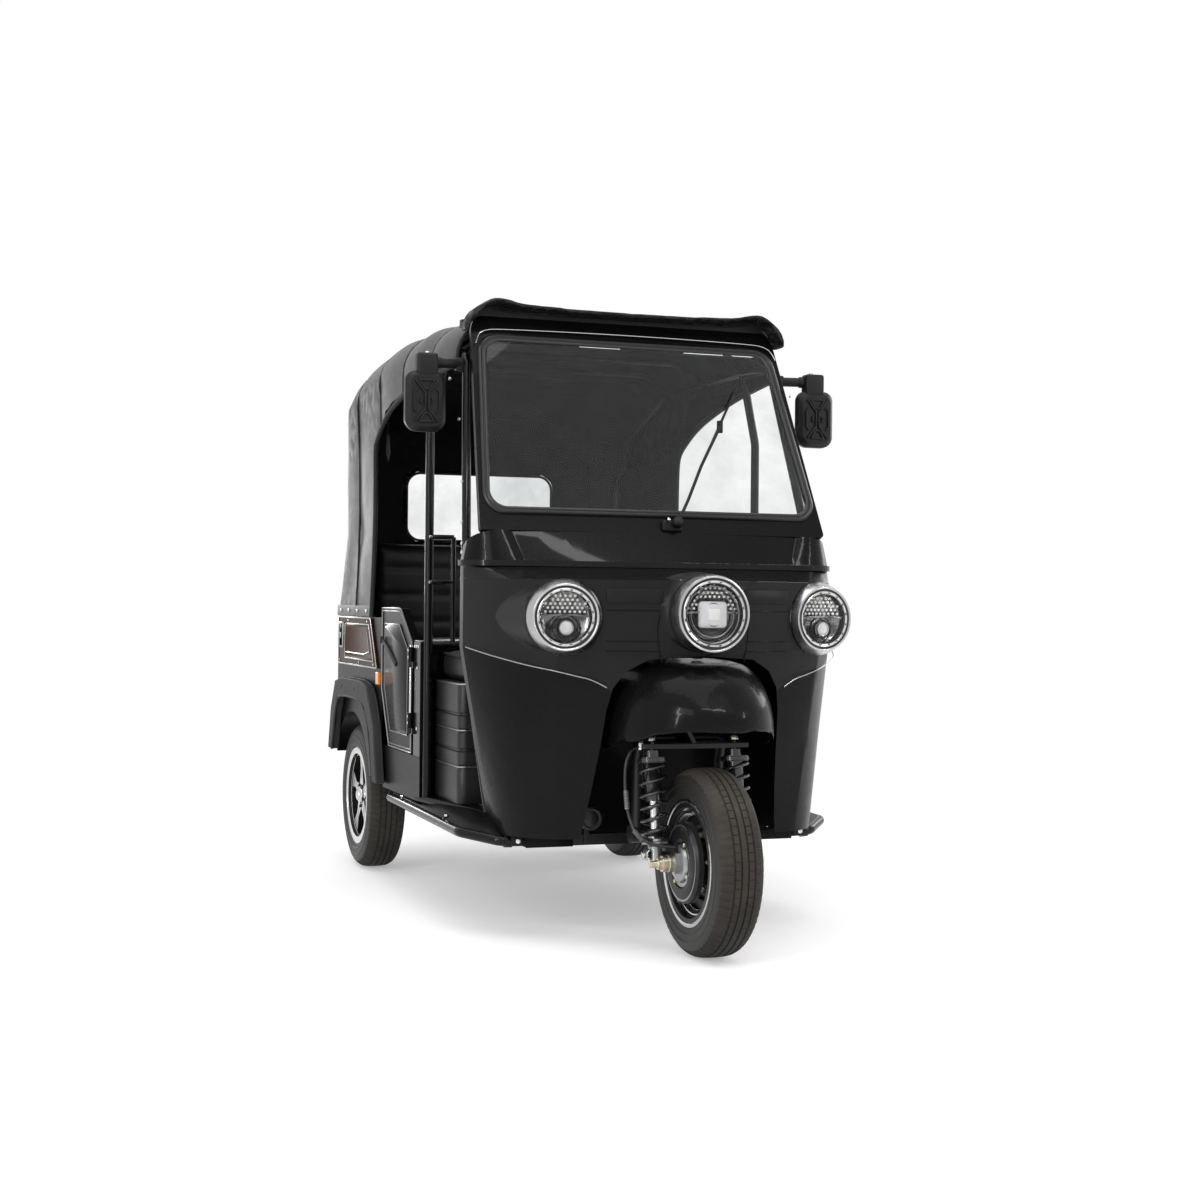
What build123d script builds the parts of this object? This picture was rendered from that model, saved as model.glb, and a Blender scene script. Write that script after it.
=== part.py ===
from build123d import *
import os
from math import cos, radians, sin, tan

os.makedirs("parts", exist_ok=True)

# Three-wheel passenger auto rickshaw. Millimetres, +Z up, nose towards -Y.
# Sizes below are measured from the front axle; everything leaves the script
# shifted along Y so that the origin lies under the middle of the length.

# ---- clearances ----
FIT = 0.3               # gap left between a piece and its seat
RUN = 0.5               # radial room of a wheel on its axle
CLEAR = 5.0             # room between pieces that pass each other

# ---- running gear ----
TYRE_D = 494.0          # 135/70 R12 tyre
TYRE_W = 128.0
RIM_LIP_R = 166.0       # outer edge of the rim flange
RIM_BED_R = 150.0       # bead seat, the tyre grips this
AXLE_R = 10.0
WHEELBASE = 1850.0
TRACK_HALF = 473.0
RAKE = 33.0             # steering axis leans back, degrees
AXIS_Z = 260.0          # the steering axis crosses Y = 0 at this height
STEM_R = 16.0
HEAD_LOW = 690.0        # lower and upper end of the head tube
HEAD_TOP = 905.0
CROWN_Z = 546.0         # middle of the fork crown plate
CROWN_T = 12.0
CROWN_HALF = 150.0
ARM_Y = 205.0           # leading arm pivot
ARM_Z = 300.0
SHOCK_X = 120.0
EYE_Y = 62.0            # lower eye of the strut
EYE_Z = 262.0
STUD_Y = 100.0          # the stud passes the crown here
STUD_R = 6.0
COIL_R = 34.0
COIL_WIRE = 4.6
COIL_TURNS = 6
BAR_Z = 940.0           # middle of the handlebar
BAR_R = 11.0
DRUM_R = 86.0           # rear brake drum
LEAF_X = 354.0
LEAF_W = 50.0
LEAF_T = 7.0
LEAF_HALF = 280.0       # half length of the longest leaf
LEAF_BEND = 1944.0      # radius of the leaves

# ---- body ----
SHEET = 4.0             # wall of moulded and pressed panels
FLOOR_Z = 340.0
BODY_W = 550.0          # half width of the rear body
BODY_FRONT = 1405.0
BODY_REAR = 2190.0
BODY_TOP = 868.0
BODY_CORNER = 100.0
HATCH_LOW = 445.0
HATCH_TOP = 800.0
HATCH_HALF = 330.0
ARCH_R = 290.0          # rear wheel arch
FASCIA_TOP = 985.0      # upper front edge of the lamp fascia
MOULD_Z = 1022.0        # seam between shelf and cowl
ROLL_H = 16.0
COWL_TOP = 1150.0
B_POST_Y = 885.0
POST_REAR = 978.0       # rear face of the door post
DOOR_FRONT = 1000.0
DOOR_GAP = 8.0
DOOR_T = 26.0
DOOR_LOW = 462.0
DOOR_TOP = 900.0
HINGE_X = 556.0
HINGE_R = 8.0
HINGE_H = 44.0
SCREEN_Y = 385.0        # lower edge of the screen plane
SCREEN_Z = 1150.0
SCREEN_RAKE = 25.0
FRAME_T = 24.0          # depth of the screen frame
SEAL_T = 9.0
ROOF_FRONT = 692.0      # seam between visor and canopy
TUBE_R = 13.0
RAIL_X = 300.0          # chassis rails
RAIL_HALF = 25.0
RAIL_LOW = 282.0
RAIL_TOP = 332.0
SEAT_TOP = 690.0
BUMPER_REAR = 2290.0
BUMPER_R = 13.0
BUMPER_Z = 320.0
EYE_HOLE_R = 10.0
PLATE_HOLE_X = 95.0
PLATE_HOLE_R = 3.5

# ---- lamps ----
LAMP_X = 372.0
LAMP_Y = 76.0
LAMP_Z = 886.0
LAMP_YAW = 9.0          # side lamps look slightly outwards
LENS_R = 78.0
BEZEL_R = 100.0
BEZEL_DEEP = 32.0
MID_BEZEL_DEEP = 46.0
MID_LAMP_Y = -31.0
MID_LAMP_Z = 898.0
MID_LENS_R = 90.0
MID_BEZEL_R = 105.0

WHEEL_Z = TYRE_D / 2
HUB_BORE_R = AXLE_R + RUN
Y_FRONT = -TYRE_D / 2
Y_MID = (Y_FRONT + BUMPER_REAR) / 2
LEAF_SEAT = WHEEL_Z + 31.0
DOOR_REAR = BODY_FRONT - DOOR_GAP
SIDES = (("left", 1), ("right", -1))


def out(shape, name):
    """Shift the solids of one finished piece to the shared frame and write them."""
    moved = [Pos(0, -Y_MID, 0) * solid for solid in shape.solids()]
    export_step(moved[0] if len(moved) == 1 else Compound(children=moved), "parts/" + name + ".step")


def group(shape):
    """One compound of the separate solids of a shape."""
    return Compound(children=list(shape.solids()))


def fuse(items):
    """Join a list of solids into one shape."""
    items = list(items)
    body = items[0]
    for item in items[1:]:
        body = body + item
    return body


def prism_yz(points, x0, x1):
    """Outline given as (y, z), pulled along X between two places."""
    low, high = min(x0, x1), max(x0, x1)
    face = make_face(Polyline(*[(low, y, z) for y, z in points], close=True))
    return extrude(face, amount=high - low, dir=(1, 0, 0))


def prism_xz(points, y0, y1):
    """Outline given as (x, z), pulled along Y from y0 to y1."""
    face = make_face(Polyline(*[(x, y0, z) for x, z in points], close=True))
    return extrude(face, amount=y1 - y0, dir=(0, 1, 0))


def prism_xy(points, z0, z1):
    """Outline given as (x, y), pulled up from z0 to z1."""
    face = make_face(Polyline(*[(x, y, z0) for x, y in points], close=True))
    return extrude(face, amount=z1 - z0, dir=(0, 0, 1))


def block(x0, x1, y0, y1, z0, z1):
    """Box between limits, which may be given in either order along X."""
    low, high = min(x0, x1), max(x0, x1)
    return Pos((low + high) / 2, (y0 + y1) / 2, (z0 + z1) / 2) * Box(high - low, y1 - y0, z1 - z0)


def pad(half, y0, y1, z0, z1, r):
    """Cushion: its side view has rounded corners, its ends are flat."""
    section = Plane.YZ.offset(-half) * Pos((y0 + y1) / 2, (z0 + z1) / 2)
    return extrude(section * RectangleRounded(y1 - y0, z1 - z0, r), amount=2 * half)


def rod(a, b, r):
    """Round bar between two points."""
    a, b = Vector(*a), Vector(*b)
    plane = Plane(origin=a, z_dir=(b - a).normalized())
    return extrude(plane * Circle(r), amount=(b - a).length)


def pipe(points, r, bend):
    """Tube along a broken line: straight runs joined by round bends."""
    knots = [Vector(*p) for p in points]
    bits = []
    start = knots[0]
    for a, b, c in zip(knots, knots[1:], knots[2:]):
        u = (b - a).normalized()
        w = (c - b).normalized()
        turn = u.get_angle(w)
        reach = bend * tan(radians(turn / 2))
        tangent = b - u * reach
        axle = u.cross(w).normalized()
        middle = tangent + axle.cross(u) * bend
        bits.append(rod(start, tangent, r))
        section = Plane(origin=tangent, x_dir=axle, z_dir=u) * Circle(r)
        bits.append(revolve(section, axis=Axis(middle, axle), revolution_arc=turn))
        start = b + w * reach
    bits.append(rod(start, knots[-1], r))
    return fuse(bits)


def lathe_x(profile, x_mid, y, z):
    """Turn (radius, x) points about a cross-wise axis."""
    face = make_face(Polyline(*[(x, r, 0) for r, x in profile], close=True))
    return Pos(x_mid, y, z) * revolve(face, axis=Axis.X)


def both(points):
    """A left-right symmetric outline from its half on the +X side."""
    return [(x, z) for x, z in points] + [(-x, z) for x, z in reversed(points) if x > 0]


# ------------------------------------------------------------------ wheels
def tyre(x, y):
    """Low-section tyre whose beads sit on the rim."""
    half = TYRE_W / 2
    r = TYRE_D / 2
    lip = RIM_LIP_R + 0.5
    profile = [
        (RIM_BED_R, 14.5 - half), (lip, 9.5 - half), (lip + 0.5, 5 - half), (r - 42, -half),
        (r - 20, 3 - half), (r - 6, 16 - half), (r, 34 - half),
        (r, half - 34), (r - 6, half - 16), (r - 20, half - 3),
        (r - 42, half), (lip + 0.5, half - 5), (lip, half - 9.5), (RIM_BED_R, half - 14.5),
    ]
    return lathe_x(profile, x, y, WHEEL_Z)


def barrel(face, well_r, well_from, well_to):
    """Rim band with two flanges and a drop centre of radius well_r."""
    half = TYRE_W / 2
    profile = [
        (RIM_LIP_R, 6 - half), (RIM_LIP_R, 9 - half), (RIM_BED_R, 14 - half),
        (RIM_BED_R, half - 14), (RIM_LIP_R, half - 9), (RIM_LIP_R, half - 6),
        (RIM_BED_R - 6, half - 6), (RIM_BED_R - 8, half - 18), (well_r, well_to),
        (well_r, well_from), (RIM_BED_R - 8, 18 - half), (RIM_BED_R - 6, 6 - half),
    ]
    return [(r, face * s) for r, s in profile]


def steel_rim(x, y, face):
    """Pressed rim with a bolted hub; face +1 or -1 is the dished side."""
    half = TYRE_W / 2
    bed = RIM_BED_R
    disc = [
        (HUB_BORE_R, 2), (92, 2), (104, 12), (bed - 22, 14),
        (bed - 22, 19), (102, 17), (90, 8), (HUB_BORE_R, 8),
    ]
    hub = [(HUB_BORE_R, -34), (36, -34), (36, -10), (60, 2), (60, 26), (HUB_BORE_R, 26)]
    rings = [barrel(face, bed - 26, 34 - half, half - 34)]
    rings += [[(r, face * s) for r, s in p] for p in (disc, hub)]
    body = fuse([lathe_x(ring, x, y, WHEEL_Z) for ring in rings])
    nuts = [Rot(a, 0, 0) * Pos(face * 12, 74, 0) * Rot(0, 90, 0) * Cylinder(9, 14) for a in range(0, 360, 72)]
    return body + Pos(x, y, WHEEL_Z) * fuse(nuts)


def alloy_rim(x, y, face):
    """Five-spoke cast rim; face is the outer side."""
    half = TYRE_W / 2
    bed = RIM_BED_R
    hub = [(HUB_BORE_R, -36), (44, -36), (48, 10), (48, 36), (30, 42), (HUB_BORE_R, 42)]
    rings = [barrel(face, bed - 9, 8 - half, half - 18), [(r, face * s) for r, s in hub]]
    body = fuse([lathe_x(ring, x, y, WHEEL_Z) for ring in rings])
    foot = [(-24, 36), (-12, 92), (-30, bed - 4), (30, bed - 4), (12, 92), (24, 36)]
    spoke_face = make_face(Polyline(*[(face * 20, p, q) for p, q in foot], close=True))
    spoke = extrude(spoke_face, amount=22, dir=(face, 0, 0))
    spokes = [Rot(a, 0, 0) * spoke for a in range(0, 360, 72)]
    cap = lathe_x([(0, face * 42), (26, face * 42), (22, face * 50), (0, face * 52)], x, y, WHEEL_Z)
    return body + Pos(x, y, WHEEL_Z) * fuse(spokes) + cap


out(tyre(0, 0), "front_tyre")
out(steel_rim(0, 0, -1), "front_rim")
for tag, s in SIDES:
    out(tyre(s * TRACK_HALF, WHEELBASE), "rear_tyre_" + tag)
    out(alloy_rim(s * TRACK_HALF, WHEELBASE, s), "rear_rim_" + tag)


# ------------------------------------------------------- steering assembly
def on_axis(z):
    """Point of the steering axis at height z."""
    return Vector(0.0, (z - AXIS_Z) * tan(radians(RAKE)), z)


STEER_DIR = Vector(0, sin(radians(RAKE)), cos(radians(RAKE)))
crown_low, crown_top = CROWN_Z - CROWN_T / 2, CROWN_Z + CROWN_T / 2
stem_foot = on_axis(CROWN_Z)
bar_mid = on_axis(BAR_Z)


def yoke_side(s):
    """Bent fork arm from the crown to the leading arm pivot on one side."""
    x = s * (SHOCK_X - 2)
    arm = pipe([(s * 20, stem_foot.Y, 560), (x, stem_foot.Y, 560), (x, ARM_Y, 490), (x, ARM_Y, ARM_Z)], 17, 28)
    return arm + Pos(x, ARM_Y, ARM_Z) * Rot(0, 90, 0) * Cylinder(24, 44)


CROWN = ((60, 62), (CROWN_HALF, 74), (CROWN_HALF, 128), (70, stem_foot.Y + 44))
crown = prism_xy(both(CROWN), crown_low, crown_top)
gusset = prism_yz([(90, crown_top - 1), (180, crown_top - 1), (236, 640), (222, 640)], -6, 6)
stem = rod(stem_foot, bar_mid + STEER_DIR * 12, STEM_R)
for s in (1, -1):
    crown = crown - rod((s * SHOCK_X, STUD_Y, 500), (s * SHOCK_X, STUD_Y, 600), STUD_R + 2.5)
out(fuse([stem, crown, gusset, yoke_side(1), yoke_side(-1)]), "steering_fork")


def leading_arm(s):
    """Forged arm from its pivot forward to the axle end."""
    outline = [
        (ARM_Y + 20, ARM_Z), (ARM_Y, ARM_Z + 21), (60, WHEEL_Z + 32), (-14, WHEEL_Z + 27), (-27, WHEEL_Z),
        (-12, WHEEL_Z - 26), (60, WHEEL_Z - 20), (ARM_Y, ARM_Z - 21),
    ]
    return prism_yz(outline, s * (SHOCK_X - 24), s * (SHOCK_X - 38))


def cross_pin(x0, x1, y, z, r):
    """Pin along X between two places on either side of the middle."""
    return [rod((s * x0, y, z), (s * x1, y, z), r) for s in (1, -1)]


axle_bits = [rod((-CROWN_HALF, 0, WHEEL_Z), (CROWN_HALF, 0, WHEEL_Z), AXLE_R), leading_arm(1), leading_arm(-1)]
axle_bits += cross_pin(96, 128, 0, WHEEL_Z, 21)
axle_bits += cross_pin(128, 140, 0, WHEEL_Z, 15)
axle_bits += cross_pin(140, 162, 0, WHEEL_Z, 9)
axle_bits += cross_pin(82, 148, EYE_Y, EYE_Z, 8)
axle_bits += cross_pin(80, 96 - FIT, ARM_Y, ARM_Z, 8)
plate_line = [(22, -74), (100, -74), (106, -66), (106, -52), (99, -52), (99, -68), (22, -68)]
axle_bits.append(lathe_x(plate_line, 0, 0, WHEEL_Z))
axle_bits.append(prism_yz([(-8, 268), (20, 268), (14, 300), (-4, 300)], -86, -73))
axle_bits.append(Pos(-79, 0, WHEEL_Z) * Rot(0, 90, 0) * Cylinder(34, 10))
out(fuse(axle_bits), "front_axle")


def coil(radius, wire, turns, height):
    """Spring standing on Z, made of half turns tipped to climb half a pitch each."""
    rise = height / (2 * turns)
    bits = []
    for k in range(2 * turns):
        side = 1 if k % 2 == 0 else -1
        start = Plane(origin=(side * radius, 0, k * rise), x_dir=(1, 0, 0), z_dir=(0, side, 0))
        hub = Axis((0, 0, (k + 0.5) * rise), (side * rise / 2, 0, radius))
        bits.append(revolve(start * Circle(wire), axis=hub, revolution_arc=180))
    return fuse(bits)


# start and end as a share of the strut, radius
STRUT = (
    (-0.05, 0.06, 17), (0.06, 0.10, 20), (0.10, 0.125, 33), (0.125, 0.17, 22),
    (0.17, 0.24, 19), (0.24, 0.50, 12), (0.50, 0.86, 21), (0.86, 0.91, 37),
    (0.91, 0.945, 20),
)


def shock(s):
    """Coil-over strut: clevis, lower seat, bellows, rod, body, top seat and stud."""
    low = Vector(s * SHOCK_X, EYE_Y, EYE_Z)
    top = Vector(s * SHOCK_X, STUD_Y, crown_low - FIT)
    axis = top - low
    length = axis.length
    plane = Plane(origin=low, x_dir=(1, 0, 0), z_dir=axis.normalized())
    core = [extrude(plane.offset(a * length) * Circle(r), amount=(b - a) * length) for a, b, r in STRUT]
    core.append(extrude(plane.offset(0.94 * length) * Circle(STUD_R), amount=0.06 * length + 3 * CROWN_T))
    core.append(extrude(plane.offset(0.945 * length) * Circle(20), amount=0.03 * length))
    core = fuse(core) - rod((s * 70, EYE_Y, EYE_Z), (s * 170, EYE_Y, EYE_Z), 8.05)
    foot = 0.125 * length + COIL_WIRE + FIT
    height = 0.86 * length - FIT - COIL_WIRE - foot
    spring = plane.offset(foot).location * coil(COIL_R, COIL_WIRE, COIL_TURNS, height)
    return Compound(children=[core, spring])


for tag, s in SIDES:
    out(shock(s), "shock_" + tag)

CABLE = (
    (-CROWN_HALF - FIT, 100, CROWN_Z), (-178, 100, CROWN_Z - 8), (-196, 94, 500), (-200, 86, 440), (-198, 70, 375),
    (-186, 42, 322), (-150, 18, 294), (-86 - FIT, 6, 288),
)
CABLE_R = 4.5


def cable_pipe(points, r):
    """Tube whose bends are as wide as the runs beside them allow."""
    knots = [Vector(*p) for p in points]
    radii = []
    for a, b, c in zip(knots, knots[1:], knots[2:]):
        turn = radians((b - a).get_angle(c - b))
        radii.append(0.45 * min((b - a).length, (c - b).length) / tan(turn / 2))
    path = FilletPolyline(*points, radius=radii)
    return sweep(Plane(origin=path @ 0, z_dir=path % 0) * Circle(r), path=path)


out(cable_pipe(CABLE, CABLE_R), "brake_cable")

# x, y behind the middle, z above the middle
BAR = ((285, 92, 8), (185, 62, 14), (95, 0, 0))
bar_points = [(x, bar_mid.Y + y, bar_mid.Z + z) for x, y, z in BAR]
bar = pipe(bar_points + [(-x, y, z) for x, y, z in reversed(bar_points)], BAR_R, 36)
clamp_plane = Plane(origin=bar_mid - STEER_DIR * 18, x_dir=(1, 0, 0), z_dir=STEER_DIR)
clamp = extrude(clamp_plane * RectangleRounded(68, 56, 10), amount=36)
socket = rod(bar_mid - STEER_DIR * 40, bar_mid + STEER_DIR * 12, STEM_R + 0.05)
out((bar + clamp) - socket, "handlebar")
grips = []
for s in (1, -1):
    tip, knee = Vector(*bar_points[0]), Vector(*bar_points[1])
    tip, knee = Vector(s * tip.X, tip.Y, tip.Z), Vector(s * knee.X, knee.Y, knee.Z)
    along = (tip - knee).normalized()
    start = tip - along * 92
    grip = rod(start, tip + along * 4, 17) + rod(start, start + along * 6, 25)
    grips.append(grip - rod(start - along * 20, tip, BAR_R + 0.05))
out(Compound(children=grips), "grips")

# ----------------------------------------------------------- nose panels
# height, half width, end y, shoulder x, shoulder y, knuckle x, knuckle y, nose y
NOSE = (
    (292.0, 462.0, 420.0, 410.0, 250.0, 350.0, 205.0, 172.0),
    (560.0, 512.0, 420.0, 440.0, 247.0, 367.0, 165.0, 82.0),
    (800.0, 553.0, 420.0, 468.0, 245.0, 385.0, 128.0, 30.0),
)
COWL_LINE = (553.0, 423.0, 528.0, 376.0, 400.0, 345.0, 330.0)
COWL_HEAD = (530.0, 430.0, 516.0, 400.0, 440.0, 388.0, 382.0)
PANEL_BACK = 452.0


def raised(row, z):
    """The same plan line at another height."""
    return (z,) + tuple(row[-7:])


def between(z, low, high):
    """Row read off between two plan rows at height z."""
    k = (z - low[0]) / (high[0] - low[0])
    return tuple(a + (b - a) * k for a, b in zip(low, high))


def nose_face(row, inset, back):
    """Closed plan outline of the nose at one height."""
    z, w, ye, sx, sy, kx, ky, yn = row
    w, sx, kx = w - inset, sx - 0.75 * inset, kx - 0.4 * inset
    sy, ky, yn = sy + 0.66 * inset, ky + 0.92 * inset, yn + inset
    return make_face(Wire([
        Line((-w, back, z), (-w, ye, z)),
        ThreePointArc((-w, ye, z), (-sx, sy, z), (-kx, ky, z)),
        ThreePointArc((-kx, ky, z), (0, yn, z), (kx, ky, z)),
        ThreePointArc((kx, ky, z), (sx, sy, z), (w, ye, z)),
        Line((w, ye, z), (w, back, z)),
        Line((w, back, z), (-w, back, z)),
    ]))


def nose_block(rows, inset, back):
    """Solid through plan rows."""
    return loft([nose_face(row, inset, back) for row in rows], ruled=True)


def nose_core(rows, wall):
    """The room inside a nose shell, longer than it above, below and behind."""
    first = raised(rows[0], rows[0][0] - 2)
    last = raised(rows[-1], rows[-1][0] + 2)
    return nose_block([first] + list(rows[1:-1]) + [last], wall, PANEL_BACK + 40)


def nose_shell(rows, wall=SHEET):
    """Thin skin through the given plan rows, open behind, above and below."""
    return nose_block(rows, 0, PANEL_BACK) - nose_core(rows, wall)


# front edge of the wheel arch, x and z
ARCH = (
    (290, 260), (268, 420), (256, 540), (248, 640), (236, 700), (205, 745), (150, 776), (0, 786),
)
arch_cut = prism_xz(both(ARCH), -260, 380)

# lower edge of the lamp fascia, x and z
FASCIA_EDGE = ((600, 806), (553, 800), (497, 775), (380, 744), (290, 722), (225, 684), (0, 684))
edge_line = both(FASCIA_EDGE)
above_edge = prism_xz(edge_line + [(-600, 1100), (600, 1100)], -200, 520)
below_edge = prism_xz([(x, z - FIT) for x, z in edge_line] + [(-600, 200), (600, 200)], -200, 520)

lower_skin = (nose_shell(NOSE) & below_edge) - arch_cut
out(group(lower_skin), "front_panel")


def lamp_frame(x, y, z, yaw):
    """Plane through a lamp face, its normal pointing forward."""
    return Plane(origin=(x, y, z), x_dir=Vector(1, 0, 0).rotate(Axis.Z, yaw),
                 z_dir=Vector(0, -1, 0).rotate(Axis.Z, yaw))


# x, y, z, yaw, bezel radius and depth, lens radius, pod length, half width and shift of its root
LAMPS = (
    (-LAMP_X, LAMP_Y, LAMP_Z, -LAMP_YAW, BEZEL_R, BEZEL_DEEP, LENS_R, 240.0, 140.0, -34.0),
    (LAMP_X, LAMP_Y, LAMP_Z, LAMP_YAW, BEZEL_R, BEZEL_DEEP, LENS_R, 240.0, 140.0, 34.0),
    (0.0, MID_LAMP_Y, MID_LAMP_Z, 0.0, MID_BEZEL_R, MID_BEZEL_DEEP, MID_LENS_R, 118.0, 168.0, 0.0),
)


def pod(lamp, inset):
    """Housing that flares from the bezel back into the fascia."""
    x, y, z, yaw, r_bezel, depth, r_lens, deep, half, shift = lamp
    plane = lamp_frame(x, y, z, yaw)
    root = plane.offset(-deep) * Pos(shift, 0, 0)
    flare = loft([root * Ellipse(half - inset, r_bezel + 6 - inset),
                  plane.offset(-depth) * Circle(r_bezel - 3 - inset)])
    if inset:
        flare = flare + extrude(plane.offset(-depth - 15) * Circle(r_bezel - 3 - inset), amount=40)
    return flare


def lamp_seat(lamp, grow, amount):
    """Disc behind a bezel's rear face, or for a positive amount the room in front of it."""
    x, y, z, yaw, r_bezel, depth = lamp[:6]
    return extrude(lamp_frame(x, y, z, yaw).offset(-depth) * Circle(r_bezel + grow), amount=amount)


fascia_rows = [between(680.0, NOSE[1], NOSE[2]), NOSE[2], raised(NOSE[2], FASCIA_TOP)]
fascia = nose_block(fascia_rows, 0, PANEL_BACK) & above_edge
fascia = fuse([fascia] + [pod(lamp, 0) for lamp in LAMPS] + [lamp_seat(lamp, 0.5, -5) for lamp in LAMPS])
fascia = fascia - block(-600, 600, PANEL_BACK, 900, 600, 1200)
fascia = fascia - nose_core(fascia_rows, SHEET)
for lamp in LAMPS:
    fascia = fascia - pod(lamp, SHEET) - lamp_seat(lamp, 1.0, 90)
fascia = fascia - arch_cut
out(group(fascia), "headlight_fascia")

# black shelf from the fascia back to the cowl, with the rolled moulding on the seam
shelf_rows = [raised(NOSE[2], FASCIA_TOP + FIT), (MOULD_Z,) + COWL_LINE]
shelf = nose_block(shelf_rows, 0, PANEL_BACK)
lowered = [raised(row, row[0] - SHEET) for row in shelf_rows]
shelf = shelf - nose_block(lowered + [(MOULD_Z + 5,) + COWL_LINE], SHEET, PANEL_BACK + 40)
roll_rows = [(MOULD_Z,) + COWL_LINE, (MOULD_Z + ROLL_H,) + COWL_LINE]
roll = nose_block(roll_rows, -7, PANEL_BACK) - nose_core(roll_rows, SHEET)
shelf = shelf + roll
for lamp in LAMPS:
    shelf = shelf - pod(lamp, -FIT)
out(group(shelf), "cowl_moulding")

SCREEN = Plane(origin=(0, SCREEN_Y, SCREEN_Z), x_dir=(1, 0, 0),
               z_dir=Vector(0, -1, 0).rotate(Axis.X, -SCREEN_RAKE))
FRAME_LOW = -33.0       # lower and upper edge of the screen frame in its own plane
FRAME_HIGH = 670.0
cowl_rows = [(MOULD_Z + ROLL_H + FIT,) + COWL_LINE, (COWL_TOP,) + COWL_HEAD]
cowl = nose_shell(cowl_rows)
over = extrude(SCREEN.offset(-300) * Pos(0, FRAME_LOW - FIT + 400) * Rectangle(1400, 800), amount=600)
cowl = cowl - over
out(group(cowl), "cowl")

# front wheel well behind the arch
WELL_HALF = 300.0
WELL_TOP = 812.0
WELL_FRONT = 150.0
WELL_REAR = 446.0


def well_block(t, y0, y1):
    """Room of the wheel well, smaller by t all round."""
    return prism_xz(both([(WELL_HALF - t, 300 - t / 9), (WELL_HALF - t, 760), (250, WELL_TOP - t)]), y0, y1)


# gusset that carries the head tube, y and z
NECK = ((470, 300), (530, 300), (530, 760), (430, 905), (355, 800), (470, 680))
neck_room = prism_yz(NECK, -33, 33)
head_y = on_axis(WELL_TOP - 10).Y
well = well_block(0, WELL_FRONT, WELL_REAR) - well_block(3, WELL_FRONT - 50, WELL_REAR - 3)
well = well - block(-60, 60, head_y - 75, head_y + 70, WELL_TOP - 30, WELL_TOP + 30)
well = (well - neck_room) & nose_block(NOSE, SHEET + FIT, PANEL_BACK)
out(well, "wheel_well")

# fender over the front wheel: height, half width, half length, centre y
FENDER = (
    (500.0, 226.0, 322.0, 190.0), (600.0, 232.0, 330.0, 190.0), (690.0, 222.0, 308.0, 196.0),
    (742.0, 190.0, 262.0, 204.0), (768.0, 140.0, 190.0, 212.0), (776.0, 90.0, 130.0, 220.0),
)


def fender_dome(inset):
    """Dome through the fender's ovals, its crown lowered by the wall."""
    faces = []
    for z, a, b, yc in FENDER:
        drop = inset * min(1.0, max(0.0, (z - 520) / 200))
        faces.append(Plane(origin=(0, yc, z - drop)) * Ellipse(a - inset, b - inset))
    return loft(faces)


# lower edge of the fender, y and z
FENDER_EDGE = ((-200, 400), (-200, 588), (-60, 596), (60, 600), (120, 588), (200, 568), (200, 400))
fender = fender_dome(0) - fender_dome(SHEET)
fender = (fender - block(-300, 300, 190, 600, 400, 900)) - prism_yz(FENDER_EDGE, -300, 300)
spacer = block(-26, 26, 68, 90, FENDER[-1][0] + FIT, MID_LAMP_Z - MID_BEZEL_R - 6 - FIT)
out(Compound(children=[fender, spacer]), "front_fender")

# ---------------------------------------------------------- windscreen


def screen_face(grow, r, low=24.0, high=590.0, wide_low=500.0, wide_high=452.0, r_low=0.0):
    """Rounded four-sided outline in the screen plane."""
    points = [(-wide_low - grow, low - grow), (wide_low + grow, low - grow),
              (wide_high + grow, high + grow), (-wide_high - grow, high + grow)]
    face = make_face(Polyline(*points, close=True))
    corners = face.vertices().sort_by(Axis.Y)
    face = fillet(corners[2:], r)
    return fillet(face.vertices().sort_by(Axis.Y)[:2], r_low or r)


FRAME_EDGE = 20.0
outer = screen_face(FRAME_EDGE, 64, low=FRAME_LOW + FRAME_EDGE, high=FRAME_HIGH - FRAME_EDGE, r_low=12)
frame = extrude(SCREEN.offset(-FRAME_T) * outer, amount=FRAME_T)
frame = frame - extrude(SCREEN.offset(-60) * screen_face(-8, 52), amount=120)
out(frame, "windscreen_frame")
seal = extrude(SCREEN.offset(FIT) * screen_face(8, 62), amount=SEAL_T)
seal = seal + extrude(SCREEN.offset(-5) * screen_face(-8 - FIT, 52 - FIT), amount=8)
seal = seal - extrude(SCREEN.offset(-6) * screen_face(-16, 46), amount=30)
out(seal, "windscreen_seal")
out(extrude(SCREEN.offset(-3) * screen_face(-16 - FIT, 46 - FIT), amount=5), "windscreen_glass")


def on_screen(x, y, lift):
    """Point above the screen plane, in the screen's own coordinates."""
    return (SCREEN.offset(lift) * Pos(x, y, 0)).position


WIPER_X = 54.0
boss = rod(on_screen(WIPER_X, -9, FIT), on_screen(WIPER_X, -9, 34), 14)
arm = rod(on_screen(WIPER_X, -9, 27), on_screen(WIPER_X + 98, 170, 30), 5)
link = rod(on_screen(WIPER_X + 98, 170, 30), on_screen(WIPER_X + 186, 312, 19), 3.5)
blade = rod(on_screen(WIPER_X + 102, 170, 17), on_screen(WIPER_X + 266, 452, 17), 5)
out(fuse([boss, arm, link, blade]), "wiper")

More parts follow.
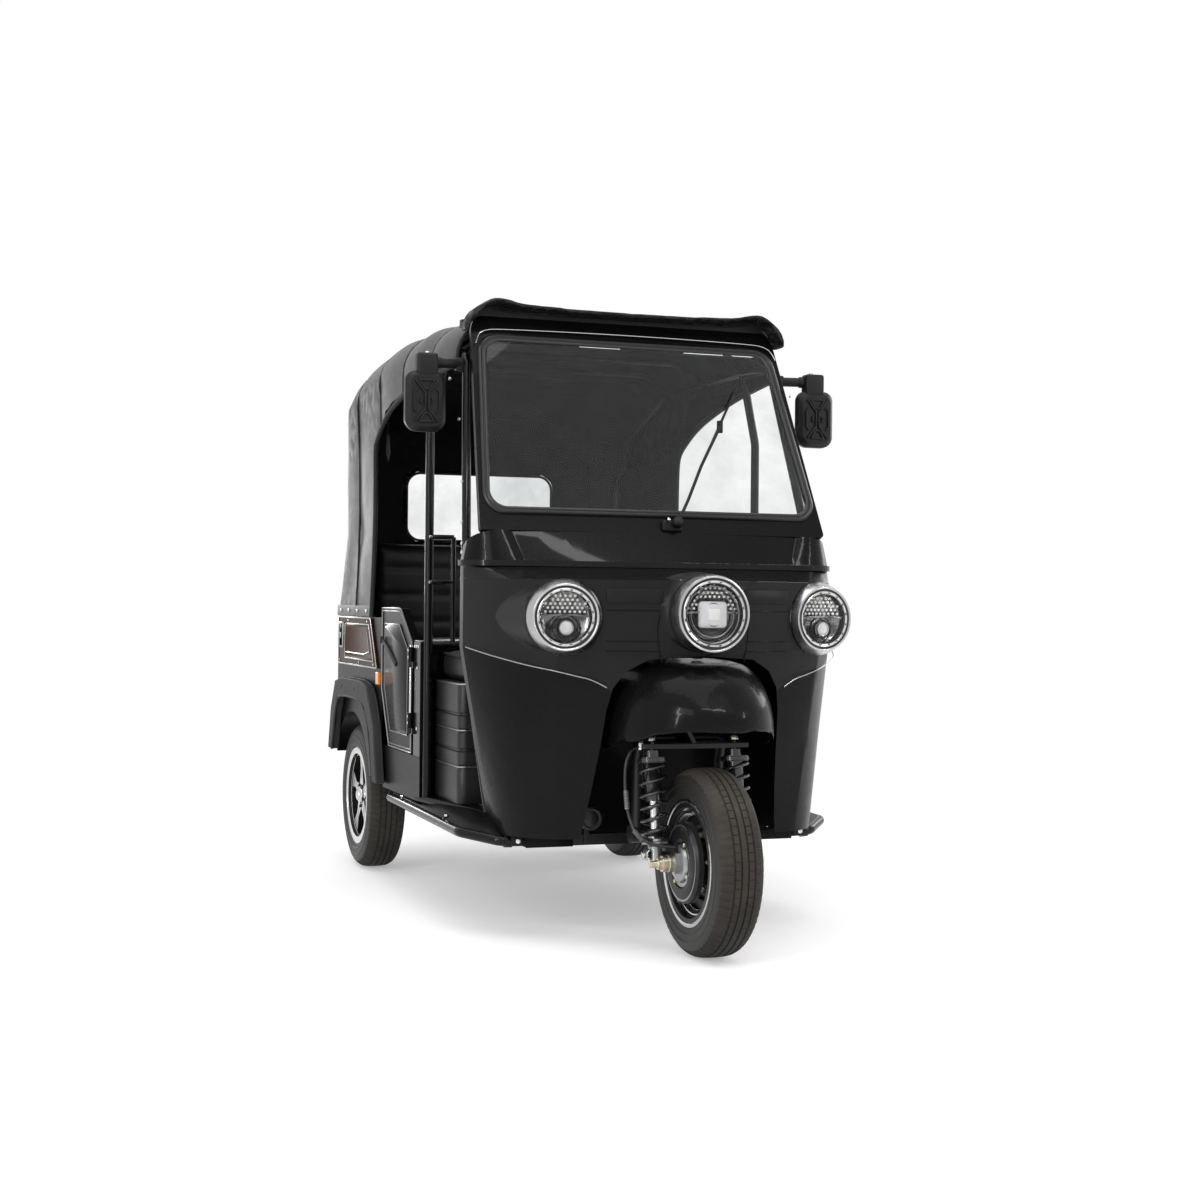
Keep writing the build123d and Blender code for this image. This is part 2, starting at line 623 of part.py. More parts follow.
# visor cap over the screen, x and z of its upper line, from the end to the middle
VISOR = ((498, 1700), (501, 1722), (480, 1757), (432, 1784), (350, 1781), (200, 1776), (0, 1773))
VISOR_T = 13.0
visor_under = [(x * 0.974, z - VISOR_T) for x, z in VISOR]
visor = prism_xz(both(VISOR), SCREEN_Y + 205, ROOF_FRONT - FIT)
visor = visor - prism_xz(both(visor_under) + [(-485, 1600), (485, 1600)], 500, 900)
header = [(640, 1714), (668, 1757.6), (ROOF_FRONT - FIT, 1759.5), (ROOF_FRONT - FIT, 1766), (662, 1766)]
visor = visor + (prism_yz(header, -420, 420) - extrude(SCREEN.offset(-60) * outer, amount=120))
out(visor, "roof_visor")

# -------------------------------------------------------------- canopy
HEM_Z = BODY_TOP + FIT
REAR_WALL = BODY_REAR - 2.0
# y, half width, top height, shoulder radius
CANOPY = (
    (ROOF_FRONT, 500.0, 1741.0, 115.0), (1020.0, 534.0, 1757.0, 125.0), (1450.0, 550.0, 1757.0, 130.0),
    (1850.0, 550.0, 1724.0, 140.0), (1990.0, 550.0, 1682.0, 150.0), (2100.0, 550.0, 1622.0, 150.0),
    (REAR_WALL, 550.0, 1545.0, 150.0),
)
# height, half width and radius of the upright rear corners
CORNERS = (
    (HEM_Z, BODY_W, BODY_CORNER), (1000.0, 544.0, 160.0), (1150.0, 538.0, 220.0), (1400.0, 541.0, 240.0),
    (1800.0, 550.0, 270.0),
)


def hoop_face(row, inset, low):
    """Cross section of the canopy: upright sides, round shoulders, flat top."""
    y, w, top, r = row
    w, top, r = w - inset, top - inset, r - inset
    k = r * (1 - cos(radians(45)))
    return make_face(Wire([
        Line((-w, y, low), (-w, y, top - r)),
        ThreePointArc((-w, y, top - r), (k - w, y, top - k), (r - w, y, top)),
        Line((r - w, y, top), (w - r, y, top)),
        ThreePointArc((w - r, y, top), (w - k, y, top - k), (w, y, top - r)),
        Line((w, y, top - r), (w, y, low)),
        Line((w, y, low), (-w, y, low)),
    ]))


def corner_face(z, w, front, rear, r):
    """Plan of a box whose two rear corners are rounded."""
    k = r * (1 - cos(radians(45)))
    return make_face(Wire([
        Line((-w, front, z), (-w, rear - r, z)),
        ThreePointArc((-w, rear - r, z), (k - w, rear - k, z), (r - w, rear, z)),
        Line((r - w, rear, z), (w - r, rear, z)),
        ThreePointArc((w - r, rear, z), (w - k, rear - k, z), (w, rear - r, z)),
        Line((w, rear - r, z), (w, front, z)),
        Line((w, front, z), (-w, front, z)),
    ]))


def tent(inset):
    """Canopy volume: hooped in cross section, round at the rear corners in plan."""
    low = HEM_Z - inset
    rows = [(CANOPY[0][0] - inset,) + CANOPY[0][1:]] + list(CANOPY[1:])
    hoops = loft([hoop_face(row, inset, low) for row in rows], ruled=True)
    plans = [corner_face(z - (inset if z == HEM_Z else 0), w - inset, 600, REAR_WALL - inset, r - inset)
             for z, w, r in CORNERS]
    return hoops & loft(plans, ruled=True)


# side opening, y and z
OPENING = (
    (600, 800), (1565, 800), (1565, 1433), (1520, 1466), (1389, 1527), (1173, 1571), (980, 1596), (600, 1612),
)
WINDOW_Z = 1272.0
WINDOW_W = 560.0
WINDOW_H = 250.0


def rear_panel(grow, r, y0, y1):
    """Rounded window shape in the rear wall."""
    section = Plane.XZ.offset(-y1) * Pos(0, WINDOW_Z) * RectangleRounded(WINDOW_W + grow, WINDOW_H + grow, r)
    return extrude(section, amount=y1 - y0)


canopy = (tent(0) - tent(SHEET)) - prism_yz(OPENING, -700, 700)
canopy = canopy - rear_panel(0, 50, REAR_WALL - 40, REAR_WALL + 40)
out(canopy, "canopy")
pane_rear = REAR_WALL - SHEET - FIT
out(rear_panel(30, 60, pane_rear - 3, pane_rear), "rear_window")

# ------------------------------------------------------------ cab frame
HOOP_R = 10.0
RAIL_Z = 1655.0
side_frames = []
for s in (1, -1):
    rail = pipe([
        (s * 462, 467, FLOOR_Z + FIT + 2), (s * 532, 467, 800), (s * 532, 467, 1030), (s * 480, 672, 1640),
        (s * 486, 900, RAIL_Z), (s * 516, 1600, RAIL_Z), (s * 512, 1940, 1540), (s * 484, 2020, 1350),
        (s * 484, 2020, BODY_TOP - 40),
    ], TUBE_R, 60)
    foot = rod((s * 484, 2020, BODY_TOP - 24), (s * (BODY_W - SHEET - FIT), 2020, BODY_TOP - 24), 10)
    post = pipe([
        (s * 530, B_POST_Y, FLOOR_Z + FIT), (s * 530, B_POST_Y, 1430), (s * 486, B_POST_Y, 1646),
    ], TUBE_R, 120)
    rungs = [rod((s * 530, B_POST_Y, z), (s * 455, B_POST_Y, z), 7) for z in (1115, 980)]
    stile = rod((s * 455, B_POST_Y, POST_REAR - 176), (s * 455, B_POST_Y, 1115), 7)
    side_frames.append(fuse([rail, post, stile, foot] + rungs))
out(Compound(children=side_frames), "side_frames")
# y, half width and height of each roof hoop's feet
HOOPS = ((708, 481, 1641), (B_POST_Y, 485.5, 1654), (1250, 503, RAIL_Z), (1590, 519.5, RAIL_Z))
hoops = []
for y, w, z in HOOPS:
    hoops.append(pipe([(-w, y, z), (100 - w, y, z + 66), (w - 100, y, z + 66), (w, y, z)], HOOP_R, 60))
hoops.append(rod((-484, 2020, 1100), (484, 2020, 1100), HOOP_R))
trimmed = [hoop - side_frames[0] - side_frames[1] for hoop in hoops]
out(Compound(children=[max(hoop.solids(), key=lambda s: s.volume) for hoop in trimmed]), "roof_hoops")

# ------------------------------------------------------------ chassis
CROSS_Y = 336.0         # front cross member that carries the side bars
CROSS_END = 400.0
chassis = [prism_yz(NECK, -28, 28) - rod(on_axis(600), on_axis(1000), 28)]
for s in (1, -1):
    rail = block(s * (RAIL_X - RAIL_HALF), s * (RAIL_X + RAIL_HALF), 450, 2140, RAIL_LOW, RAIL_TOP)
    chassis.append(rail)
    chassis.append(block(s * 264, s * 300, CROSS_Y - 14, 480, 258, 288))
    for y in (WHEELBASE - LEAF_HALF, WHEELBASE + LEAF_HALF):
        tip = LEAF_SEAT + FIT + 3 * LEAF_T + LEAF_HALF ** 2 / (2 * LEAF_BEND) + 1
        chassis.append(block(s * (RAIL_X + RAIL_HALF - 1), s * (LEAF_X + LEAF_W / 2), y - 12, y + 12, tip, RAIL_TOP))
chassis.append(block(-CROSS_END, CROSS_END, CROSS_Y - 14, CROSS_Y + 14, 258, 288))
for y in (500, 900, 1350, 2120):
    chassis.append(block(-RAIL_X, RAIL_X, y - 20, y + 20, RAIL_LOW + 10, RAIL_TOP))
head = rod(on_axis(HEAD_LOW), on_axis(HEAD_TOP), 30) - rod(on_axis(HEAD_LOW - 10), on_axis(HEAD_TOP + 10), STEM_R + CLEAR)
out(fuse(chassis + [head]), "chassis_frame")

# floor, x and y
FLOOR = ((470, 454), (512, 900), (530, 1300), (380, BODY_FRONT - FIT), (380, 2100))
floor_pts = list(FLOOR) + [(-x, y) for x, y in reversed(FLOOR)]
floor = prism_xy(floor_pts, FLOOR_Z - SHEET, FLOOR_Z) - prism_yz(NECK, -28 - FIT, 28 + FIT)
sills = [block(-RAIL_X, RAIL_X, 960, 1000, RAIL_TOP + FIT, FLOOR_Z)]
for s in (1, -1):
    line = [(462, 454), (BODY_W - 2, 960), (BODY_W - 2, BODY_FRONT - 20), (BODY_W - 9, BODY_FRONT - 20),
            (BODY_W - 9, 960), (455, 454)]
    sills.append(prism_xy([(s * x, y) for x, y in line], 322, FLOOR_Z))
    sills.append(block(s * (BODY_W - 9), s * (BODY_W - 2), 905, BODY_FRONT - 2, FLOOR_Z - SHEET, DOOR_LOW - 6))
    sills.append(block(s * 505, s * (BODY_W - 5), 966, 1296, 333, FLOOR_Z - 1))
out(fuse([floor] + sills), "floor_pan")

BAR_OUT = 550.0
BAR_TUBE_R = 14.0
bars = []
for s in (1, -1):
    bar = pipe([
        (s * BAR_OUT, 1255, 300), (s * BAR_OUT, 440, 290), (s * 464, CROSS_Y + 2, 275),
        (s * (CROSS_END + 3 * FIT), CROSS_Y, 273),
    ], BAR_TUBE_R, 40)
    stays = [rod((s * (RAIL_X + RAIL_HALF + FIT), y, 306), (s * BAR_OUT, y, 300), 10) for y in (620, 1150)]
    bars.append(fuse([bar] + stays))
out(Compound(children=bars), "side_bars")
horn = Pos(-224, CROSS_Y - 14 - FIT - 21, 335) * Rot(90, 0, 0) * (Cylinder(32, 30) + Pos(0, 0, 17) * Cylinder(20, 8))
horn = horn + block(-232, -216, CROSS_Y - 14 - FIT - 6, CROSS_Y - 14 - FIT, 262, 335)
out(horn, "horn")

# ------------------------------------------------------------ rear body
def body_block(inset, low, high):
    """Rear body volume with its two rounded rear corners."""
    front = BODY_FRONT - 20 if inset else BODY_FRONT
    face = corner_face(low, BODY_W - inset, front, BODY_REAR - inset, BODY_CORNER - inset)
    return extrude(face, amount=high - low, dir=(0, 0, 1))


def wheel_drum(x, r, width):
    """Cylinder about a rear wheel's axis."""
    return Pos(x, WHEELBASE, WHEEL_Z) * Rot(0, 90, 0) * Cylinder(r, width)


TAIL_CUT = ((2040, FLOOR_Z - 10), (2040, FLOOR_Z), (BODY_REAR, 430), (BODY_REAR + 60, 430), (BODY_REAR + 60, 300))
envelope = body_block(0, FLOOR_Z, BODY_TOP) - prism_yz(TAIL_CUT, -700, 700)
shell = envelope - body_block(SHEET, FLOOR_Z - 5, BODY_TOP + 5)
shell = shell - wheel_drum(0, ARCH_R, 2 * BODY_W + 100)
tubs = []
for s in (1, -1):
    arch = wheel_drum(s * 473, ARCH_R + SHEET, 148) - wheel_drum(s * 473, ARCH_R, 160)
    tubs.append((arch + wheel_drum(s * 400, ARCH_R + SHEET, SHEET)) & envelope)
shell = fuse([shell] + tubs)
shell = shell - block(-HATCH_HALF, HATCH_HALF, BODY_REAR - 30, BODY_REAR + 30, HATCH_LOW, HATCH_TOP)
HATCH_PIN_R = 5.0
pin_y, pin_z = BODY_REAR + 6, HATCH_LOW - 1
lid = block(2 * CLEAR - HATCH_HALF, HATCH_HALF - 2 * CLEAR, BODY_REAR - 6, BODY_REAR + 2, HATCH_LOW + CLEAR, HATCH_TOP - CLEAR)
lid = lid + block(-60, 60, BODY_REAR, BODY_REAR + 18, 730, 752)
for s in (1, -1):
    lid = lid + rod((s * 180, pin_y, pin_z), (s * 230, pin_y, pin_z), HATCH_PIN_R)
    lid = lid + block(s * 180, s * 230, BODY_REAR - 2, pin_y, pin_z + 2, HATCH_LOW + 12)
    for x in (160, 230 + FIT):
        shell = shell + rod((s * x, pin_y, pin_z), (s * (x + 20 - FIT), pin_y, pin_z), HATCH_PIN_R)
        shell = shell + block(s * x, s * (x + 20 - FIT), BODY_REAR - 1, pin_y, pin_z - 5, pin_z)
out(shell, "rear_body")
out(lid, "rear_lid")

# side trim, y and z
TRIM = ((1452, 702), (1552, 864), (2060, 864), (2060, 700))
# flare, y and z, outer then inner line
FLARE = (
    (1345, 335), (1400, 520), (1505, 640), (1600, 655), (1900, 655), (2010, 640), (2080, 540), (2122, 392),
    (2062, 392), (2024, 506), (1975, 580), (1900, 592), (1640, 592), (1540, 572), (1455, 490), (1410, 335),
)
FLARE_OUT = 30.0
trims, flares, markers = [], [], []
for tag, s in SIDES:
    x0 = s * (BODY_W + FIT)
    trim = prism_yz(TRIM, x0, s * (BODY_W + 6)) + block(s * (BODY_W + 5), s * (BODY_W + 14), 1968, 2012, 762, 842)
    trims.append(trim)
    outer_face = prism_yz(FLARE, x0, s * (BODY_W + FLARE_OUT))
    flares.append(outer_face)
    markers.append(block(x0, s * (BODY_W + 12), 1412, 1446, 650, 690))
out(Compound(children=trims), "side_trims")
out(Compound(children=flares), "wheel_flares")
out(Compound(children=markers), "side_markers")

# bumper, plate, tail lamps
bumper_y = BUMPER_REAR - BUMPER_R
bumper = pipe([(-480, 2150, BUMPER_Z), (-480, bumper_y, BUMPER_Z), (480, bumper_y, BUMPER_Z), (480, 2150, BUMPER_Z)],
              BUMPER_R, 60)
stays = [block(s * 286, s * 314, 2140 + FIT, bumper_y, 300, 328) for s in (1, -1)]
tow_eye = block(-5, 5, bumper_y - 41, BUMPER_REAR, 262, 318)
tow_eye = tow_eye - Pos(0, bumper_y - 13, 284) * Rot(0, 90, 0) * Cylinder(EYE_HOLE_R, 20)
out(fuse([bumper] + stays + [tow_eye]), "rear_bumper")
lamps = [block(s * 385, s * 440, BODY_REAR + FIT, BODY_REAR + 24, 520, 700) for s in (1, -1)]
out(Compound(children=lamps), "tail_lamps")
plate = block(-130, 130, bumper_y - 2, bumper_y + 2, BUMPER_Z + BUMPER_R + FIT, 404)
for s in (1, -1):
    plate = plate - Pos(s * PLATE_HOLE_X, bumper_y, 384) * Rot(90, 0, 0) * Cylinder(PLATE_HOLE_R, 20)
out(plate, "plate_holder")

# ------------------------------------------------------------ doors
HINGE_Z = (540.0, 740.0)
hinge_y = DOOR_FRONT - 8
door_outline = [
    (DOOR_FRONT, DOOR_LOW), (DOOR_FRONT, 800), (1140, 896), (1165, DOOR_TOP),
    (DOOR_REAR, DOOR_TOP), (DOOR_REAR, 640), (1290, DOOR_LOW),
]
posts = []
for tag, s in SIDES:
    door = [prism_yz(door_outline, s * (BODY_W - DOOR_T), s * BODY_W)]
    post = [block(s * 516, s * BODY_W, 900, POST_REAR, DOOR_LOW - 5, 800)]
    for z in HINGE_Z:
        door.append(rod((s * HINGE_X, hinge_y, z), (s * HINGE_X, hinge_y, z + HINGE_H), HINGE_R))
        door.append(block(s * (BODY_W - 1), s * HINGE_X, hinge_y, DOOR_FRONT + 30, z, z + HINGE_H))
        low = z - FIT - 18
        post.append(rod((s * HINGE_X, hinge_y, low), (s * HINGE_X, hinge_y, z - FIT), HINGE_R))
        post.append(block(s * (BODY_W - 6), s * (HINGE_X + 2), POST_REAR - 16, hinge_y, low, z - FIT))
    out(fuse(door), "door_" + tag)
    posts += post
wall = block(-520, 520, 950, 956, FLOOR_Z + FIT, 800)
rail = rod((-520, 953, 800), (520, 953, 800), 12)
out(fuse(posts + [wall, rail]), "partition")

# ------------------------------------------------------------ seats
bench = block(-500, 500, 640, 925, FLOOR_Z + FIT, SEAT_TOP) - block(-494, 494, 646, 919, 300, SEAT_TOP - 6)
out(bench, "driver_seat_base")
out(pad(490, 632, 932, SEAT_TOP + FIT, 775, 30), "driver_cushion")
out(pad(300, 885, 950 - FIT, 790, 1060, 24) - block(-600, 600, 935, 975, 700, 814), "driver_backrest")
base = block(-370, 370, 1430, 1980, FLOOR_Z + FIT, 650) - block(-364, 364, 1436, 1974, 300, 644)
out(base, "rear_seat_base")
out(pad(520, 1420, 1985, 650 + FIT, 755, 34), "rear_cushion")
out(pad(464, 1922, 2008, 755 + FIT, 1135, 30), "rear_backrest")
battery = block(-350, 350, 1450, 1700, FLOOR_Z + FIT, 610)
out(battery, "battery_pack")
dash = prism_yz([(330, 1082), (436, 1082), (436, 1104), (394, 1116), (330, 1118)], -440, 440)
dash_room = nose_block([raised(cowl_rows[0], 1038.0), cowl_rows[1]], SHEET + FIT, 500)
dash = (dash & dash_room) - extrude(SCREEN.offset(-FRAME_T - FIT) * Pos(0, 300) * Rectangle(1400, 700), amount=200)
out(dash, "dashboard")

# ------------------------------------------------------------ mirrors
# distance of a mirror section behind the front axle, its width, height and corner radius
MIRROR = ((-656, 106, 160, 26), (-642, 118, 172, 28), (-624, 118, 172, 28), (-612, 96, 150, 24))
mirrors = []
for tag, s in SIDES:
    arm = rod((s * (490 + TUBE_R), 660, 1604), (s * 598, 642, 1604), 14)
    elbow = block(s * 578, s * 638, 616, 656, 1566, 1626)
    head = loft([Plane.XZ.offset(y) * Pos(s * 612, 1490) * RectangleRounded(w, h, r) for y, w, h, r in MIRROR],
                ruled=True)
    mirrors.append(fuse([arm, elbow, head]) - side_frames[0 if s == 1 else 1])
out(Compound(children=[max(m.solids(), key=lambda q: q.volume) for m in mirrors]), "mirrors")

# ------------------------------------------------------------ lamps
bezels, lenses = [], []
for lamp in LAMPS:
    x, y, z, yaw, r_bezel, depth, r_lens, deep, half, shift = lamp
    plane = lamp_frame(x, y, z, yaw)
    cone = loft([plane.offset(FIT - depth) * Circle(r_bezel), plane.offset(4) * Circle(r_lens + 9)])
    cup = extrude(plane.offset(-depth - 14) * Circle(r_bezel - 3 - SHEET - FIT), amount=20)
    hole = extrude(plane.offset(-depth - 20) * Circle(r_lens + FIT), amount=90)
    bezels.append((cone + cup) - hole)
    bowl = loft([plane.offset(-72) * Circle(r_lens * 0.5), plane.offset(-26) * Circle(r_lens - 10)])
    drum = extrude(plane.offset(-26) * Circle(r_lens), amount=26)
    dome = loft([plane * Circle(r_lens), plane.offset(7) * Circle(r_lens * 0.7)])
    lenses.append(fuse([bowl, drum, dome]))
out(Compound(children=bezels), "lamp_bezels")
out(Compound(children=lenses), "lamps")

# ------------------------------------------------------------ rear axle
axle_bits = [rod((-400, WHEELBASE, WHEEL_Z), (400, WHEELBASE, WHEEL_Z), 30)]
axle_bits.append(rod((-508, WHEELBASE, WHEEL_Z), (508, WHEELBASE, WHEEL_Z), AXLE_R))
axle_bits.append(Pos(0, WHEELBASE, WHEEL_Z) * Sphere(88))
axle_bits.append(rod((60, WHEELBASE, WHEEL_Z), (250, WHEELBASE, WHEEL_Z), 78))
for s in (1, -1):
    axle_bits.append(rod((s * 396, WHEELBASE, WHEEL_Z), (s * 428, WHEELBASE, WHEEL_Z), DRUM_R))
    axle_bits.append(block(s * (LEAF_X - 25), s * (LEAF_X + 25), WHEELBASE - 36, WHEELBASE + 36, WHEEL_Z + 10, LEAF_SEAT))
out(fuse(axle_bits), "rear_axle")
springs = []
for s in (1, -1):
    leaves = []
    for k in range(3):
        half = LEAF_HALF - 70 * k
        low = LEAF_SEAT + FIT + LEAF_T * (2 - k)
        top = low + LEAF_T
        rise = half ** 2 / (2 * LEAF_BEND)
        ends = [Vector(s * LEAF_X - LEAF_W / 2, WHEELBASE + j * half, 0) for j in (-1, 1)]
        mid = Vector(s * LEAF_X - LEAF_W / 2, WHEELBASE, 0)
        up = [ends[0] + Vector(0, 0, top + rise), mid + Vector(0, 0, top), ends[1] + Vector(0, 0, top + rise)]
        down = [ends[1] + Vector(0, 0, low + rise), mid + Vector(0, 0, low), ends[0] + Vector(0, 0, low + rise)]
        outline = Wire([ThreePointArc(*up), Line(up[2], down[0]), ThreePointArc(*down), Line(down[2], up[0])])
        leaves.append(extrude(make_face(outline), amount=LEAF_W, dir=(1, 0, 0)))
    springs.append(fuse(leaves))
out(Compound(children=springs), "leaf_springs")
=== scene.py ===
"""Dressed model of a three-wheel passenger auto rickshaw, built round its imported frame."""

import logging
import math
from dataclasses import dataclass
from enum import Enum
from typing import Callable, Iterable, Optional, Sequence

import bmesh
import bpy
from mathutils import Matrix, Vector

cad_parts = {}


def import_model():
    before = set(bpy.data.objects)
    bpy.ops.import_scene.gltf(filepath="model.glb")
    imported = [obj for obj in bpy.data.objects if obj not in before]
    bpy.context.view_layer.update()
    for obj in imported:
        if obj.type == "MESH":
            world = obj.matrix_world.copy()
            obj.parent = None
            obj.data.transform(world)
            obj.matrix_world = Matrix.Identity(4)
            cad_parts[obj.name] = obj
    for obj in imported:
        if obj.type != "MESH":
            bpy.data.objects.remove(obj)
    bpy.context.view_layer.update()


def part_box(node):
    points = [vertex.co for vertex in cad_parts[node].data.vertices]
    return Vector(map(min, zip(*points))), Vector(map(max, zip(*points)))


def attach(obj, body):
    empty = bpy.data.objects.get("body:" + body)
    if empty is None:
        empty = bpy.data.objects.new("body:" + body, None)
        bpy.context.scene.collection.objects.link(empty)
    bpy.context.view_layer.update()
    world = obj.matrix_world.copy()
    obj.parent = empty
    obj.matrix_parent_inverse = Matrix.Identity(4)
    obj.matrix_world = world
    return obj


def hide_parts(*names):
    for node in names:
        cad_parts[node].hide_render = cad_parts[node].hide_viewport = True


log = logging.getLogger("rickshaw")

MM = 0.001
Y_MID = 1021.5          # the front axle lies this far ahead of the middle, mm
SIDES = (("left", 1), ("right", -1))
Point = Sequence[float]


def at(x: float, y: float, z: float) -> Vector:
    """Place in metres from millimetres measured from the front axle."""
    return Vector((x, y - Y_MID, z)) * MM


class Bump(Enum):
    """Kinds of small relief that a finish may carry."""
    NONE = "none"
    GRAIN = "grain"
    WEAVE = "weave"
    LEATHER = "leather"
    BRUSHED = "brushed"
    CAST = "cast"


class Body(Enum):
    """Moving bodies of the vehicle."""
    ROOT = "body"
    STEERING = "steering"
    FRONT_WHEEL = "front_wheel"
    REAR_LEFT = "rear_wheel_left"
    REAR_RIGHT = "rear_wheel_right"
    DOOR_LEFT = "left_door"
    DOOR_RIGHT = "right_door"
    HATCH = "rear_hatch"


# ------------------------------------------------------------------ finishes
def _group(name: str, inputs: Sequence[tuple], outputs: Sequence[tuple]) -> bpy.types.NodeTree:
    """Start a shader node group.

    Args:
        name: name of the group.
        inputs: (socket name, socket type, default) rows.
        outputs: (socket name, socket type) rows.

    Returns:
        The new node tree with its group input and output nodes.
    """
    tree = bpy.data.node_groups.new(name, "ShaderNodeTree")
    for label, kind, default in inputs:
        socket = tree.interface.new_socket(name=label, in_out="INPUT", socket_type=kind)
        socket.default_value = default
    for label, kind in outputs:
        tree.interface.new_socket(name=label, in_out="OUTPUT", socket_type=kind)
    tree.nodes.new("NodeGroupInput").name = "in"
    tree.nodes.new("NodeGroupOutput").name = "out"
    return tree


def _noise(tree: bpy.types.NodeTree, scale: float, detail: float = 4.0, rough: float = 0.6) -> bpy.types.Node:
    """Noise texture node with fixed settings."""
    node = tree.nodes.new("ShaderNodeTexNoise")
    node.inputs["Scale"].default_value = scale
    node.inputs["Detail"].default_value = detail
    node.inputs["Roughness"].default_value = rough
    return node


def mottle_group() -> bpy.types.NodeTree:
    """Group that gives a slow and a fine mottle mask from object coordinates."""
    found = bpy.data.node_groups.get("mottle")
    if found:
        return found
    tree = _group("mottle", [("Vector", "NodeSocketVector", (0, 0, 0)), ("Scale", "NodeSocketFloat", 8.0),
                             ("Low", "NodeSocketFloat", 0.35), ("High", "NodeSocketFloat", 0.65)],
                  [("Mask", "NodeSocketFloat"), ("Fine", "NodeSocketFloat")])
    start, end, links = tree.nodes["in"], tree.nodes["out"], tree.links
    slow = _noise(tree, 5.0)
    ramp = tree.nodes.new("ShaderNodeMapRange")
    fine = _noise(tree, 60.0, 6.0)
    times = tree.nodes.new("ShaderNodeMath")
    times.operation = "MULTIPLY"
    times.inputs[1].default_value = 14.0
    links.new(start.outputs["Vector"], slow.inputs["Vector"])
    links.new(start.outputs["Scale"], slow.inputs["Scale"])
    links.new(start.outputs["Vector"], fine.inputs["Vector"])
    links.new(start.outputs["Scale"], times.inputs[0])
    links.new(times.outputs[0], fine.inputs["Scale"])
    links.new(slow.outputs["Fac"], ramp.inputs["Value"])
    links.new(start.outputs["Low"], ramp.inputs["From Min"])
    links.new(start.outputs["High"], ramp.inputs["From Max"])
    links.new(ramp.outputs["Result"], end.inputs["Mask"])
    links.new(fine.outputs["Fac"], end.inputs["Fine"])
    return tree


def dust_group() -> bpy.types.NodeTree:
    """Group that gives a dust mask: thicker on upward faces and in patches."""
    found = bpy.data.node_groups.get("dust")
    if found:
        return found
    tree = _group("dust", [("Vector", "NodeSocketVector", (0, 0, 0)), ("Amount", "NodeSocketFloat", 0.3)],
                  [("Mask", "NodeSocketFloat")])
    start, end, links = tree.nodes["in"], tree.nodes["out"], tree.links
    geometry = tree.nodes.new("ShaderNodeNewGeometry")
    split = tree.nodes.new("ShaderNodeSeparateXYZ")
    patch = _noise(tree, 22.0, 8.0, 0.7)
    upward = tree.nodes.new("ShaderNodeMapRange")
    upward.inputs["From Min"].default_value = -0.4
    blend = tree.nodes.new("ShaderNodeMath")
    blend.operation = "MULTIPLY"
    amount = tree.nodes.new("ShaderNodeMath")
    amount.operation = "MULTIPLY"
    amount.use_clamp = True
    links.new(geometry.outputs["Normal"], split.inputs[0])
    links.new(split.outputs["Z"], upward.inputs["Value"])
    links.new(start.outputs["Vector"], patch.inputs["Vector"])
    links.new(upward.outputs["Result"], blend.inputs[0])
    links.new(patch.outputs["Fac"], blend.inputs[1])
    links.new(blend.outputs[0], amount.inputs[0])
    links.new(start.outputs["Amount"], amount.inputs[1])
    links.new(amount.outputs[0], end.inputs["Mask"])
    return tree


def relief_group(kind: Bump) -> bpy.types.NodeTree:
    """Group that gives the height of one kind of small relief.

    Args:
        kind: the relief wanted.

    Returns:
        A group with Vector and Scale inputs and a Height output.
    """
    name = "relief_" + kind.value
    found = bpy.data.node_groups.get(name)
    if found:
        return found
    tree = _group(name, [("Vector", "NodeSocketVector", (0, 0, 0)), ("Scale", "NodeSocketFloat", 400.0)],
                  [("Height", "NodeSocketFloat")])
    start, end, links = tree.nodes["in"], tree.nodes["out"], tree.links
    if kind == Bump.WEAVE:
        waves = []
        for direction in ("X", "Z"):
            wave = tree.nodes.new("ShaderNodeTexWave")
            wave.bands_direction = direction
            wave.inputs["Distortion"].default_value = 0.6
            links.new(start.outputs["Vector"], wave.inputs["Vector"])
            links.new(start.outputs["Scale"], wave.inputs["Scale"])
            waves.append(wave)
        top = tree.nodes.new("ShaderNodeMath")
        top.operation = "MAXIMUM"
        links.new(waves[0].outputs["Fac"], top.inputs[0])
        links.new(waves[1].outputs["Fac"], top.inputs[1])
        links.new(top.outputs[0], end.inputs["Height"])
        return tree
    if kind in (Bump.LEATHER, Bump.CAST):
        cells = tree.nodes.new("ShaderNodeTexVoronoi")
        cells.feature = "F1" if kind == Bump.CAST else "SMOOTH_F1"
        links.new(start.outputs["Vector"], cells.inputs["Vector"])
        links.new(start.outputs["Scale"], cells.inputs["Scale"])
        links.new(cells.outputs["Distance"], end.inputs["Height"])
        return tree
    noise = _noise(tree, 1.0, 5.0, 0.65)
    if kind == Bump.BRUSHED:
        mapping = tree.nodes.new("ShaderNodeMapping")
        mapping.inputs["Scale"].default_value = (1.0, 1.0, 0.04)
        links.new(start.outputs["Vector"], mapping.inputs["Vector"])
        links.new(mapping.outputs["Vector"], noise.inputs["Vector"])
    else:
        links.new(start.outputs["Vector"], noise.inputs["Vector"])
    links.new(start.outputs["Scale"], noise.inputs["Scale"])
    links.new(noise.outputs["Fac"], end.inputs["Height"])
    return tree


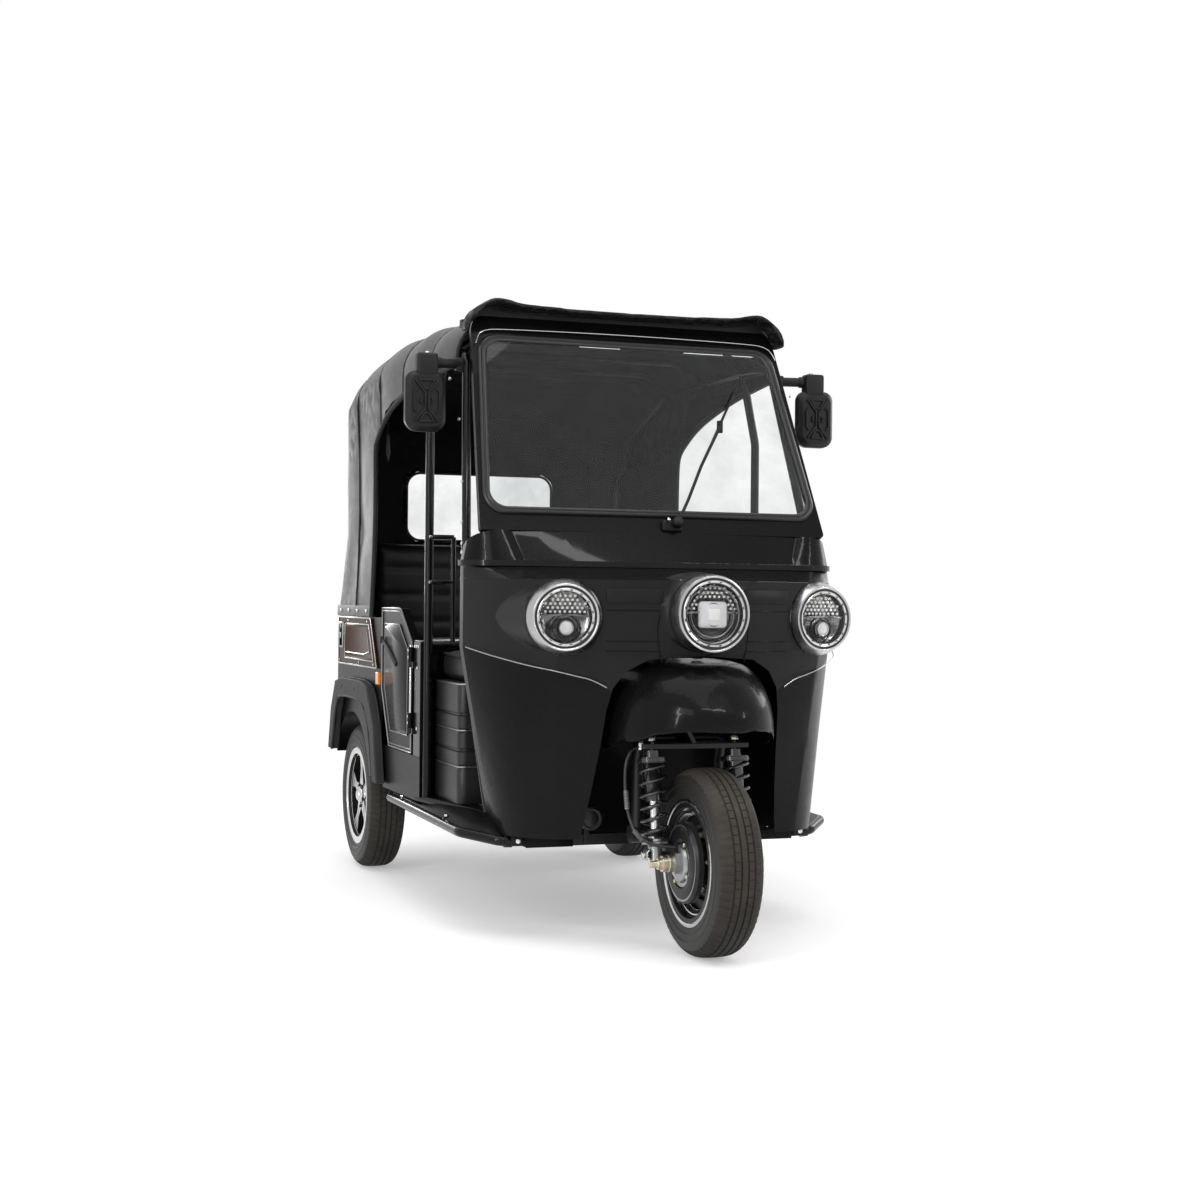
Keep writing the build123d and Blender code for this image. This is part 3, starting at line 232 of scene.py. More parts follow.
@dataclass(frozen=True)
class Finish:
    """One surface finish: its colours, gloss and small relief."""
    name: str
    color: tuple
    second: Optional[tuple] = None
    rough: float = 0.4
    rough_spread: float = 0.08
    metallic: float = 0.0
    coat: float = 0.0
    coat_rough: float = 0.05
    sheen: float = 0.0
    specular: float = 0.5
    transmission: float = 0.0
    ior: float = 1.5
    alpha: float = 1.0
    glow: float = 0.0
    mottle: float = 6.0
    dust: float = 0.0
    relief: Bump = Bump.GRAIN
    relief_scale: float = 300.0
    relief_height: float = 0.05

    def material(self) -> bpy.types.Material:
        """Build the finish's material once and hand it out after that."""
        name = "finish_" + self.name
        found = bpy.data.materials.get(name)
        if found:
            return found
        made = bpy.data.materials.new(name)
        made.use_nodes = True
        tree = made.node_tree
        nodes, links = tree.nodes, tree.links
        shader = nodes["Principled BSDF"]
        shader.inputs["Metallic"].default_value = self.metallic
        shader.inputs["Coat Weight"].default_value = self.coat
        shader.inputs["Coat Roughness"].default_value = self.coat_rough
        shader.inputs["Sheen Weight"].default_value = self.sheen
        shader.inputs["Sheen Roughness"].default_value = 0.5
        shader.inputs["Specular IOR Level"].default_value = self.specular
        shader.inputs["Transmission Weight"].default_value = self.transmission
        shader.inputs["IOR"].default_value = self.ior
        shader.inputs["Alpha"].default_value = self.alpha
        shader.inputs["Emission Strength"].default_value = self.glow
        if self.glow:
            shader.inputs["Emission Color"].default_value = (*self.color, 1.0)
        place = nodes.new("ShaderNodeTexCoord")
        mottle = nodes.new("ShaderNodeGroup")
        mottle.node_tree = mottle_group()
        mottle.inputs["Scale"].default_value = self.mottle
        links.new(place.outputs["Object"], mottle.inputs["Vector"])
        mix = nodes.new("ShaderNodeMix")
        mix.data_type = "RGBA"
        mix.inputs[6].default_value = (*self.color, 1.0)
        mix.inputs[7].default_value = (*(self.second or tuple(0.82 * c for c in self.color)), 1.0)
        links.new(mottle.outputs["Mask"], mix.inputs[0])
        color = mix.outputs[2]
        if self.dust:
            dust = nodes.new("ShaderNodeGroup")
            dust.node_tree = dust_group()
            dust.inputs["Amount"].default_value = self.dust
            links.new(place.outputs["Object"], dust.inputs["Vector"])
            over = nodes.new("ShaderNodeMix")
            over.data_type = "RGBA"
            over.inputs[7].default_value = (0.30, 0.26, 0.21, 1.0)
            links.new(dust.outputs["Mask"], over.inputs[0])
            links.new(color, over.inputs[6])
            color = over.outputs[2]
        links.new(color, shader.inputs["Base Color"])
        if self.transmission == 0.0:
            gloss = nodes.new("ShaderNodeMapRange")
            gloss.inputs["To Min"].default_value = max(0.02, self.rough - self.rough_spread)
            gloss.inputs["To Max"].default_value = min(1.0, self.rough + self.rough_spread)
            links.new(mottle.outputs["Fine"], gloss.inputs["Value"])
            links.new(gloss.outputs["Result"], shader.inputs["Roughness"])
        else:
            shader.inputs["Roughness"].default_value = self.rough
        if self.relief != Bump.NONE:
            relief = nodes.new("ShaderNodeGroup")
            relief.node_tree = relief_group(self.relief)
            relief.inputs["Scale"].default_value = self.relief_scale
            bump = nodes.new("ShaderNodeBump")
            bump.inputs["Strength"].default_value = self.relief_height
            bump.inputs["Distance"].default_value = MM
            links.new(place.outputs["Object"], relief.inputs["Vector"])
            links.new(relief.outputs["Height"], bump.inputs["Height"])
            links.new(bump.outputs["Normal"], shader.inputs["Normal"])
        return made


GLOSS_BLACK = Finish("gloss_black_paint", (0.0036, 0.0034, 0.0032), (0.0024, 0.0024, 0.0024), rough=0.28,
                     rough_spread=0.03, specular=0.06, coat=0.12, coat_rough=0.04, relief_scale=18.0,
                     relief_height=0.015)
BODY_BLACK = Finish("body_black_paint", (0.0036, 0.0035, 0.0034), rough=0.34, specular=0.06, coat=0.06, coat_rough=0.12,
                    relief_scale=40.0, relief_height=0.02, dust=0.006)
SATIN = Finish("satin_charcoal_paint", (0.0085, 0.0085, 0.0088), (0.0065, 0.0065, 0.0067), rough=0.40, specular=0.14,
               coat=0.06, coat_rough=0.25, relief_scale=500.0, relief_height=0.03)
MATTE_PLASTIC = Finish("moulded_matte_plastic", (0.0085, 0.0085, 0.009), rough=0.45, specular=0.22, relief=Bump.LEATHER,
                       relief_scale=900.0, relief_height=0.12)
FLARE_PLASTIC = Finish("flare_grey_plastic", (0.030, 0.030, 0.031), (0.024, 0.024, 0.025), rough=0.6, specular=0.2,
                       relief=Bump.LEATHER, relief_scale=700.0, relief_height=0.15, dust=0.03)
STAINLESS = Finish("brushed_stainless", (0.50, 0.50, 0.50), (0.42, 0.42, 0.42), rough=0.26, rough_spread=0.04,
                   metallic=1.0,
                   relief=Bump.BRUSHED, relief_scale=900.0, relief_height=0.02)
BRIGHT = Finish("polished_alloy", (0.66, 0.66, 0.66), rough=0.18, rough_spread=0.05, metallic=1.0,
                relief_scale=80.0, relief_height=0.03)
SILVER_TRIM = Finish("satin_silver_trim", (0.36, 0.36, 0.36), rough=0.3, metallic=0.9, relief_scale=200.0)
RIM_SILVER = Finish("rim_machined_silver", (0.70, 0.70, 0.69), (0.60, 0.60, 0.60), rough=0.32, metallic=0.5,
                    relief_scale=200.0)
ZINC = Finish("yellow_zinc", (0.62, 0.56, 0.42), (0.70, 0.68, 0.62), rough=0.34, metallic=1.0,
              relief=Bump.CAST, relief_scale=260.0, relief_height=0.2)
STEEL_BLACK = Finish("black_enamelled_steel", (0.008, 0.008, 0.008), rough=0.4, specular=0.3, coat=0.1, coat_rough=0.2,
                     relief_scale=120.0, relief_height=0.06, dust=0.01)
FRAME_BLACK = Finish("powder_coated_tube", (0.004, 0.004, 0.004), rough=0.24, specular=0.10, coat=0.25, coat_rough=0.06,
                     relief_scale=160.0, relief_height=0.05)
TYRE_RUBBER = Finish("tyre_rubber", (0.036, 0.032, 0.028), (0.020, 0.018, 0.0165), rough=0.72,
                     relief_scale=500.0, relief_height=0.3, dust=0.20, specular=0.15)
SIDEWALL = Finish("tyre_sidewall_rubber", (0.012, 0.0115, 0.011), (0.009, 0.0085, 0.008), rough=0.5,
                  relief_scale=400.0, relief_height=0.15, dust=0.10, specular=0.4)
RUBBER = Finish("black_rubber", (0.011, 0.011, 0.011), rough=0.32, specular=0.45, relief_scale=350.0, relief_height=0.1)
SPRING_BLACK = Finish("spring_enamel", (0.014, 0.014, 0.014), rough=0.25, coat=0.5, coat_rough=0.1)
VINYL = Finish("canopy_vinyl", (0.030, 0.030, 0.0315), (0.020, 0.020, 0.021), rough=0.52, specular=0.4,
               rough_spread=0.1,
               sheen=0.15, mottle=2.5, relief=Bump.WEAVE, relief_scale=420.0, relief_height=0.05)
BINDING = Finish("binding_tape", (0.008, 0.008, 0.008), rough=0.6, specular=0.3, relief=Bump.WEAVE, relief_scale=420.0,
                 relief_height=0.3)
LEATHERETTE = Finish("seat_leatherette", (0.012, 0.012, 0.0125), (0.008, 0.008, 0.0085), rough=0.42, specular=0.35,
                     coat=0.05,
                     coat_rough=0.3, relief=Bump.LEATHER, relief_scale=600.0, relief_height=0.06)
# Near-black: the rear bench's own colour, and painted shade where it lines the inside of the hood.
DARK_TRIM_AND_PAINTED_SHADE = Finish("dark_trim_and_painted_shade", (0.006, 0.006, 0.0062), rough=0.65, specular=0.1, relief_scale=300.0, relief_height=0.02)
FLOOR_MAT = Finish("ribbed_floor_mat", (0.024, 0.024, 0.024), rough=0.6, dust=0.25, relief=Bump.CAST,
                   relief_scale=300.0, relief_height=0.3)
BROWN_PANEL = Finish("brown_gloss_panel", (0.060, 0.021, 0.0045), (0.035, 0.013, 0.004), rough=0.2, specular=0.02,
                     coat=0.03,
                     mottle=3.0, relief_scale=30.0, relief_height=0.02)
GLASS = Finish("screen_glass", (0.93, 0.95, 0.95), rough=0.0, transmission=1.0, ior=1.3, relief=Bump.NONE)
LENS = Finish("lamp_lens", (0.98, 0.98, 0.98), rough=0.0, transmission=1.0, ior=1.2, relief=Bump.NONE)
CLEAR_SHEET = Finish("clear_vinyl_window", (0.97, 0.98, 0.98), rough=0.0, transmission=1.0, ior=1.05,
                     relief=Bump.NONE)
LAMP_BOWL = Finish("lamp_bowl_dark_chrome", (0.30, 0.30, 0.30), (0.08, 0.08, 0.08), rough=0.16, metallic=1.0,
                   mottle=30.0, relief_scale=160.0)
LED = Finish("led_chip", (0.92, 0.92, 0.88), rough=0.2, glow=0.12)
PROJECTOR = Finish("projector_white", (0.66, 0.68, 0.70), (0.80, 0.80, 0.80), rough=0.12, coat=0.8, glow=0.06)
AMBER = Finish("amber_lens", (0.85, 0.26, 0.02), rough=0.15, coat=0.8, relief=Bump.CAST, relief_scale=300.0,
               relief_height=0.2)
RED = Finish("red_lens", (0.55, 0.02, 0.015), rough=0.12, coat=0.8, relief=Bump.CAST, relief_scale=260.0,
             relief_height=0.2)
WHITE_LENS = Finish("reversing_lens", (0.80, 0.80, 0.80), rough=0.15, coat=0.6, relief=Bump.CAST,
                    relief_scale=260.0, relief_height=0.2)
PLATE = Finish("bare_plate", (0.62, 0.62, 0.60), rough=0.4, relief_scale=100.0)
BATTERY = Finish("battery_case", (0.05, 0.055, 0.06), rough=0.5, relief=Bump.CAST, relief_scale=200.0)
MIRROR_GLASS = Finish("mirror_glass", (0.86, 0.87, 0.88), rough=0.03, rough_spread=0.01, metallic=1.0,
                      relief=Bump.NONE)
CABLE_SLEEVE = Finish("cable_sleeve", (0.20, 0.20, 0.20), (0.10, 0.10, 0.10), rough=0.35, metallic=0.6,
                      relief_scale=400.0)


# ------------------------------------------------------------------ workbench
def clear_selection() -> None:
    """Leave edit mode and deselect everything."""
    if bpy.context.object and bpy.context.object.mode != "OBJECT":
        bpy.ops.object.mode_set(mode="OBJECT")
    bpy.ops.object.select_all(action="DESELECT")


def pick(obj: bpy.types.Object) -> bpy.types.Object:
    """Make one object the only selected and active one."""
    clear_selection()
    obj.select_set(True)
    bpy.context.view_layer.objects.active = obj
    return obj


def settle(obj: bpy.types.Object) -> bpy.types.Object:
    """Put an object's place, turn and size into its mesh."""
    pick(obj)
    bpy.ops.object.transform_apply(location=True, rotation=True, scale=True)
    return obj


def modify(obj: bpy.types.Object, kind: str, **settings: object) -> bpy.types.Object:
    """Add one modifier with its settings and apply it.

    Args:
        obj: the piece.
        kind: Blender's modifier type.
        settings: its properties.

    Returns:
        The piece.
    """
    pick(obj)
    modifier = obj.modifiers.new(kind.lower(), kind)
    for key, value in settings.items():
        setattr(modifier, key, value)
    bpy.ops.object.modifier_apply(modifier=modifier.name)
    return obj


def soften(obj: bpy.types.Object, width: float = 1.2, segments: int = 2, angle: float = 35.0) -> bpy.types.Object:
    """Round the sharp edges of a piece and shade it.

    Args:
        obj: the piece.
        width: bevel width, mm.
        segments: steps of the bevel.
        angle: edges sharper than this are rounded, degrees.

    Returns:
        The piece.
    """
    if width:
        modify(obj, "BEVEL", width=width * MM, segments=segments, limit_method="ANGLE",
               angle_limit=math.radians(angle), harden_normals=False, use_clamp_overlap=True)
    return shade(obj)


def shade(obj: bpy.types.Object, angle: float = 34.0) -> bpy.types.Object:
    """Smooth shading that keeps sharp edges."""
    pick(obj)
    bpy.ops.object.shade_smooth_by_angle(angle=math.radians(angle))
    return obj


def select_faces(obj: bpy.types.Object, test: Callable[[Vector, Vector], bool]) -> int:
    """Select faces by centre and normal, in edit mode.

    Args:
        obj: the piece, in edit mode.
        test: takes a face's centre and normal.

    Returns:
        How many faces are selected.
    """
    mesh = bmesh.from_edit_mesh(obj.data)
    bpy.ops.mesh.select_mode(type="FACE")
    bpy.ops.mesh.select_all(action="DESELECT")
    count = 0
    for face in mesh.faces:
        if test(face.calc_center_median(), face.normal):
            face.select_set(True)
            count += 1
    bmesh.update_edit_mesh(obj.data)
    return count


def edit(obj: bpy.types.Object) -> bpy.types.Object:
    """Enter edit mode on one piece, with nothing selected."""
    pick(obj)
    bpy.ops.object.mode_set(mode="EDIT")
    bpy.ops.mesh.select_all(action="DESELECT")
    return obj


def close_edit(tidy: bool = False) -> None:
    """Leave edit mode, after merging doubles and turning faces outwards if asked."""
    if tidy:
        bpy.ops.mesh.select_all(action="SELECT")
        bpy.ops.mesh.remove_doubles(threshold=0.00002)
        bpy.ops.mesh.normals_make_consistent(inside=False)
    bpy.ops.object.mode_set(mode="OBJECT")


def mesh_piece(name: str, points: Iterable[Point], edges: Iterable = (), faces: Iterable = ()) -> bpy.types.Object:
    """Object from corner points in metres."""
    mesh = bpy.data.meshes.new(name)
    mesh.from_pydata([tuple(p) for p in points], list(edges), list(faces))
    obj = bpy.data.objects.new(name, mesh)
    bpy.context.scene.collection.objects.link(obj)
    return obj


def ring_faces(n: int, a: int, b: int) -> list:
    """Faces between two rings of n points that start at points a and b."""
    return [(a + k, a + (k + 1) % n, b + (k + 1) % n, b + k) for k in range(n)]


def slab(name: str, low: Point, high: Point, round_by: float = 2.0, segments: int = 2) -> bpy.types.Object:
    """Rounded block between two corners given in mm from the front axle."""
    clear_selection()
    a, b = at(*low), at(*high)
    bpy.ops.mesh.primitive_cube_add(size=1.0, location=(a + b) / 2)
    obj = bpy.context.object
    obj.name = obj.data.name = name
    obj.scale = [max(abs(q - p), 1e-5) for p, q in zip(a, b)]
    settle(obj)
    if round_by:
        edit(obj)
        bpy.ops.mesh.select_all(action="SELECT")
        bpy.ops.mesh.bevel(offset=round_by * MM, segments=segments, affect="EDGES")
        close_edit()
    return shade(obj)


def bar(name: str, a: Point, b: Point, r: float, sides: int = 20, round_by: float = 0.8) -> bpy.types.Object:
    """Round bar with chamfered ends between two places in mm from the front axle."""
    clear_selection()
    start, end = at(*a), at(*b)
    along = end - start
    bpy.ops.mesh.primitive_cylinder_add(vertices=sides, radius=r * MM, depth=along.length)
    obj = bpy.context.object
    obj.name = obj.data.name = name
    obj.rotation_mode = "QUATERNION"
    obj.rotation_quaternion = along.to_track_quat("Z", "Y")
    obj.location = (start + end) / 2
    settle(obj)
    if round_by:
        edit(obj)
        direction = along.normalized()
        select_faces(obj, lambda c, n: abs(n.dot(direction)) > 0.99)
        bpy.ops.mesh.bevel(offset=round_by * MM, segments=2, affect="EDGES")
        close_edit()
    return shade(obj)


def turned(name: str, profile: Sequence[Point], origin: Vector, axis: Vector, steps: int = 64,
           closed: bool = True) -> bpy.types.Object:
    """Piece spun from a profile.

    Args:
        name: the piece's name.
        profile: (radius, distance along the axis) points, mm.
        origin: where the axis starts, metres.
        axis: direction of the axis.
        steps: steps round the turn.
        closed: join the profile's last point to its first.

    Returns:
        The piece.
    """
    axis = axis.normalized()
    side = axis.orthogonal().normalized()
    points = [origin + side * (r * MM) + axis * (d * MM) for r, d in profile]
    count = len(points)
    edges = [(k, k + 1) for k in range(count - 1)] + ([(count - 1, 0)] if closed else [])
    obj = edit(mesh_piece(name, points, edges))
    bpy.ops.mesh.select_all(action="SELECT")
    bpy.ops.mesh.spin(steps=steps, angle=math.tau, center=origin, axis=axis)
    close_edit(tidy=True)
    return shade(obj)


def tube(name: str, points: Sequence[Point], r: float, sides: int = 12, smooth: bool = True,
         cyclic: bool = False) -> bpy.types.Object:
    """Round cord or bead along points in mm from the front axle, as a mesh.

    Args:
        name: the piece's name.
        points: places on its line.
        r: its radius, mm.
        sides: sides of its section.
        smooth: a smooth line rather than straight runs.
        cyclic: close the line.

    Returns:
        The piece.
    """
    curve = bpy.data.curves.new(name, "CURVE")
    curve.dimensions = "3D"
    curve.bevel_depth = r * MM
    curve.bevel_resolution = max(1, sides // 4 - 1)
    curve.use_fill_caps = True
    curve.resolution_u = 6
    spline = curve.splines.new("NURBS" if smooth else "POLY")
    spline.points.add(len(points) - 1)
    for knot, p in zip(spline.points, points):
        knot.co = (*at(*p), 1.0)
    if smooth:
        spline.order_u = 3
        spline.use_endpoint_u = not cyclic
    spline.use_cyclic_u = cyclic
    obj = bpy.data.objects.new(name, curve)
    bpy.context.scene.collection.objects.link(obj)
    pick(obj)
    bpy.ops.object.convert(target="MESH")
    return shade(bpy.context.object, 50.0)


def strip(name: str, points: Sequence[Point], width: float, thick: float, face: Vector) -> bpy.types.Object:
    """Flat bead along points, standing off a surface.

    Args:
        name: the piece's name.
        points: places along its middle, mm from the front axle.
        width: its width across the surface, mm.
        thick: how far it stands off, mm.
        face: outward direction of the surface.

    Returns:
        The piece, with rounded edges.
    """
    knots = [at(*p) for p in points]
    rows, faces = [], []
    for k, knot in enumerate(knots):
        along = (knots[min(k + 1, len(knots) - 1)] - knots[max(k - 1, 0)]).normalized()
        side = along.cross(face).normalized() * (width * MM / 2)
        lift = face.normalized() * (thick * MM)
        rows += [knot - side, knot + side, knot + side + lift, knot - side + lift]
        if k:
            a, b = 4 * (k - 1), 4 * k
            faces += ring_faces(4, a, b)
    last = 4 * (len(knots) - 1)
    faces += [(3, 2, 1, 0), (last, last + 1, last + 2, last + 3)]
    obj = edit(mesh_piece(name, rows, (), faces))
    close_edit(tidy=True)
    return soften(obj, min(width, thick) * 0.3, 2)


def pressed_plate(name: str, points: Sequence[Vector], out: Vector, border: float, dip: float) -> bpy.types.Object:
    """Plate 2 mm thick with its field pressed in, inside a flat border; all in metres."""
    plate = edit(mesh_piece(name, points, (), [tuple(range(len(points)))]))
    bpy.ops.mesh.select_all(action="SELECT")
    bpy.ops.mesh.extrude_region_move(TRANSFORM_OT_translate={"value": out * 2.0 * MM})
    bpy.ops.mesh.select_all(action="SELECT")
    bpy.ops.mesh.normals_make_consistent(inside=False)
    select_faces(plate, lambda c, n: n.dot(out) > 0.9)
    bpy.ops.mesh.inset(thickness=border, depth=0.0)
    bpy.ops.mesh.inset(thickness=0.005, depth=dip)
    close_edit()
    return plate


def joined(name: str, parts: Sequence[bpy.types.Object]) -> bpy.types.Object:
    """Join pieces into the first of them."""
    clear_selection()
    for part in parts:
        part.select_set(True)
    bpy.context.view_layer.objects.active = parts[0]
    if len(parts) > 1:
        bpy.ops.object.join()
    obj = bpy.context.object
    obj.name = obj.data.name = name
    return obj


def copied(obj: bpy.types.Object, matrix: Matrix) -> bpy.types.Object:
    """Copy of a piece with its own mesh, moved by a matrix."""
    mesh = obj.data.copy()
    mesh.transform(matrix)
    if matrix.determinant() < 0:
        mesh.flip_normals()
    twin = bpy.data.objects.new(obj.name, mesh)
    bpy.context.scene.collection.objects.link(twin)
    return twin


def around(part: bpy.types.Object, count: int, centre: Vector, axis: Vector, first: float = 0.0) -> list:
    """Copies of a piece set evenly round an axis.

    Args:
        part: the first piece.
        count: how many in all.
        centre: a point on the axis, metres.
        axis: its direction.
        first: turn of the first piece, degrees.

    Returns:
        All the pieces, the given one left out.
    """
    shift = Matrix.Translation(centre)
    made = []
    for k in range(count):
        turn = Matrix.Rotation(math.radians(first) + math.tau * k / count, 4, axis)
        made.append(copied(part, shift @ turn @ shift.inverted()))
    bpy.data.objects.remove(part)
    return made


def fine_copy(name: str, node: str, reach: float) -> bpy.types.Object:
    """Merged copy of a frame node whose faces are cut until no edge is longer than reach metres."""
    obj = from_frame(name, node, 0.0, 60.0, 0.0)
    edit(obj)
    mesh = bmesh.from_edit_mesh(obj.data)
    for limit in (8 * reach, 4 * reach, 2 * reach, reach):
        bmesh.ops.triangulate(mesh, faces=[f for f in mesh.faces if len(f.verts) > 3])
        bmesh.ops.subdivide_edges(mesh, edges=[e for e in mesh.edges if e.calc_length() > limit], cuts=1)
    bmesh.ops.triangulate(mesh, faces=[f for f in mesh.faces if len(f.verts) > 3])
    bmesh.update_edit_mesh(obj.data)
    close_edit()
    return obj


def dress(obj: bpy.types.Object, name: str, finish: Finish, body: Body = Body.ROOT, stands_for: Sequence[str] = ()) -> bpy.types.Object:
    """Name a finished piece, give it its finish and seat it on its body.

    Args:
        obj: the piece.
        name: its final name.
        finish: its finish.
        body: the body that it rides on.
        stands_for: frame nodes that it replaces.

    Returns:
        The piece.
    """
    obj.name = obj.data.name = name
    obj.data.materials.clear()
    obj.data.materials.append(finish.material())
    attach(obj, body.value)
    if stands_for:
        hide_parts(*stands_for)
    log.info("%s on %s", name, body.value)
    return obj


def from_frame(name: str, node: str, round_by: float = 1.0, angle: float = 34.0, flat: float = 0.3) -> bpy.types.Object:
    """Smooth copy of a frame node's solid.

    Args:
        name: the piece's name.
        node: the frame node to copy.
        round_by: bevel width of its edges, mm, or 0.
        angle: faces that meet at less than this shade smoothly, degrees.
        flat: faces that meet at less than this become one, degrees.

    Returns:
        The piece.
    """
    source = bpy.data.objects[node]
    obj = bpy.data.objects.new(name, source.data.copy())
    bpy.context.scene.collection.objects.link(obj)
    edit(obj)
    bpy.ops.mesh.select_all(action="SELECT")
    bpy.ops.mesh.remove_doubles(threshold=0.00002)
    if flat:
        bpy.ops.mesh.dissolve_limited(angle_limit=math.radians(flat))
    bpy.ops.object.mode_set(mode="OBJECT")
    if round_by:
        modify(obj, "BEVEL", width=round_by * MM, segments=2, limit_method="ANGLE",
               angle_limit=math.radians(angle), use_clamp_overlap=True)
    shade(obj, angle)
    modify(obj, "WEIGHTED_NORMAL", keep_sharp=True)
    return obj


def paint(obj: bpy.types.Object, rules: Sequence[tuple]) -> bpy.types.Object:
    """Give parts of a piece other finishes.

    Args:
        obj: a dressed piece.
        rules: (finish, test) rows; a test takes a face's centre in mm from the front axle and its normal,
            and a later row wins over an earlier one.

    Returns:
        The piece.
    """
    for finish, test in rules:
        obj.data.materials.append(finish.material())
        index = len(obj.data.materials) - 1
        for face in obj.data.polygons:
            place = Vector((face.center.x, face.center.y + Y_MID * MM, face.center.z)) / MM
            if test(place, face.normal):
                face.material_index = index
    return obj


def copies_of_nodes(rows: Sequence[tuple]) -> None:
    """Smooth, dressed copies of frame nodes.

    Args:
        rows: (piece name, node, finish, slot, body, bevel in mm, smooth angle in degrees).
    """
    for name, node, finish, slot, body, round_by, angle in rows:
        dress(from_frame(name, node, round_by, angle), name, finish, body, (node,))


# ------------------------------------------------------------------ wheels
@dataclass
class Wheels:
    """Three wheels: treaded tyres, a pressed front rim and two cast rear rims."""
    wheelbase: float = 1850.0
    track_half: float = 473.0
    axle_z: float = 247.0
    radius: float = 247.0
    pitches: int = 68
    sipe_depth: float = 2.6
    lip_r: float = 166.0
    lug_count: int = 5
    # across the tyre from its middle, radius, and whether sipes cut it: 0 no, 1 shoulder, 2 rib
    section: tuple = (
        (0.0, 247.0, 0), (6.5, 247.0, 0), (7.5, 242.5, 0), (11.0, 242.5, 0), (12.0, 246.8, 2), (18.0, 246.6, 2),
        (24.5, 246.2, 2), (25.5, 241.8, 0), (29.5, 241.5, 0), (30.5, 245.4, 1), (38.0, 244.0, 1), (46.0, 240.4, 1),
        (53.0, 235.0, 1), (58.0, 228.6, 1), (60.0, 224.0, 0), (62.4, 216.0, 0), (63.6, 207.0, 0), (65.0, 206.0, 0),
        (65.0, 204.0, 0), (63.8, 203.0, 0), (63.9, 194.0, 0), (63.0, 186.0, 0), (64.0, 185.0, 0), (64.0, 183.4, 0),
        (62.6, 182.4, 0), (61.0, 174.0, 0), (59.2, 168.0, 0), (54.5, 167.2, 0), (49.5, 151.0, 0),
    )

    def build(self) -> None:
        """Build the three wheels."""
        self.dress_tyre("front_tyre", 0.0, 0.0, Body.FRONT_WHEEL)
        self.front_rim()
        for tag, s in SIDES:
            body = Body.REAR_LEFT if s > 0 else Body.REAR_RIGHT
            self.dress_tyre("rear_tyre_" + tag, s * self.track_half, self.wheelbase, body)
            self.rear_rim(tag, s, body)

    def tyre(self, x: float, y: float) -> bpy.types.Object:
        """Treaded tyre whose sipes are cut into its shoulder blocks and ribs."""
        half = list(self.section)
        line = [(-a, r, k) for a, r, k in reversed(half[1:])] + half
        pitch = math.tau / self.pitches
        steps = ((0.0, 1), (0.05, 1), (0.13, 0), (0.5, 0), (0.55, 2), (0.62, 0))
        rings = []
        for p in range(self.pitches):
            for share, cut in steps:
                rings.append(((p + share) * pitch, cut))
        points = []
        for angle, cut in rings:
            for a, r, kind in line:
                depth = self.sipe_depth if cut and kind == cut else 0.0
                radius = (r - depth) * MM
                points.append(at(x + a, y, self.axle_z) + Vector((0, radius * math.cos(angle),
                                                                  radius * math.sin(angle))))
        n, total = len(line), len(rings)
        faces = []
        for i in range(total):
            j = (i + 1) % total
            faces += [(i * n + k, i * n + k + 1, j * n + k + 1, j * n + k) for k in range(n - 1)]
            faces.append((i * n + n - 1, i * n, j * n, j * n + n - 1))
        obj = edit(mesh_piece("tyre", points, (), faces))
        close_edit(tidy=True)
        return shade(obj, 30.0)

    def dress_tyre(self, node: str, x: float, y: float, body: Body) -> None:
        """Tyre with dusty tread and darker walls."""
        obj = dress(self.tyre(x, y), node + "_treaded", TYRE_RUBBER, body, (node,))
        middle = Vector((x, y, self.axle_z))
        paint(obj, [(SIDEWALL, lambda c, n: (Vector((0, c.y, c.z)) - Vector((0, middle.y, middle.z))).length < 227.0)])

    def ring(self, profile: Sequence[Point], x: float, y: float, face: int, steps: int = 72) -> bpy.types.Object:
        """Ring turned about a wheel's axle; face is +1 or -1."""
        return turned("ring", profile, at(x, y, self.axle_z), Vector((face, 0, 0)), steps)

    def front_rim(self) -> None:
        """Black pressed rim with a bright flange and stepped bands on both sides."""
        body = Body.FRONT_WHEEL
        dress(from_frame("rim", "front_rim", 0.8), "front_rim_pressed", STEEL_BLACK, body, ("front_rim",))
        lip = self.lip_r
        for tag, face in (("near", -1), ("far", 1)):
            band = [(lip + 1.0, 56.0), (lip + 1.2, 59.4), (lip - 4, 60.2), (lip - 9, 59.0), (lip - 12.8, 55.8),
                    (lip - 24.6, 46.4), (lip - 29, 41.0), (lip - 33, 40.0), (lip - 41.0, 31.0), (lip - 43.4, 30.2),
                    (lip - 42.0, 29.6), (lip - 32, 38.6), (lip - 28, 39.8), (lip - 22.4, 45.6), (lip - 11.4, 53.6),
                    (lip - 1.0, 57.6)]
            dress(self.ring(band, 0, 0, face, 96), "front_rim_band_" + tag, BRIGHT, body, ())
        nut = bar("nut", (-12, 0, self.axle_z + 74), (-29, 0, self.axle_z + 74), 8.5, 6, 1.0)
        stud = bar("stud", (-26, 0, self.axle_z + 74), (-36, 0, self.axle_z + 74), 4.5, 12, 0.8)
        washer = bar("washer", (-11, 0, self.axle_z + 74), (-14, 0, self.axle_z + 74), 12.0, 20, 0.5)
        lug = joined("lug", [nut, stud, washer])
        lugs = around(lug, self.lug_count, at(0, 0, self.axle_z), Vector((1, 0, 0)), 10.0)
        dress(joined("lugs", lugs), "front_rim_lugs", ZINC, body, ())
        hole = turned("hole", [(0.5, -9.2), (7, -9.2), (8.5, -10.6), (0.5, -10.6)], at(0, 0, self.axle_z + 112),
                      Vector((1, 0, 0)), 20)
        holes = around(hole, 10, at(0, 0, self.axle_z), Vector((1, 0, 0)), 18.0)
        dress(joined("vents", holes), "front_rim_vents", RUBBER, body, ())
        self.valve("front_valve", 0.0, 0.0, -1, body)

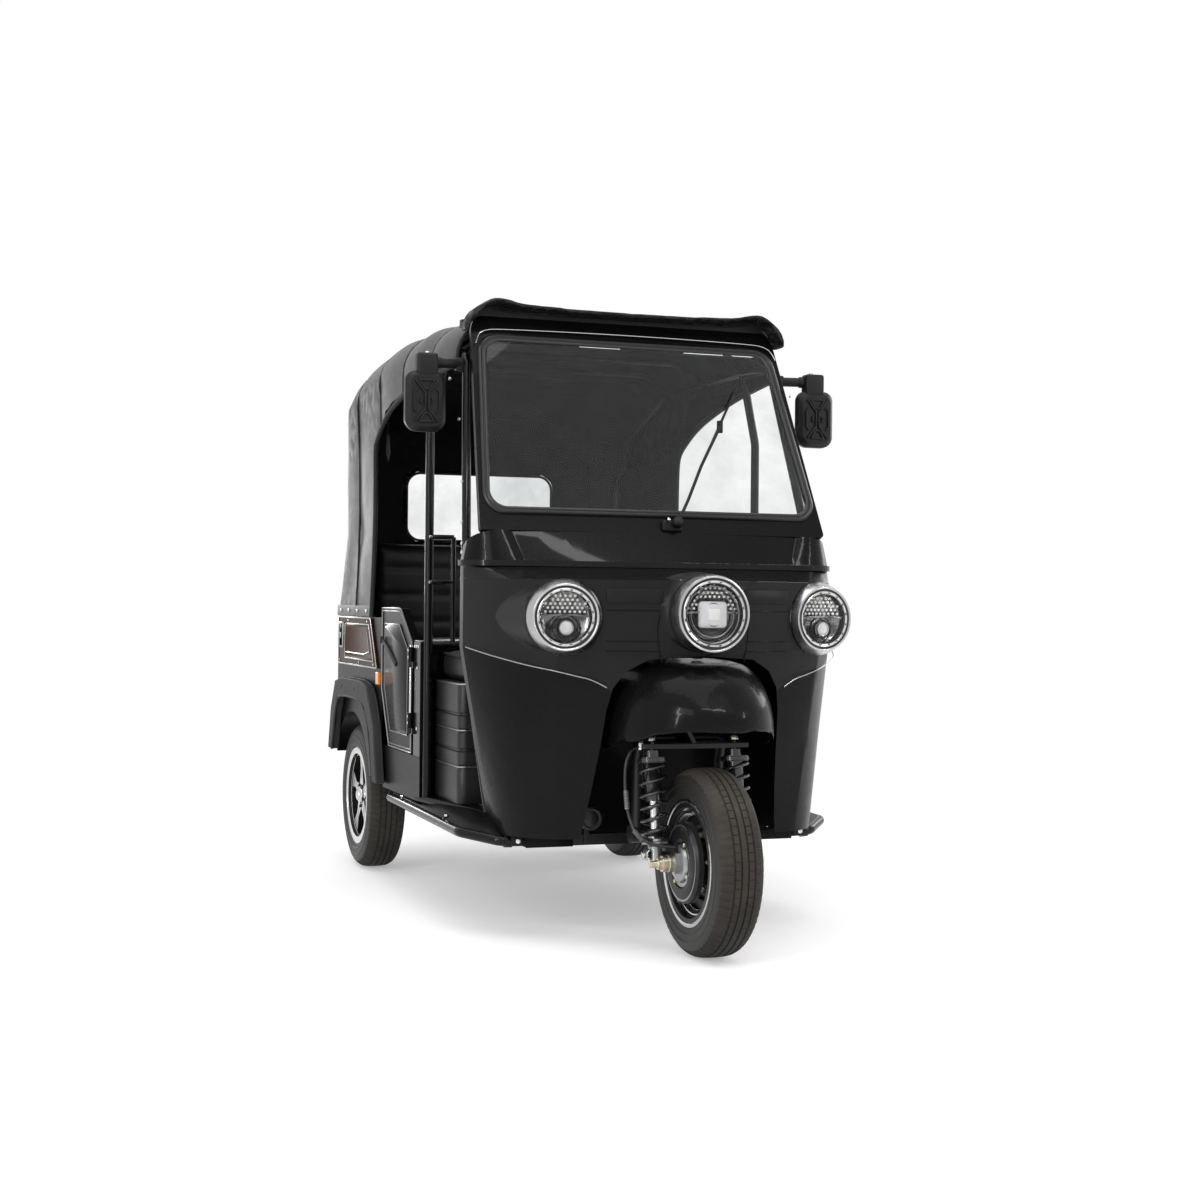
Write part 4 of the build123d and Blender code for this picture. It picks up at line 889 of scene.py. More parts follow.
    def valve(self, name: str, x: float, y: float, face: int, body: Body) -> None:
        """Rubber valve stem."""
        z = self.axle_z + 132.0
        stem = bar("stem", (x + face * 36, y + 20, z), (x + face * 62, y + 21, z - 3), 4.0, 14, 0.8)
        dress(stem, name, RUBBER, body, ())

    def rear_rim(self, tag: str, s: int, body: Body) -> None:
        """Cast rim: machined faces bright, pockets and barrel black."""
        node = "rear_rim_" + tag
        rim = dress(from_frame("rim", node, 1.6), node + "_cast", STEEL_BLACK, body, (node,))
        x, y = s * self.track_half, self.wheelbase
        paint(rim, [(RIM_SILVER, lambda c, n: n.x * s > 0.35 and (c.x - x) * s > 24.0)])
        lip = self.lip_r
        band = [(lip + 1.0, 56.0), (lip + 1.2, 59.4), (lip - 3, 60.2), (lip - 6, 58.6), (lip - 9, 52.0),
                (lip - 10.5, 46.5), (lip - 9.5, 46.0), (lip - 6.0, 53.6), (lip - 1.0, 57.6)]
        dress(self.ring(band, x, y, s), node + "_lip", BRIGHT, body, ())
        cap = [(0.4, 43.0), (27, 43.0), (30, 45.5), (29, 49.0), (24, 52.5), (19, 53.0), (17, 57.0), (10, 60.0),
               (0.4, 61.0)]
        dress(self.ring(cap, x, y, s, 40), node + "_cap", BRIGHT, body, ())
        nut = turned("nut", [(0.4, 40), (6.0, 40), (6.0, 47), (4.6, 48.5), (0.4, 48.5)],
                     at(x, y, self.axle_z + 38), Vector((s, 0, 0)), 12)
        nuts = around(nut, self.lug_count, at(x, y, self.axle_z), Vector((1, 0, 0)), 36.0)
        dress(joined("nuts", nuts), node + "_nuts", STEEL_BLACK, body, ())
        rib = strip("rib", [(x + s * 42.4, y, self.axle_z + 54), (x + s * 42.4, y, self.axle_z + 128)], 7.0, 1.6,
                    Vector((s, 0, 0)))
        ribs = around(rib, 5, at(x, y, self.axle_z), Vector((1, 0, 0)), 0.0)
        dress(joined("ribs", ribs), node + "_spoke_ribs", RIM_SILVER, body, ())
        self.valve(node + "_valve", x, y, s, body)


# ---------------------------------------------------------------- steering
@dataclass
class Steering:
    """Fork, axle, struts, brake cable, handlebar and grips."""
    shock_x: float = 120.0
    eye: tuple = (62.0, 262.0)
    stud: tuple = (100.0, 539.7)
    wheel_z: float = 247.0
    # start and end as a share of the strut, and finish
    bands: tuple = (
        (-0.06, 0.10, "silver"), (0.10, 0.125, "silver"), (0.125, 0.17, "silver"), (0.17, 0.24, "rubber"),
        (0.24, 0.50, "chrome"), (0.50, 0.86, "black"), (0.86, 1.30, "black"),
    )

    def build(self) -> None:
        """Build the steering assembly."""
        body = Body.STEERING
        copies_of_nodes((
            ("fork_yoke", "steering_fork", STEEL_BLACK, "black_steel", body, 1.2, 34.0),
            ("handlebar_tube", "handlebar", FRAME_BLACK, "black_steel", body, 0.8, 34.0),
            ("front_brake_cable", "brake_cable", RUBBER, "seal_rubber", body, 0.0, 60.0),
        ))
        self.axle()
        for tag, s in SIDES:
            self.strut(tag, s)
            self.grip(tag, s)
        self.cable_guards()
        self.controls()

    def axle(self) -> None:
        """Axle, arms and backing plate, its nuts and clamp in bare metal."""
        obj = dress(from_frame("axle", "front_axle", 1.0), "front_axle_forged", STEEL_BLACK, Body.STEERING,
                    ("front_axle",))

        def near(c: Vector, r: float) -> bool:
            """Face within r of the axle's line."""
            return math.hypot(c.y, c.z - self.wheel_z) < r
        paint(obj, [
            (ZINC, lambda c, n: abs(c.x) > 95.5 and near(c, 26.0)),
            (SILVER_TRIM, lambda c, n: 72.0 < -c.x < 97.0 and near(c, 35.5)),
        ])
        for s, tag in ((1, "far"), (-1, "near")):
            cone = [(9.5, 97), (21.5, 97), (22.5, 99), (22.5, 112), (18, 115), (17, 127), (12, 130), (11, 141),
                    (8.0, 144), (7.6, 158), (5.5, 161.5), (0.4, 162.5), (0.4, 97)]
            obj = turned("cone", cone, at(0, 0, self.wheel_z), Vector((s, 0, 0)), 36)
            dress(obj, "axle_nut_cone_" + tag, ZINC, Body.STEERING, ())
            hexa = turned("hex", [(10.5, 112.5), (19.5, 112.5), (20.0, 114), (20.0, 124), (18.5, 126), (10.5, 126)],
                          at(0, 0, self.wheel_z), Vector((s, 0, 0)), 6)
            dress(hexa, "axle_lock_nut_" + tag, BRIGHT, Body.STEERING, ())
        plate = [(34.2, 84.2), (46, 84.6), (50, 82), (52, 75.4), (34.2, 75.4)]
        obj = turned("clamp", plate, at(0, 0, self.wheel_z), Vector((-1, 0, 0)), 12)
        dress(obj, "axle_clamp_plate", SILVER_TRIM, Body.STEERING, ())
        rib = turned("rib", [(62, 74.2), (66, 77.4), (90, 77.4), (95, 74.2)], at(0, 0, self.wheel_z),
                     Vector((-1, 0, 0)), 64)
        dress(rib, "brake_plate_rib", STEEL_BLACK, Body.STEERING, ())
        bolt = bar("bolt", (-73, 0, self.wheel_z + 58), (-81, 0, self.wheel_z + 58), 6.0, 6, 1.0)
        bolts = around(bolt, 4, at(0, 0, self.wheel_z), Vector((1, 0, 0)), 30.0)
        dress(joined("bolts", bolts), "brake_plate_bolts", ZINC, Body.STEERING, ())

    def along_strut(self, s: int) -> tuple:
        """Foot and head of a strut's line, mm from the front axle."""
        return (Vector((s * self.shock_x, self.eye[0], self.eye[1])),
                Vector((s * self.shock_x, self.stud[0], self.stud[1])))

    def strut(self, tag: str, s: int) -> None:
        """Coil-over strut with bellows, bright rod, flange and pivot bolt."""
        node = "shock_" + tag
        low, top = self.along_strut(s)
        line = top - low
        obj = dress(from_frame("strut", node, 0.0, 40.0), node + "_coil_over", SPRING_BLACK, Body.STEERING, (node,))
        finishes = {"silver": SILVER_TRIM, "rubber": RUBBER, "chrome": BRIGHT, "black": SPRING_BLACK}

        def inside(c: Vector, a: float, b: float) -> bool:
            """Face of the strut's core between two shares of its length."""
            t = (c - low).dot(line) / line.length_squared
            off = (c - low - line * t).length
            coil = 27.0 < off < 41.0 and 0.125 < t < 0.86
            return a <= t < b and not coil
        paint(obj, [(finishes[kind], lambda c, n, a=a, b=b: inside(c, a, b)) for a, b, kind in self.bands])
        axis = line.normalized()
        base = at(*low)
        length = line.length
        folds = [(12.0, 0.17 * length)]
        for k in range(5):
            d = (0.172 + 0.0135 * k) * length
            folds += [(22.5, d + 1.0), (22.5, d + 2.2), (17.5, d + 3.6)]
        folds.append((12.0, 0.243 * length))
        dress(turned("bellows", folds, base, axis, 28), "strut_bellows_" + tag, RUBBER, Body.STEERING, ())
        flange = [(12, 0.098 * length), (34, 0.098 * length), (36.5, 0.102 * length), (36.5, 0.118 * length),
                  (34, 0.124 * length), (12, 0.124 * length)]
        obj = turned("flange", flange, base, axis, 40)
        dress(obj, "strut_flange_" + tag, SILVER_TRIM, Body.STEERING, ())
        seat = [(20, 0.862 * length), (36, 0.862 * length), (39, 0.868 * length), (39, 0.900 * length),
                (34, 0.908 * length), (20, 0.912 * length)]
        obj = turned("seat", seat, base, axis, 40)
        dress(obj, "strut_upper_seat_" + tag, SPRING_BLACK, Body.STEERING, ())
        head = bar("bolt", (s * 148, self.eye[0], self.eye[1]), (s * 158, self.eye[0], self.eye[1]), 12.0, 6, 1.5)
        washer = bar("washer", (s * 146, self.eye[0], self.eye[1]), (s * 149.5, self.eye[0], self.eye[1]), 15.0, 24,
                     0.6)
        dress(joined("pivot", [head, washer]), "strut_pivot_bolt_" + tag, BRIGHT, Body.STEERING, ())
        above = top + axis * 12.5
        nut = bar("nut", above + axis * 6, above + axis * 18, 11.0, 6, 1.2)
        dress(nut, "strut_top_nut_" + tag, ZINC, Body.STEERING, ())

    def grip(self, tag: str, s: int) -> None:
        """Ribbed rubber grip with a flanged end."""
        low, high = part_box("grips")
        if s > 0:
            copies_of_nodes((("grip_cores", "grips", RUBBER, "grip_rubber", Body.STEERING, 1.0, 34.0),))
        mid_y = 0.5 * (low.y + high.y) / MM + Y_MID
        mid_z = 0.5 * (low.z + high.z) / MM
        tip = Vector((s * 285.0, mid_y + 13, mid_z - 3))
        knee = Vector((s * 193.0, mid_y - 13, mid_z + 3))
        along = (tip - knee).normalized()
        rings = []
        for k in range(9):
            start = knee + along * (12 + 9.2 * k)
            rings.append(bar("rib", start, start + along * 4.0, 18.2, 24, 0.9))
        dress(joined("ribs", rings), "grip_ribs_" + tag, RUBBER, Body.STEERING, ())

    def cable_guards(self) -> None:
        """Spring guards and anchor bolt of the brake cable."""
        rows = (((-198, 84, 430), (-198.6, 70, 382), 7.0), ((-188, 46, 330), (-170, 30, 306), 7.0))
        for k, (a, b, r) in enumerate(rows):
            start, end = Vector(a), Vector(b)
            count = 12
            rings = []
            for i in range(count):
                p = start.lerp(end, i / count)
                rings.append(bar("turn", p, p + (end - start) * (0.62 / count), r, 14, 0.7))
            dress(joined("guard", rings), "cable_guard_%d" % k, CABLE_SLEEVE, Body.STEERING, ())
        bolt = bar("bolt", (-152, 100, 536), (-152, 100, 560), 7.0, 6, 1.2)
        dress(bolt, "cable_anchor_bolt", BRIGHT, Body.STEERING, ())

    def controls(self) -> None:
        """Switch pods and hand levers on the handlebar."""
        low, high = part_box("handlebar")
        y = 0.5 * (low.y + high.y) / MM + Y_MID
        z = 0.5 * (low.z + high.z) / MM
        for tag, s in SIDES:
            pod = slab("pod", (s * 150, y - 22, z - 14), (s * 184, y + 22, z + 18), 6.0, 3)
            dress(pod, "switch_pod_" + tag, MATTE_PLASTIC, Body.STEERING, ())
            lever = tube("lever", [(s * 158, y - 16, z + 4), (s * 178, y - 24, z + 3), (s * 208, y - 21, z + 1),
                                   (s * 234, y - 17, z)], 3.8, 12)
            dress(lever, "hand_lever_" + tag, SILVER_TRIM, Body.STEERING, ())


# ---------------------------------------------------------------- bodywork
@dataclass
class Bodywork:
    """Nose panels, fender, side trims, flares and their small fittings."""
    # lower edge of the lamp fascia: x, y, z
    fascia_edge: tuple = ((552, 396, 800), (530, 330, 788), (497, 262, 775), (440, 196, 757), (380, 133, 744),
                          (330, 107, 731), (290, 92, 722), (256, 80, 702))
    flare_outer: tuple = ((1345, 335), (1372, 430), (1400, 520), (1450, 590), (1505, 640), (1600, 655), (1750, 656),
                          (1900, 655), (2010, 640), (2055, 590), (2080, 540), (2104, 470), (2122, 392))
    trim: tuple = ((1452, 702), (1552, 864), (2060, 864), (2060, 700))
    body_w: float = 550.0
    # visor's swellings: place, rise and reach ahead, metres
    swell_x: float = 0.405
    swell_up: float = 0.010
    swell_ahead: float = 0.006

    def build(self) -> None:
        """Build the bodywork."""
        root = Body.ROOT
        copies_of_nodes((
            ("lower_front_panels", "front_panel", GLOSS_BLACK, "gloss_black", root, 0.0, 30.0),
            ("lamp_fascia", "headlight_fascia", SATIN, "satin_black", root, 0.0, 30.0),
            ("cowl_skin", "cowl", GLOSS_BLACK, "gloss_black", root, 0.0, 30.0),
            ("cowl_roll", "cowl_moulding", FRAME_BLACK, "gloss_black", root, 1.5, 30.0),
            ("wheel_well_liner", "wheel_well", BODY_BLACK, "black_trim", root, 0.0, 30.0),
            ("rear_tub", "rear_body", BODY_BLACK, "gloss_black", root, 1.5, 34.0),
            ("trim_plates", "side_trims", BROWN_PANEL, "brown_gloss", root, 1.2, 34.0),
            ("arch_flares", "wheel_flares", FLARE_PLASTIC, "grey_plastic", root, 5.0, 34.0),
            ("amber_markers", "side_markers", AMBER, "amber_lens", root, 2.5, 34.0),
            ("horn_disc", "horn", STEEL_BLACK, "black_steel", root, 1.5, 34.0),
        ))
        self.visor()
        self.fender()
        self.fascia_lines()
        self.nose_details()
        for tag, s in SIDES:
            self.side_trim(tag, s)
            self.flare_lip(tag, s)
            self.pillar_bolts(tag, s)
        self.horn_face()

    def visor(self) -> None:
        """Cap over the screen: drawn soft, with a swelling at each end, its underside, and a bright bead under it that
        is a painted highlight on the header.
        """
        obj = fine_copy("visor", "roof_visor", 0.03)
        modify(obj, "SMOOTH", iterations=6, factor=0.5)
        for vertex in obj.data.vertices:
            p = vertex.co
            swell = math.exp(-(((abs(p.x) - self.swell_x) / 0.055) ** 2))
            front = max(0.0, min(1.0, (0.700 - Y_MID * MM - p.y) / 0.08))
            up = max(0.0, min(1.0, (p.z - 1.715) / 0.03))
            vertex.co.z += self.swell_up * swell * (0.35 + 0.65 * front) * up
            vertex.co.y -= self.swell_ahead * swell * front
        dress(shade(obj, 60.0), "visor_cap", MATTE_PLASTIC, Body.ROOT, ("roof_visor",))
        rows, faces = [], []
        for k in range(41):
            x = -497.0 + 994.0 * k / 40
            top = 1770.0 - 60.0 * max(0.0, (abs(x) - 425.0) / 72.0) + 12.0 * math.exp(-(((abs(x) - 405.0) / 50.0) ** 2))
            rows += [at(x, y, z) for y, z in ((664, 1735), (690, 1735), (690, top), (664, top))]
            if k:
                a, b = 4 * (k - 1), 4 * k
                faces += ring_faces(4, a, b)
        faces += [(0, 1, 2, 3), tuple(len(rows) - 4 + i for i in range(4))]
        filler = edit(mesh_piece("filler", rows, (), faces))
        close_edit(tidy=True)
        dress(shade(filler, 40.0), "visor_underside", MATTE_PLASTIC)
        # Painted highlight: a thin bright bead along the top of the screen frame stands in for the line of light on its
        # flange.
        line = [on_screen(x, up, 9) for x, up in ((-470, 560), (-462, 590), (-440, 606), (-400, 613), (0, 618),
                                                  (400, 613),
                                                  (440, 606), (462, 590), (470, 560))]
        dress(tube("bead", line, 1.8, 8), "header_painted_highlight", BRIGHT)

    def fender(self) -> None:
        """Fender with a crease across its front and longer sides."""
        obj = fine_copy("fender", "front_fender", 0.022)
        low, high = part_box("front_fender")
        for vertex in obj.data.vertices:
            p = vertex.co
            side = min(1.0, max(0.0, (abs(p.x) - 0.09) / 0.13))
            rear = min(1.0, max(0.0, (p.y - low.y) / 0.16))
            down = min(1.0, max(0.0, (high.z - 0.03 - p.z) / 0.14))
            vertex.co.z -= 0.046 * side * rear * down
            crease = math.exp(-(((p.z - (low.z + 0.060 + 0.18 * abs(p.x))) / 0.030) ** 2))
            vertex.co.y -= 0.010 * crease * (1 - rear)
        modify(obj, "SMOOTH", iterations=8, factor=0.5)
        dress(shade(obj, 50.0), "fender_dome", GLOSS_BLACK, Body.ROOT, ("front_fender",))

    def fascia_lines(self) -> None:
        """Thin bright bead along the lower edge of the fascia."""
        beads = []
        for s in (1, -1):
            beads.append(tube("bead", [(s * x, y - 1.6, z) for x, y, z in self.fascia_edge], 1.5, 8))
        dress(joined("bead", beads), "fascia_lower_bead", SILVER_TRIM)

    def nose_arc(self, x: float) -> float:
        """Y of the nose skin between the knuckles, above the lower panels."""
        half, edge_y, mid_y = 385.0, 128.0, 30.0
        rise = edge_y - mid_y
        radius = (half * half + rise * rise) / (2 * rise)
        return mid_y + radius - math.sqrt(radius * radius - x * x)

    def nose_details(self) -> None:
        """Raised strips on both sides of the middle lamp, and thin raised ribs round them."""
        parts, grooves = [], []
        low, high, x0, x1, count = 925, 962, 118, 262, 7
        for s in (1, -1):
            line = []
            for k in range(count):
                x = x0 + (x1 - x0) * k / (count - 1)
                line.append((s * x, self.nose_arc(x) + 1.0, 0.5 * (low + high)))
            parts.append(strip("strip", line, high - low, 5.0, Vector((0, -1, 0.02))))
            for z in (905, 824, 798):
                line = [(s * x, self.nose_arc(x) + 0.6, z) for x in (122, 150, 180, 210, 240, 262)]
                grooves.append(strip("groove", line, 3.0, 1.6, Vector((0, -1, 0))))
            line = [(s * x, self.nose_arc(x) + 0.6, z) for x, z in ((122, 905), (130, 860), (128, 824), (118, 770))]
            grooves.append(strip("groove", line, 3.0, 1.6, Vector((0, -1, 0))))
        dress(joined("strip", parts), "fascia_raised_strips", SATIN)
        dress(joined("groove", grooves), "fascia_ribs", GLOSS_BLACK)

    def side_trim(self, tag: str, s: int) -> None:
        """Brown gloss insert in a bright frame, with the latch and rivets."""
        x = s * (self.body_w + 6.0)
        out = Vector((s, 0, 0))
        inner = [(x, 1500, 722), (x, 1573, 842), (x, 1950, 842), (x, 1950, 722)]
        quad = [at(*p) for p in inner]
        plate = edit(mesh_piece("insert", quad, (), [(0, 1, 2, 3)]))
        bpy.ops.mesh.select_all(action="SELECT")
        bpy.ops.mesh.extrude_region_move(TRANSFORM_OT_translate={"value": out * 2.4 * MM})
        bpy.ops.mesh.select_all(action="SELECT")
        bpy.ops.mesh.normals_make_consistent(inside=False)
        select_faces(plate, lambda c, n: n.x * s > 0.9)
        bpy.ops.mesh.inset(thickness=0.010, depth=0.0)
        bpy.ops.mesh.inset(thickness=0.003, depth=-0.0012)
        close_edit()
        dress(soften(plate, 0.5), "trim_insert_" + tag, BROWN_PANEL)
        frame = [(x, p[1], p[2]) for p in inner] + [(x, inner[0][1], inner[0][2])]
        edge = [(x, y, z) for y, z in self.trim] + [(x, *self.trim[0])]
        beads = [strip("bead", frame[k:k + 2], 4.0, 3.2, out) for k in range(4)]
        beads += [strip("bead", edge[k:k + 2], 5.0, 2.4, out) for k in range(4)]
        u_line = [(x + s * 2, 1596, 820), (x + s * 2, 1560, 752), (x + s * 2, 1640, 742), (x + s * 2, 1930, 742)]
        beads.append(tube("u_line", u_line, 1.8, 8, smooth=False))
        dress(joined("beads", beads), "trim_frame_" + tag, STAINLESS)
        block = slab("latch", (x + s * 1.0, 1962, 756), (x + s * 8.0, 2018, 848), 3.0, 3)
        key = bar("key", (x + s * 7, 1990, 800), (x + s * 11, 1990, 800), 11.0, 28, 1.2)
        pull = bar("pull", (x + s * 7, 1990, 830), (x + s * 9, 1990, 830), 6.0, 20, 0.8)
        dress(joined("latch", [block, key, pull]), "side_latch_" + tag, SILVER_TRIM)
        rivets = [bar("rivet", (x + s * 0.5, y, z), (x + s * 2.6, y, z), 4.5, 16, 0.9)
                  for y, z in ((1600, 852), (1900, 852), (1500, 712), (1720, 712), (2040, 712))]
        dress(joined("rivets", rivets), "trim_rivets_" + tag, BRIGHT)

    def flare_lip(self, tag: str, s: int) -> None:
        """Raised outer edge of a wheel flare and its screws."""
        x = s * (self.body_w + 27.0)
        inner = [(2062, 392), (2024, 506), (1975, 580), (1900, 592), (1770, 593), (1640, 592), (1540, 572), (1455, 490),
                 (1410, 335)]
        lip = tube("lip", [(x, y, z) for y, z in inner], 4.5, 12)
        top = tube("top", [(x - s * 22, y, z) for y, z in self.flare_outer], 3.0, 10)
        dress(joined("lip", [lip, top]), "flare_lips_" + tag, FLARE_PLASTIC)
        screws = [bar("screw", (x + s * 2, y, z), (x + s * 4.4, y, z), 5.5, 14, 1.0)
                  for y, z in ((1390, 400), (1490, 600), (1700, 624), (1900, 624), (2040, 560), (2095, 430))]
        dress(joined("screws", screws), "flare_screws_" + tag, STEEL_BLACK)

    def pillar_bolts(self, tag: str, s: int) -> None:
        """Dome bolts up the door side of the front pillar."""
        rows = []
        for z in (1060, 1085, 1145, 1260):
            rows.append((532 - (z - 1030) * 52 / 610 if z > 1030 else 532, 467 + (z - 1030) * 205 / 610, z))
        rows += [(526, 661, 1608), (522, 650, 1560), (508, 600, 1440), (532, 467, 960), (532, 467, 985),
                 (520, 467, 880)]
        bolts = [bar("bolt", (s * (x + 11), y - 4, z), (s * (x + 16.5), y - 6, z), 5.0, 16, 1.4) for x, y, z in rows]
        dress(joined("bolts", bolts), "pillar_bolts_" + tag, BRIGHT)

    def horn_face(self) -> None:
        """Domed face and rim of the horn."""
        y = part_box("horn")[0].y / MM + Y_MID
        centre = at(-224, y, 335)
        face = [(31.5, -2), (31.5, 6), (27, 8.5), (24, 6.5), (21, 6.5), (17, 9), (8, 10.5), (0.4, 11), (0.4, -2)]
        obj = turned("face", face, centre + Vector((0, 0.006, 0)), Vector((0, -1, 0)), 44)
        dress(obj, "horn_face", STEEL_BLACK)


# ------------------------------------------------------------------- lamps
@dataclass
class Lamps:
    """Three round front lamps: bezel, inner rings, bowl, dots and projector."""
    # tag, x, y, z, yaw, bezel radius and depth, lens radius
    rows: tuple = (
        ("right", -372.0, 76.0, 886.0, -9.0, 100.0, 32.0, 78.0),
        ("left", 372.0, 76.0, 886.0, 9.0, 100.0, 32.0, 78.0),
        ("centre", 0.0, -31.0, 898.0, 0.0, 105.0, 46.0, 90.0),
    )

    def build(self) -> None:
        """Build the lamps."""
        for index, row in enumerate(self.rows):
            self.lamp(row, index == 0)

    def frame(self, row: tuple) -> tuple:
        """Centre, outward direction, sideways and up directions of a lamp."""
        turn = Matrix.Rotation(math.radians(row[4]), 3, "Z")
        out = turn @ Vector((0, -1, 0))
        side = turn @ Vector((1, 0, 0))
        return at(row[1], row[2], row[3]), out, side, Vector((0, 0, 1))

    def lamp(self, row: tuple, first: bool) -> None:
        """One lamp with all its rings and inner forms."""
        tag, r_bezel, depth, r_lens = row[0], row[5], row[6], row[7]
        centre, out, side, up = self.frame(row)
        root = Body.ROOT
        bezel = [(r_lens + 0.6, -depth + 1), (r_bezel - 1.5, -depth + 0.4), (r_bezel, -depth + 2.4),
                 (r_bezel + 0.2, -depth + 6), (r_lens + 11.5, 0.5), (r_lens + 10, 4.0), (r_lens + 7, 5.2),
                 (r_lens + 4.5, 4.0), (r_lens + 3.2, 1.0), (r_lens + 0.6, -6.0)]
        obj = turned("bezel", bezel, centre, out, 96)
        dress(obj, "bezel_" + tag, STAINLESS, root, ("lamp_bezels",) if first else ())
        gap = [(r_lens + 4.4, -3), (r_lens + 3.4, 2.2), (r_lens - 3.0, 2.2), (r_lens - 3.0, -3)]
        dress(turned("gap", gap, centre, out, 80), "lamp_gasket_" + tag, RUBBER, root, ())
        ring = [(r_lens - 2.4, -3), (r_lens - 2.2, 3.6), (r_lens - 4.2, 5.0), (r_lens - 8.4, 3.4), (r_lens - 8.8, -3)]
        dress(turned("ring", ring, centre, out, 96), "lamp_inner_ring_" + tag, BRIGHT, root, ())
        notch = slab("notch", (0, 0, 0), (7.0, 3.0, 2.6), 0.6, 1)
        notch.data.transform(Matrix.Translation(-at(3.5, 1.5, 1.3)))
        pose = Matrix((side, out, up)).transposed().to_4x4()
        notch.data.transform(Matrix.Translation(centre + up * (r_lens - 6.2) * MM + out * 4.4 * MM) @ pose)
        notches = around(notch, 16, centre, out, 11.25)
        dress(joined("notches", notches), "lamp_ring_notches_" + tag, RUBBER, root, ())
        r = r_lens - 8.4
        bowl = [(r, 2.0), (r, -8), (r - 3, -20), (r * 0.74, -31), (r * 0.45, -37), (0.4, -39), (0.4, -42),
                (r * 0.5, -40),
                (r + 1.5, -22), (r + 1.5, 2.0)]
        obj = turned("bowl", bowl, centre, out, 64)
        dress(obj, "lamp_bowl_" + tag, LAMP_BOWL, root, ("lamps",) if first else ())
        self.inside(tag, r, centre, out, side, up)
        dome = [(r + 0.6, 1.6), (r - 2, 4.2), (r * 0.82, 8.2), (r * 0.55, 11.6), (r * 0.28, 13.4), (0.3, 14.0),
                (0.3, 12.6), (r * 0.28, 12.0), (r * 0.55, 10.2), (r * 0.82, 6.8), (r - 2.6, 2.8), (r - 1.6, 1.0)]
        dress(turned("dome", dome, centre, out, 64), "lamp_glass_" + tag, LENS, root, ())

    def inside(self, tag: str, r: float, centre: Vector, out: Vector, side: Vector, up: Vector) -> None:
        """Dots, eyebrow, projector and its rings."""
        root = Body.ROOT

        def place(x: float, z: float, d: float) -> Vector:
            """Point of the lamp from its own coordinates in mm."""
            return centre + side * (x * MM) + up * (z * MM) + out * (d * MM)
        dots = []
        seat = turned("dot", [(0.3, 0), (3.6, 0), (3.8, 1.6), (2.4, 3.6), (0.3, 4.2)], Vector((0, 0, 0)), out, 8)
        pitch = 13.0
        for i in range(-6, 7):
            for j in range(0, 6):
                x, z = i * pitch + (j % 2) * pitch / 2, 14 + j * pitch * 0.8
                limit = r - 7.0
                if math.hypot(x, z) > limit or (tag == "centre" and abs(x) < 44 and z < 40):
                    continue
                deep = -11.0 - 10.0 * (1 - math.hypot(x, z) / r)
                dots.append(copied(seat, Matrix.Translation(place(x, z, deep))))
        bpy.data.objects.remove(seat)
        dress(joined("dots", dots), "lamp_dots_" + tag, LED, root, ())
        shelf_pts = []
        count = 21
        for k in range(count):
            x = -r * 0.94 + 1.88 * r * k / (count - 1)
            shelf_pts.append(place(x, 4.0 + 5.0 * math.cos(x / r * 1.4), -13.0))
        rows, faces = [], []
        for k, p in enumerate(shelf_pts):
            rows += [p, p - up * 0.006, p - up * 0.006 + out * 0.007, p + out * 0.007]
            if k:
                a, b = 4 * (k - 1), 4 * k
                faces += ring_faces(4, a, b)
        shelf = edit(mesh_piece("shelf", rows, (), faces))
        close_edit(tidy=True)
        dress(soften(shelf, 1.0), "lamp_eyebrow_" + tag, LAMP_BOWL, root, ())
        if tag == "centre":
            self.centre_projector(centre, out, side, up)
            return
        hub = place(3.0, -28.0, 0.0)
        eye = [(0.3, -3), (11.0, -4.5), (16.0, -9), (16.5, -26), (0.3, -26)]
        dress(turned("eye", eye, hub, out, 36), "lamp_projector_" + tag, PROJECTOR, root, ())
        for k, (radius, deep) in enumerate(((18.0, -8.0), (24.0, -13.0), (34.0, -19.0))):
            ring = [(radius - 1.6, deep - 3), (radius - 1.2, deep), (radius + 0.8, deep + 0.8),
                    (radius + 2.2, deep - 2.6)]
            dress(turned("ring", ring, hub, out, 48), "lamp_projector_ring_%s_%d" % (tag, k),
                  BRIGHT if k == 0 else STEEL_BLACK, root, ())

    def centre_projector(self, centre: Vector, out: Vector, side: Vector, up: Vector) -> None:
        """Square projector with rounded corners on concentric rings."""
        root = Body.ROOT
        clear_selection()
        bpy.ops.mesh.primitive_cube_add(size=1.0)
        eye = bpy.context.object
        eye.scale = (0.080, 0.022, 0.070)
        settle(eye)
        modify(eye, "BEVEL", width=0.0105, segments=4, limit_method="NONE")
        eye.data.transform(Matrix.Translation(centre - up * 0.002 + out * -0.012) @
                           Matrix((side, -out, up)).transposed().to_4x4())
        dress(shade(eye), "centre_projector", PROJECTOR, root, ())
        for k, (radius, deep) in enumerate(((53.0, -13.0), (60.0, -11.0), (67.0, -9.0), (74.0, -7.0))):
            ring = [(radius - 1.8, deep - 4), (radius - 1.4, deep), (radius + 0.8, deep + 1.2),
                    (radius + 2.4, deep - 3.4)]
            obj = turned("ring", ring, centre - up * 0.002, out, 64)
            dress(obj, "centre_ring_%d" % k, SILVER_TRIM if k % 2 else STEEL_BLACK, root, ())
        clear_selection()
        bpy.ops.mesh.primitive_cube_add(size=1.0)
        pad = bpy.context.object
        pad.scale = (0.034, 0.006, 0.030)
        settle(pad)
        modify(pad, "BEVEL", width=0.0028, segments=3, limit_method="NONE")
        pad.data.transform(Matrix.Translation(centre - up * 0.002 - out * 0.001) @
                           Matrix((side, -out, up)).transposed().to_4x4())
        dress(shade(pad), "centre_projector_pad", LED, root, ())
        frame = [(27.5, -2.5), (29.5, -1.0), (31.0, -3.0), (31.0, -14.0), (27.5, -14.0)]
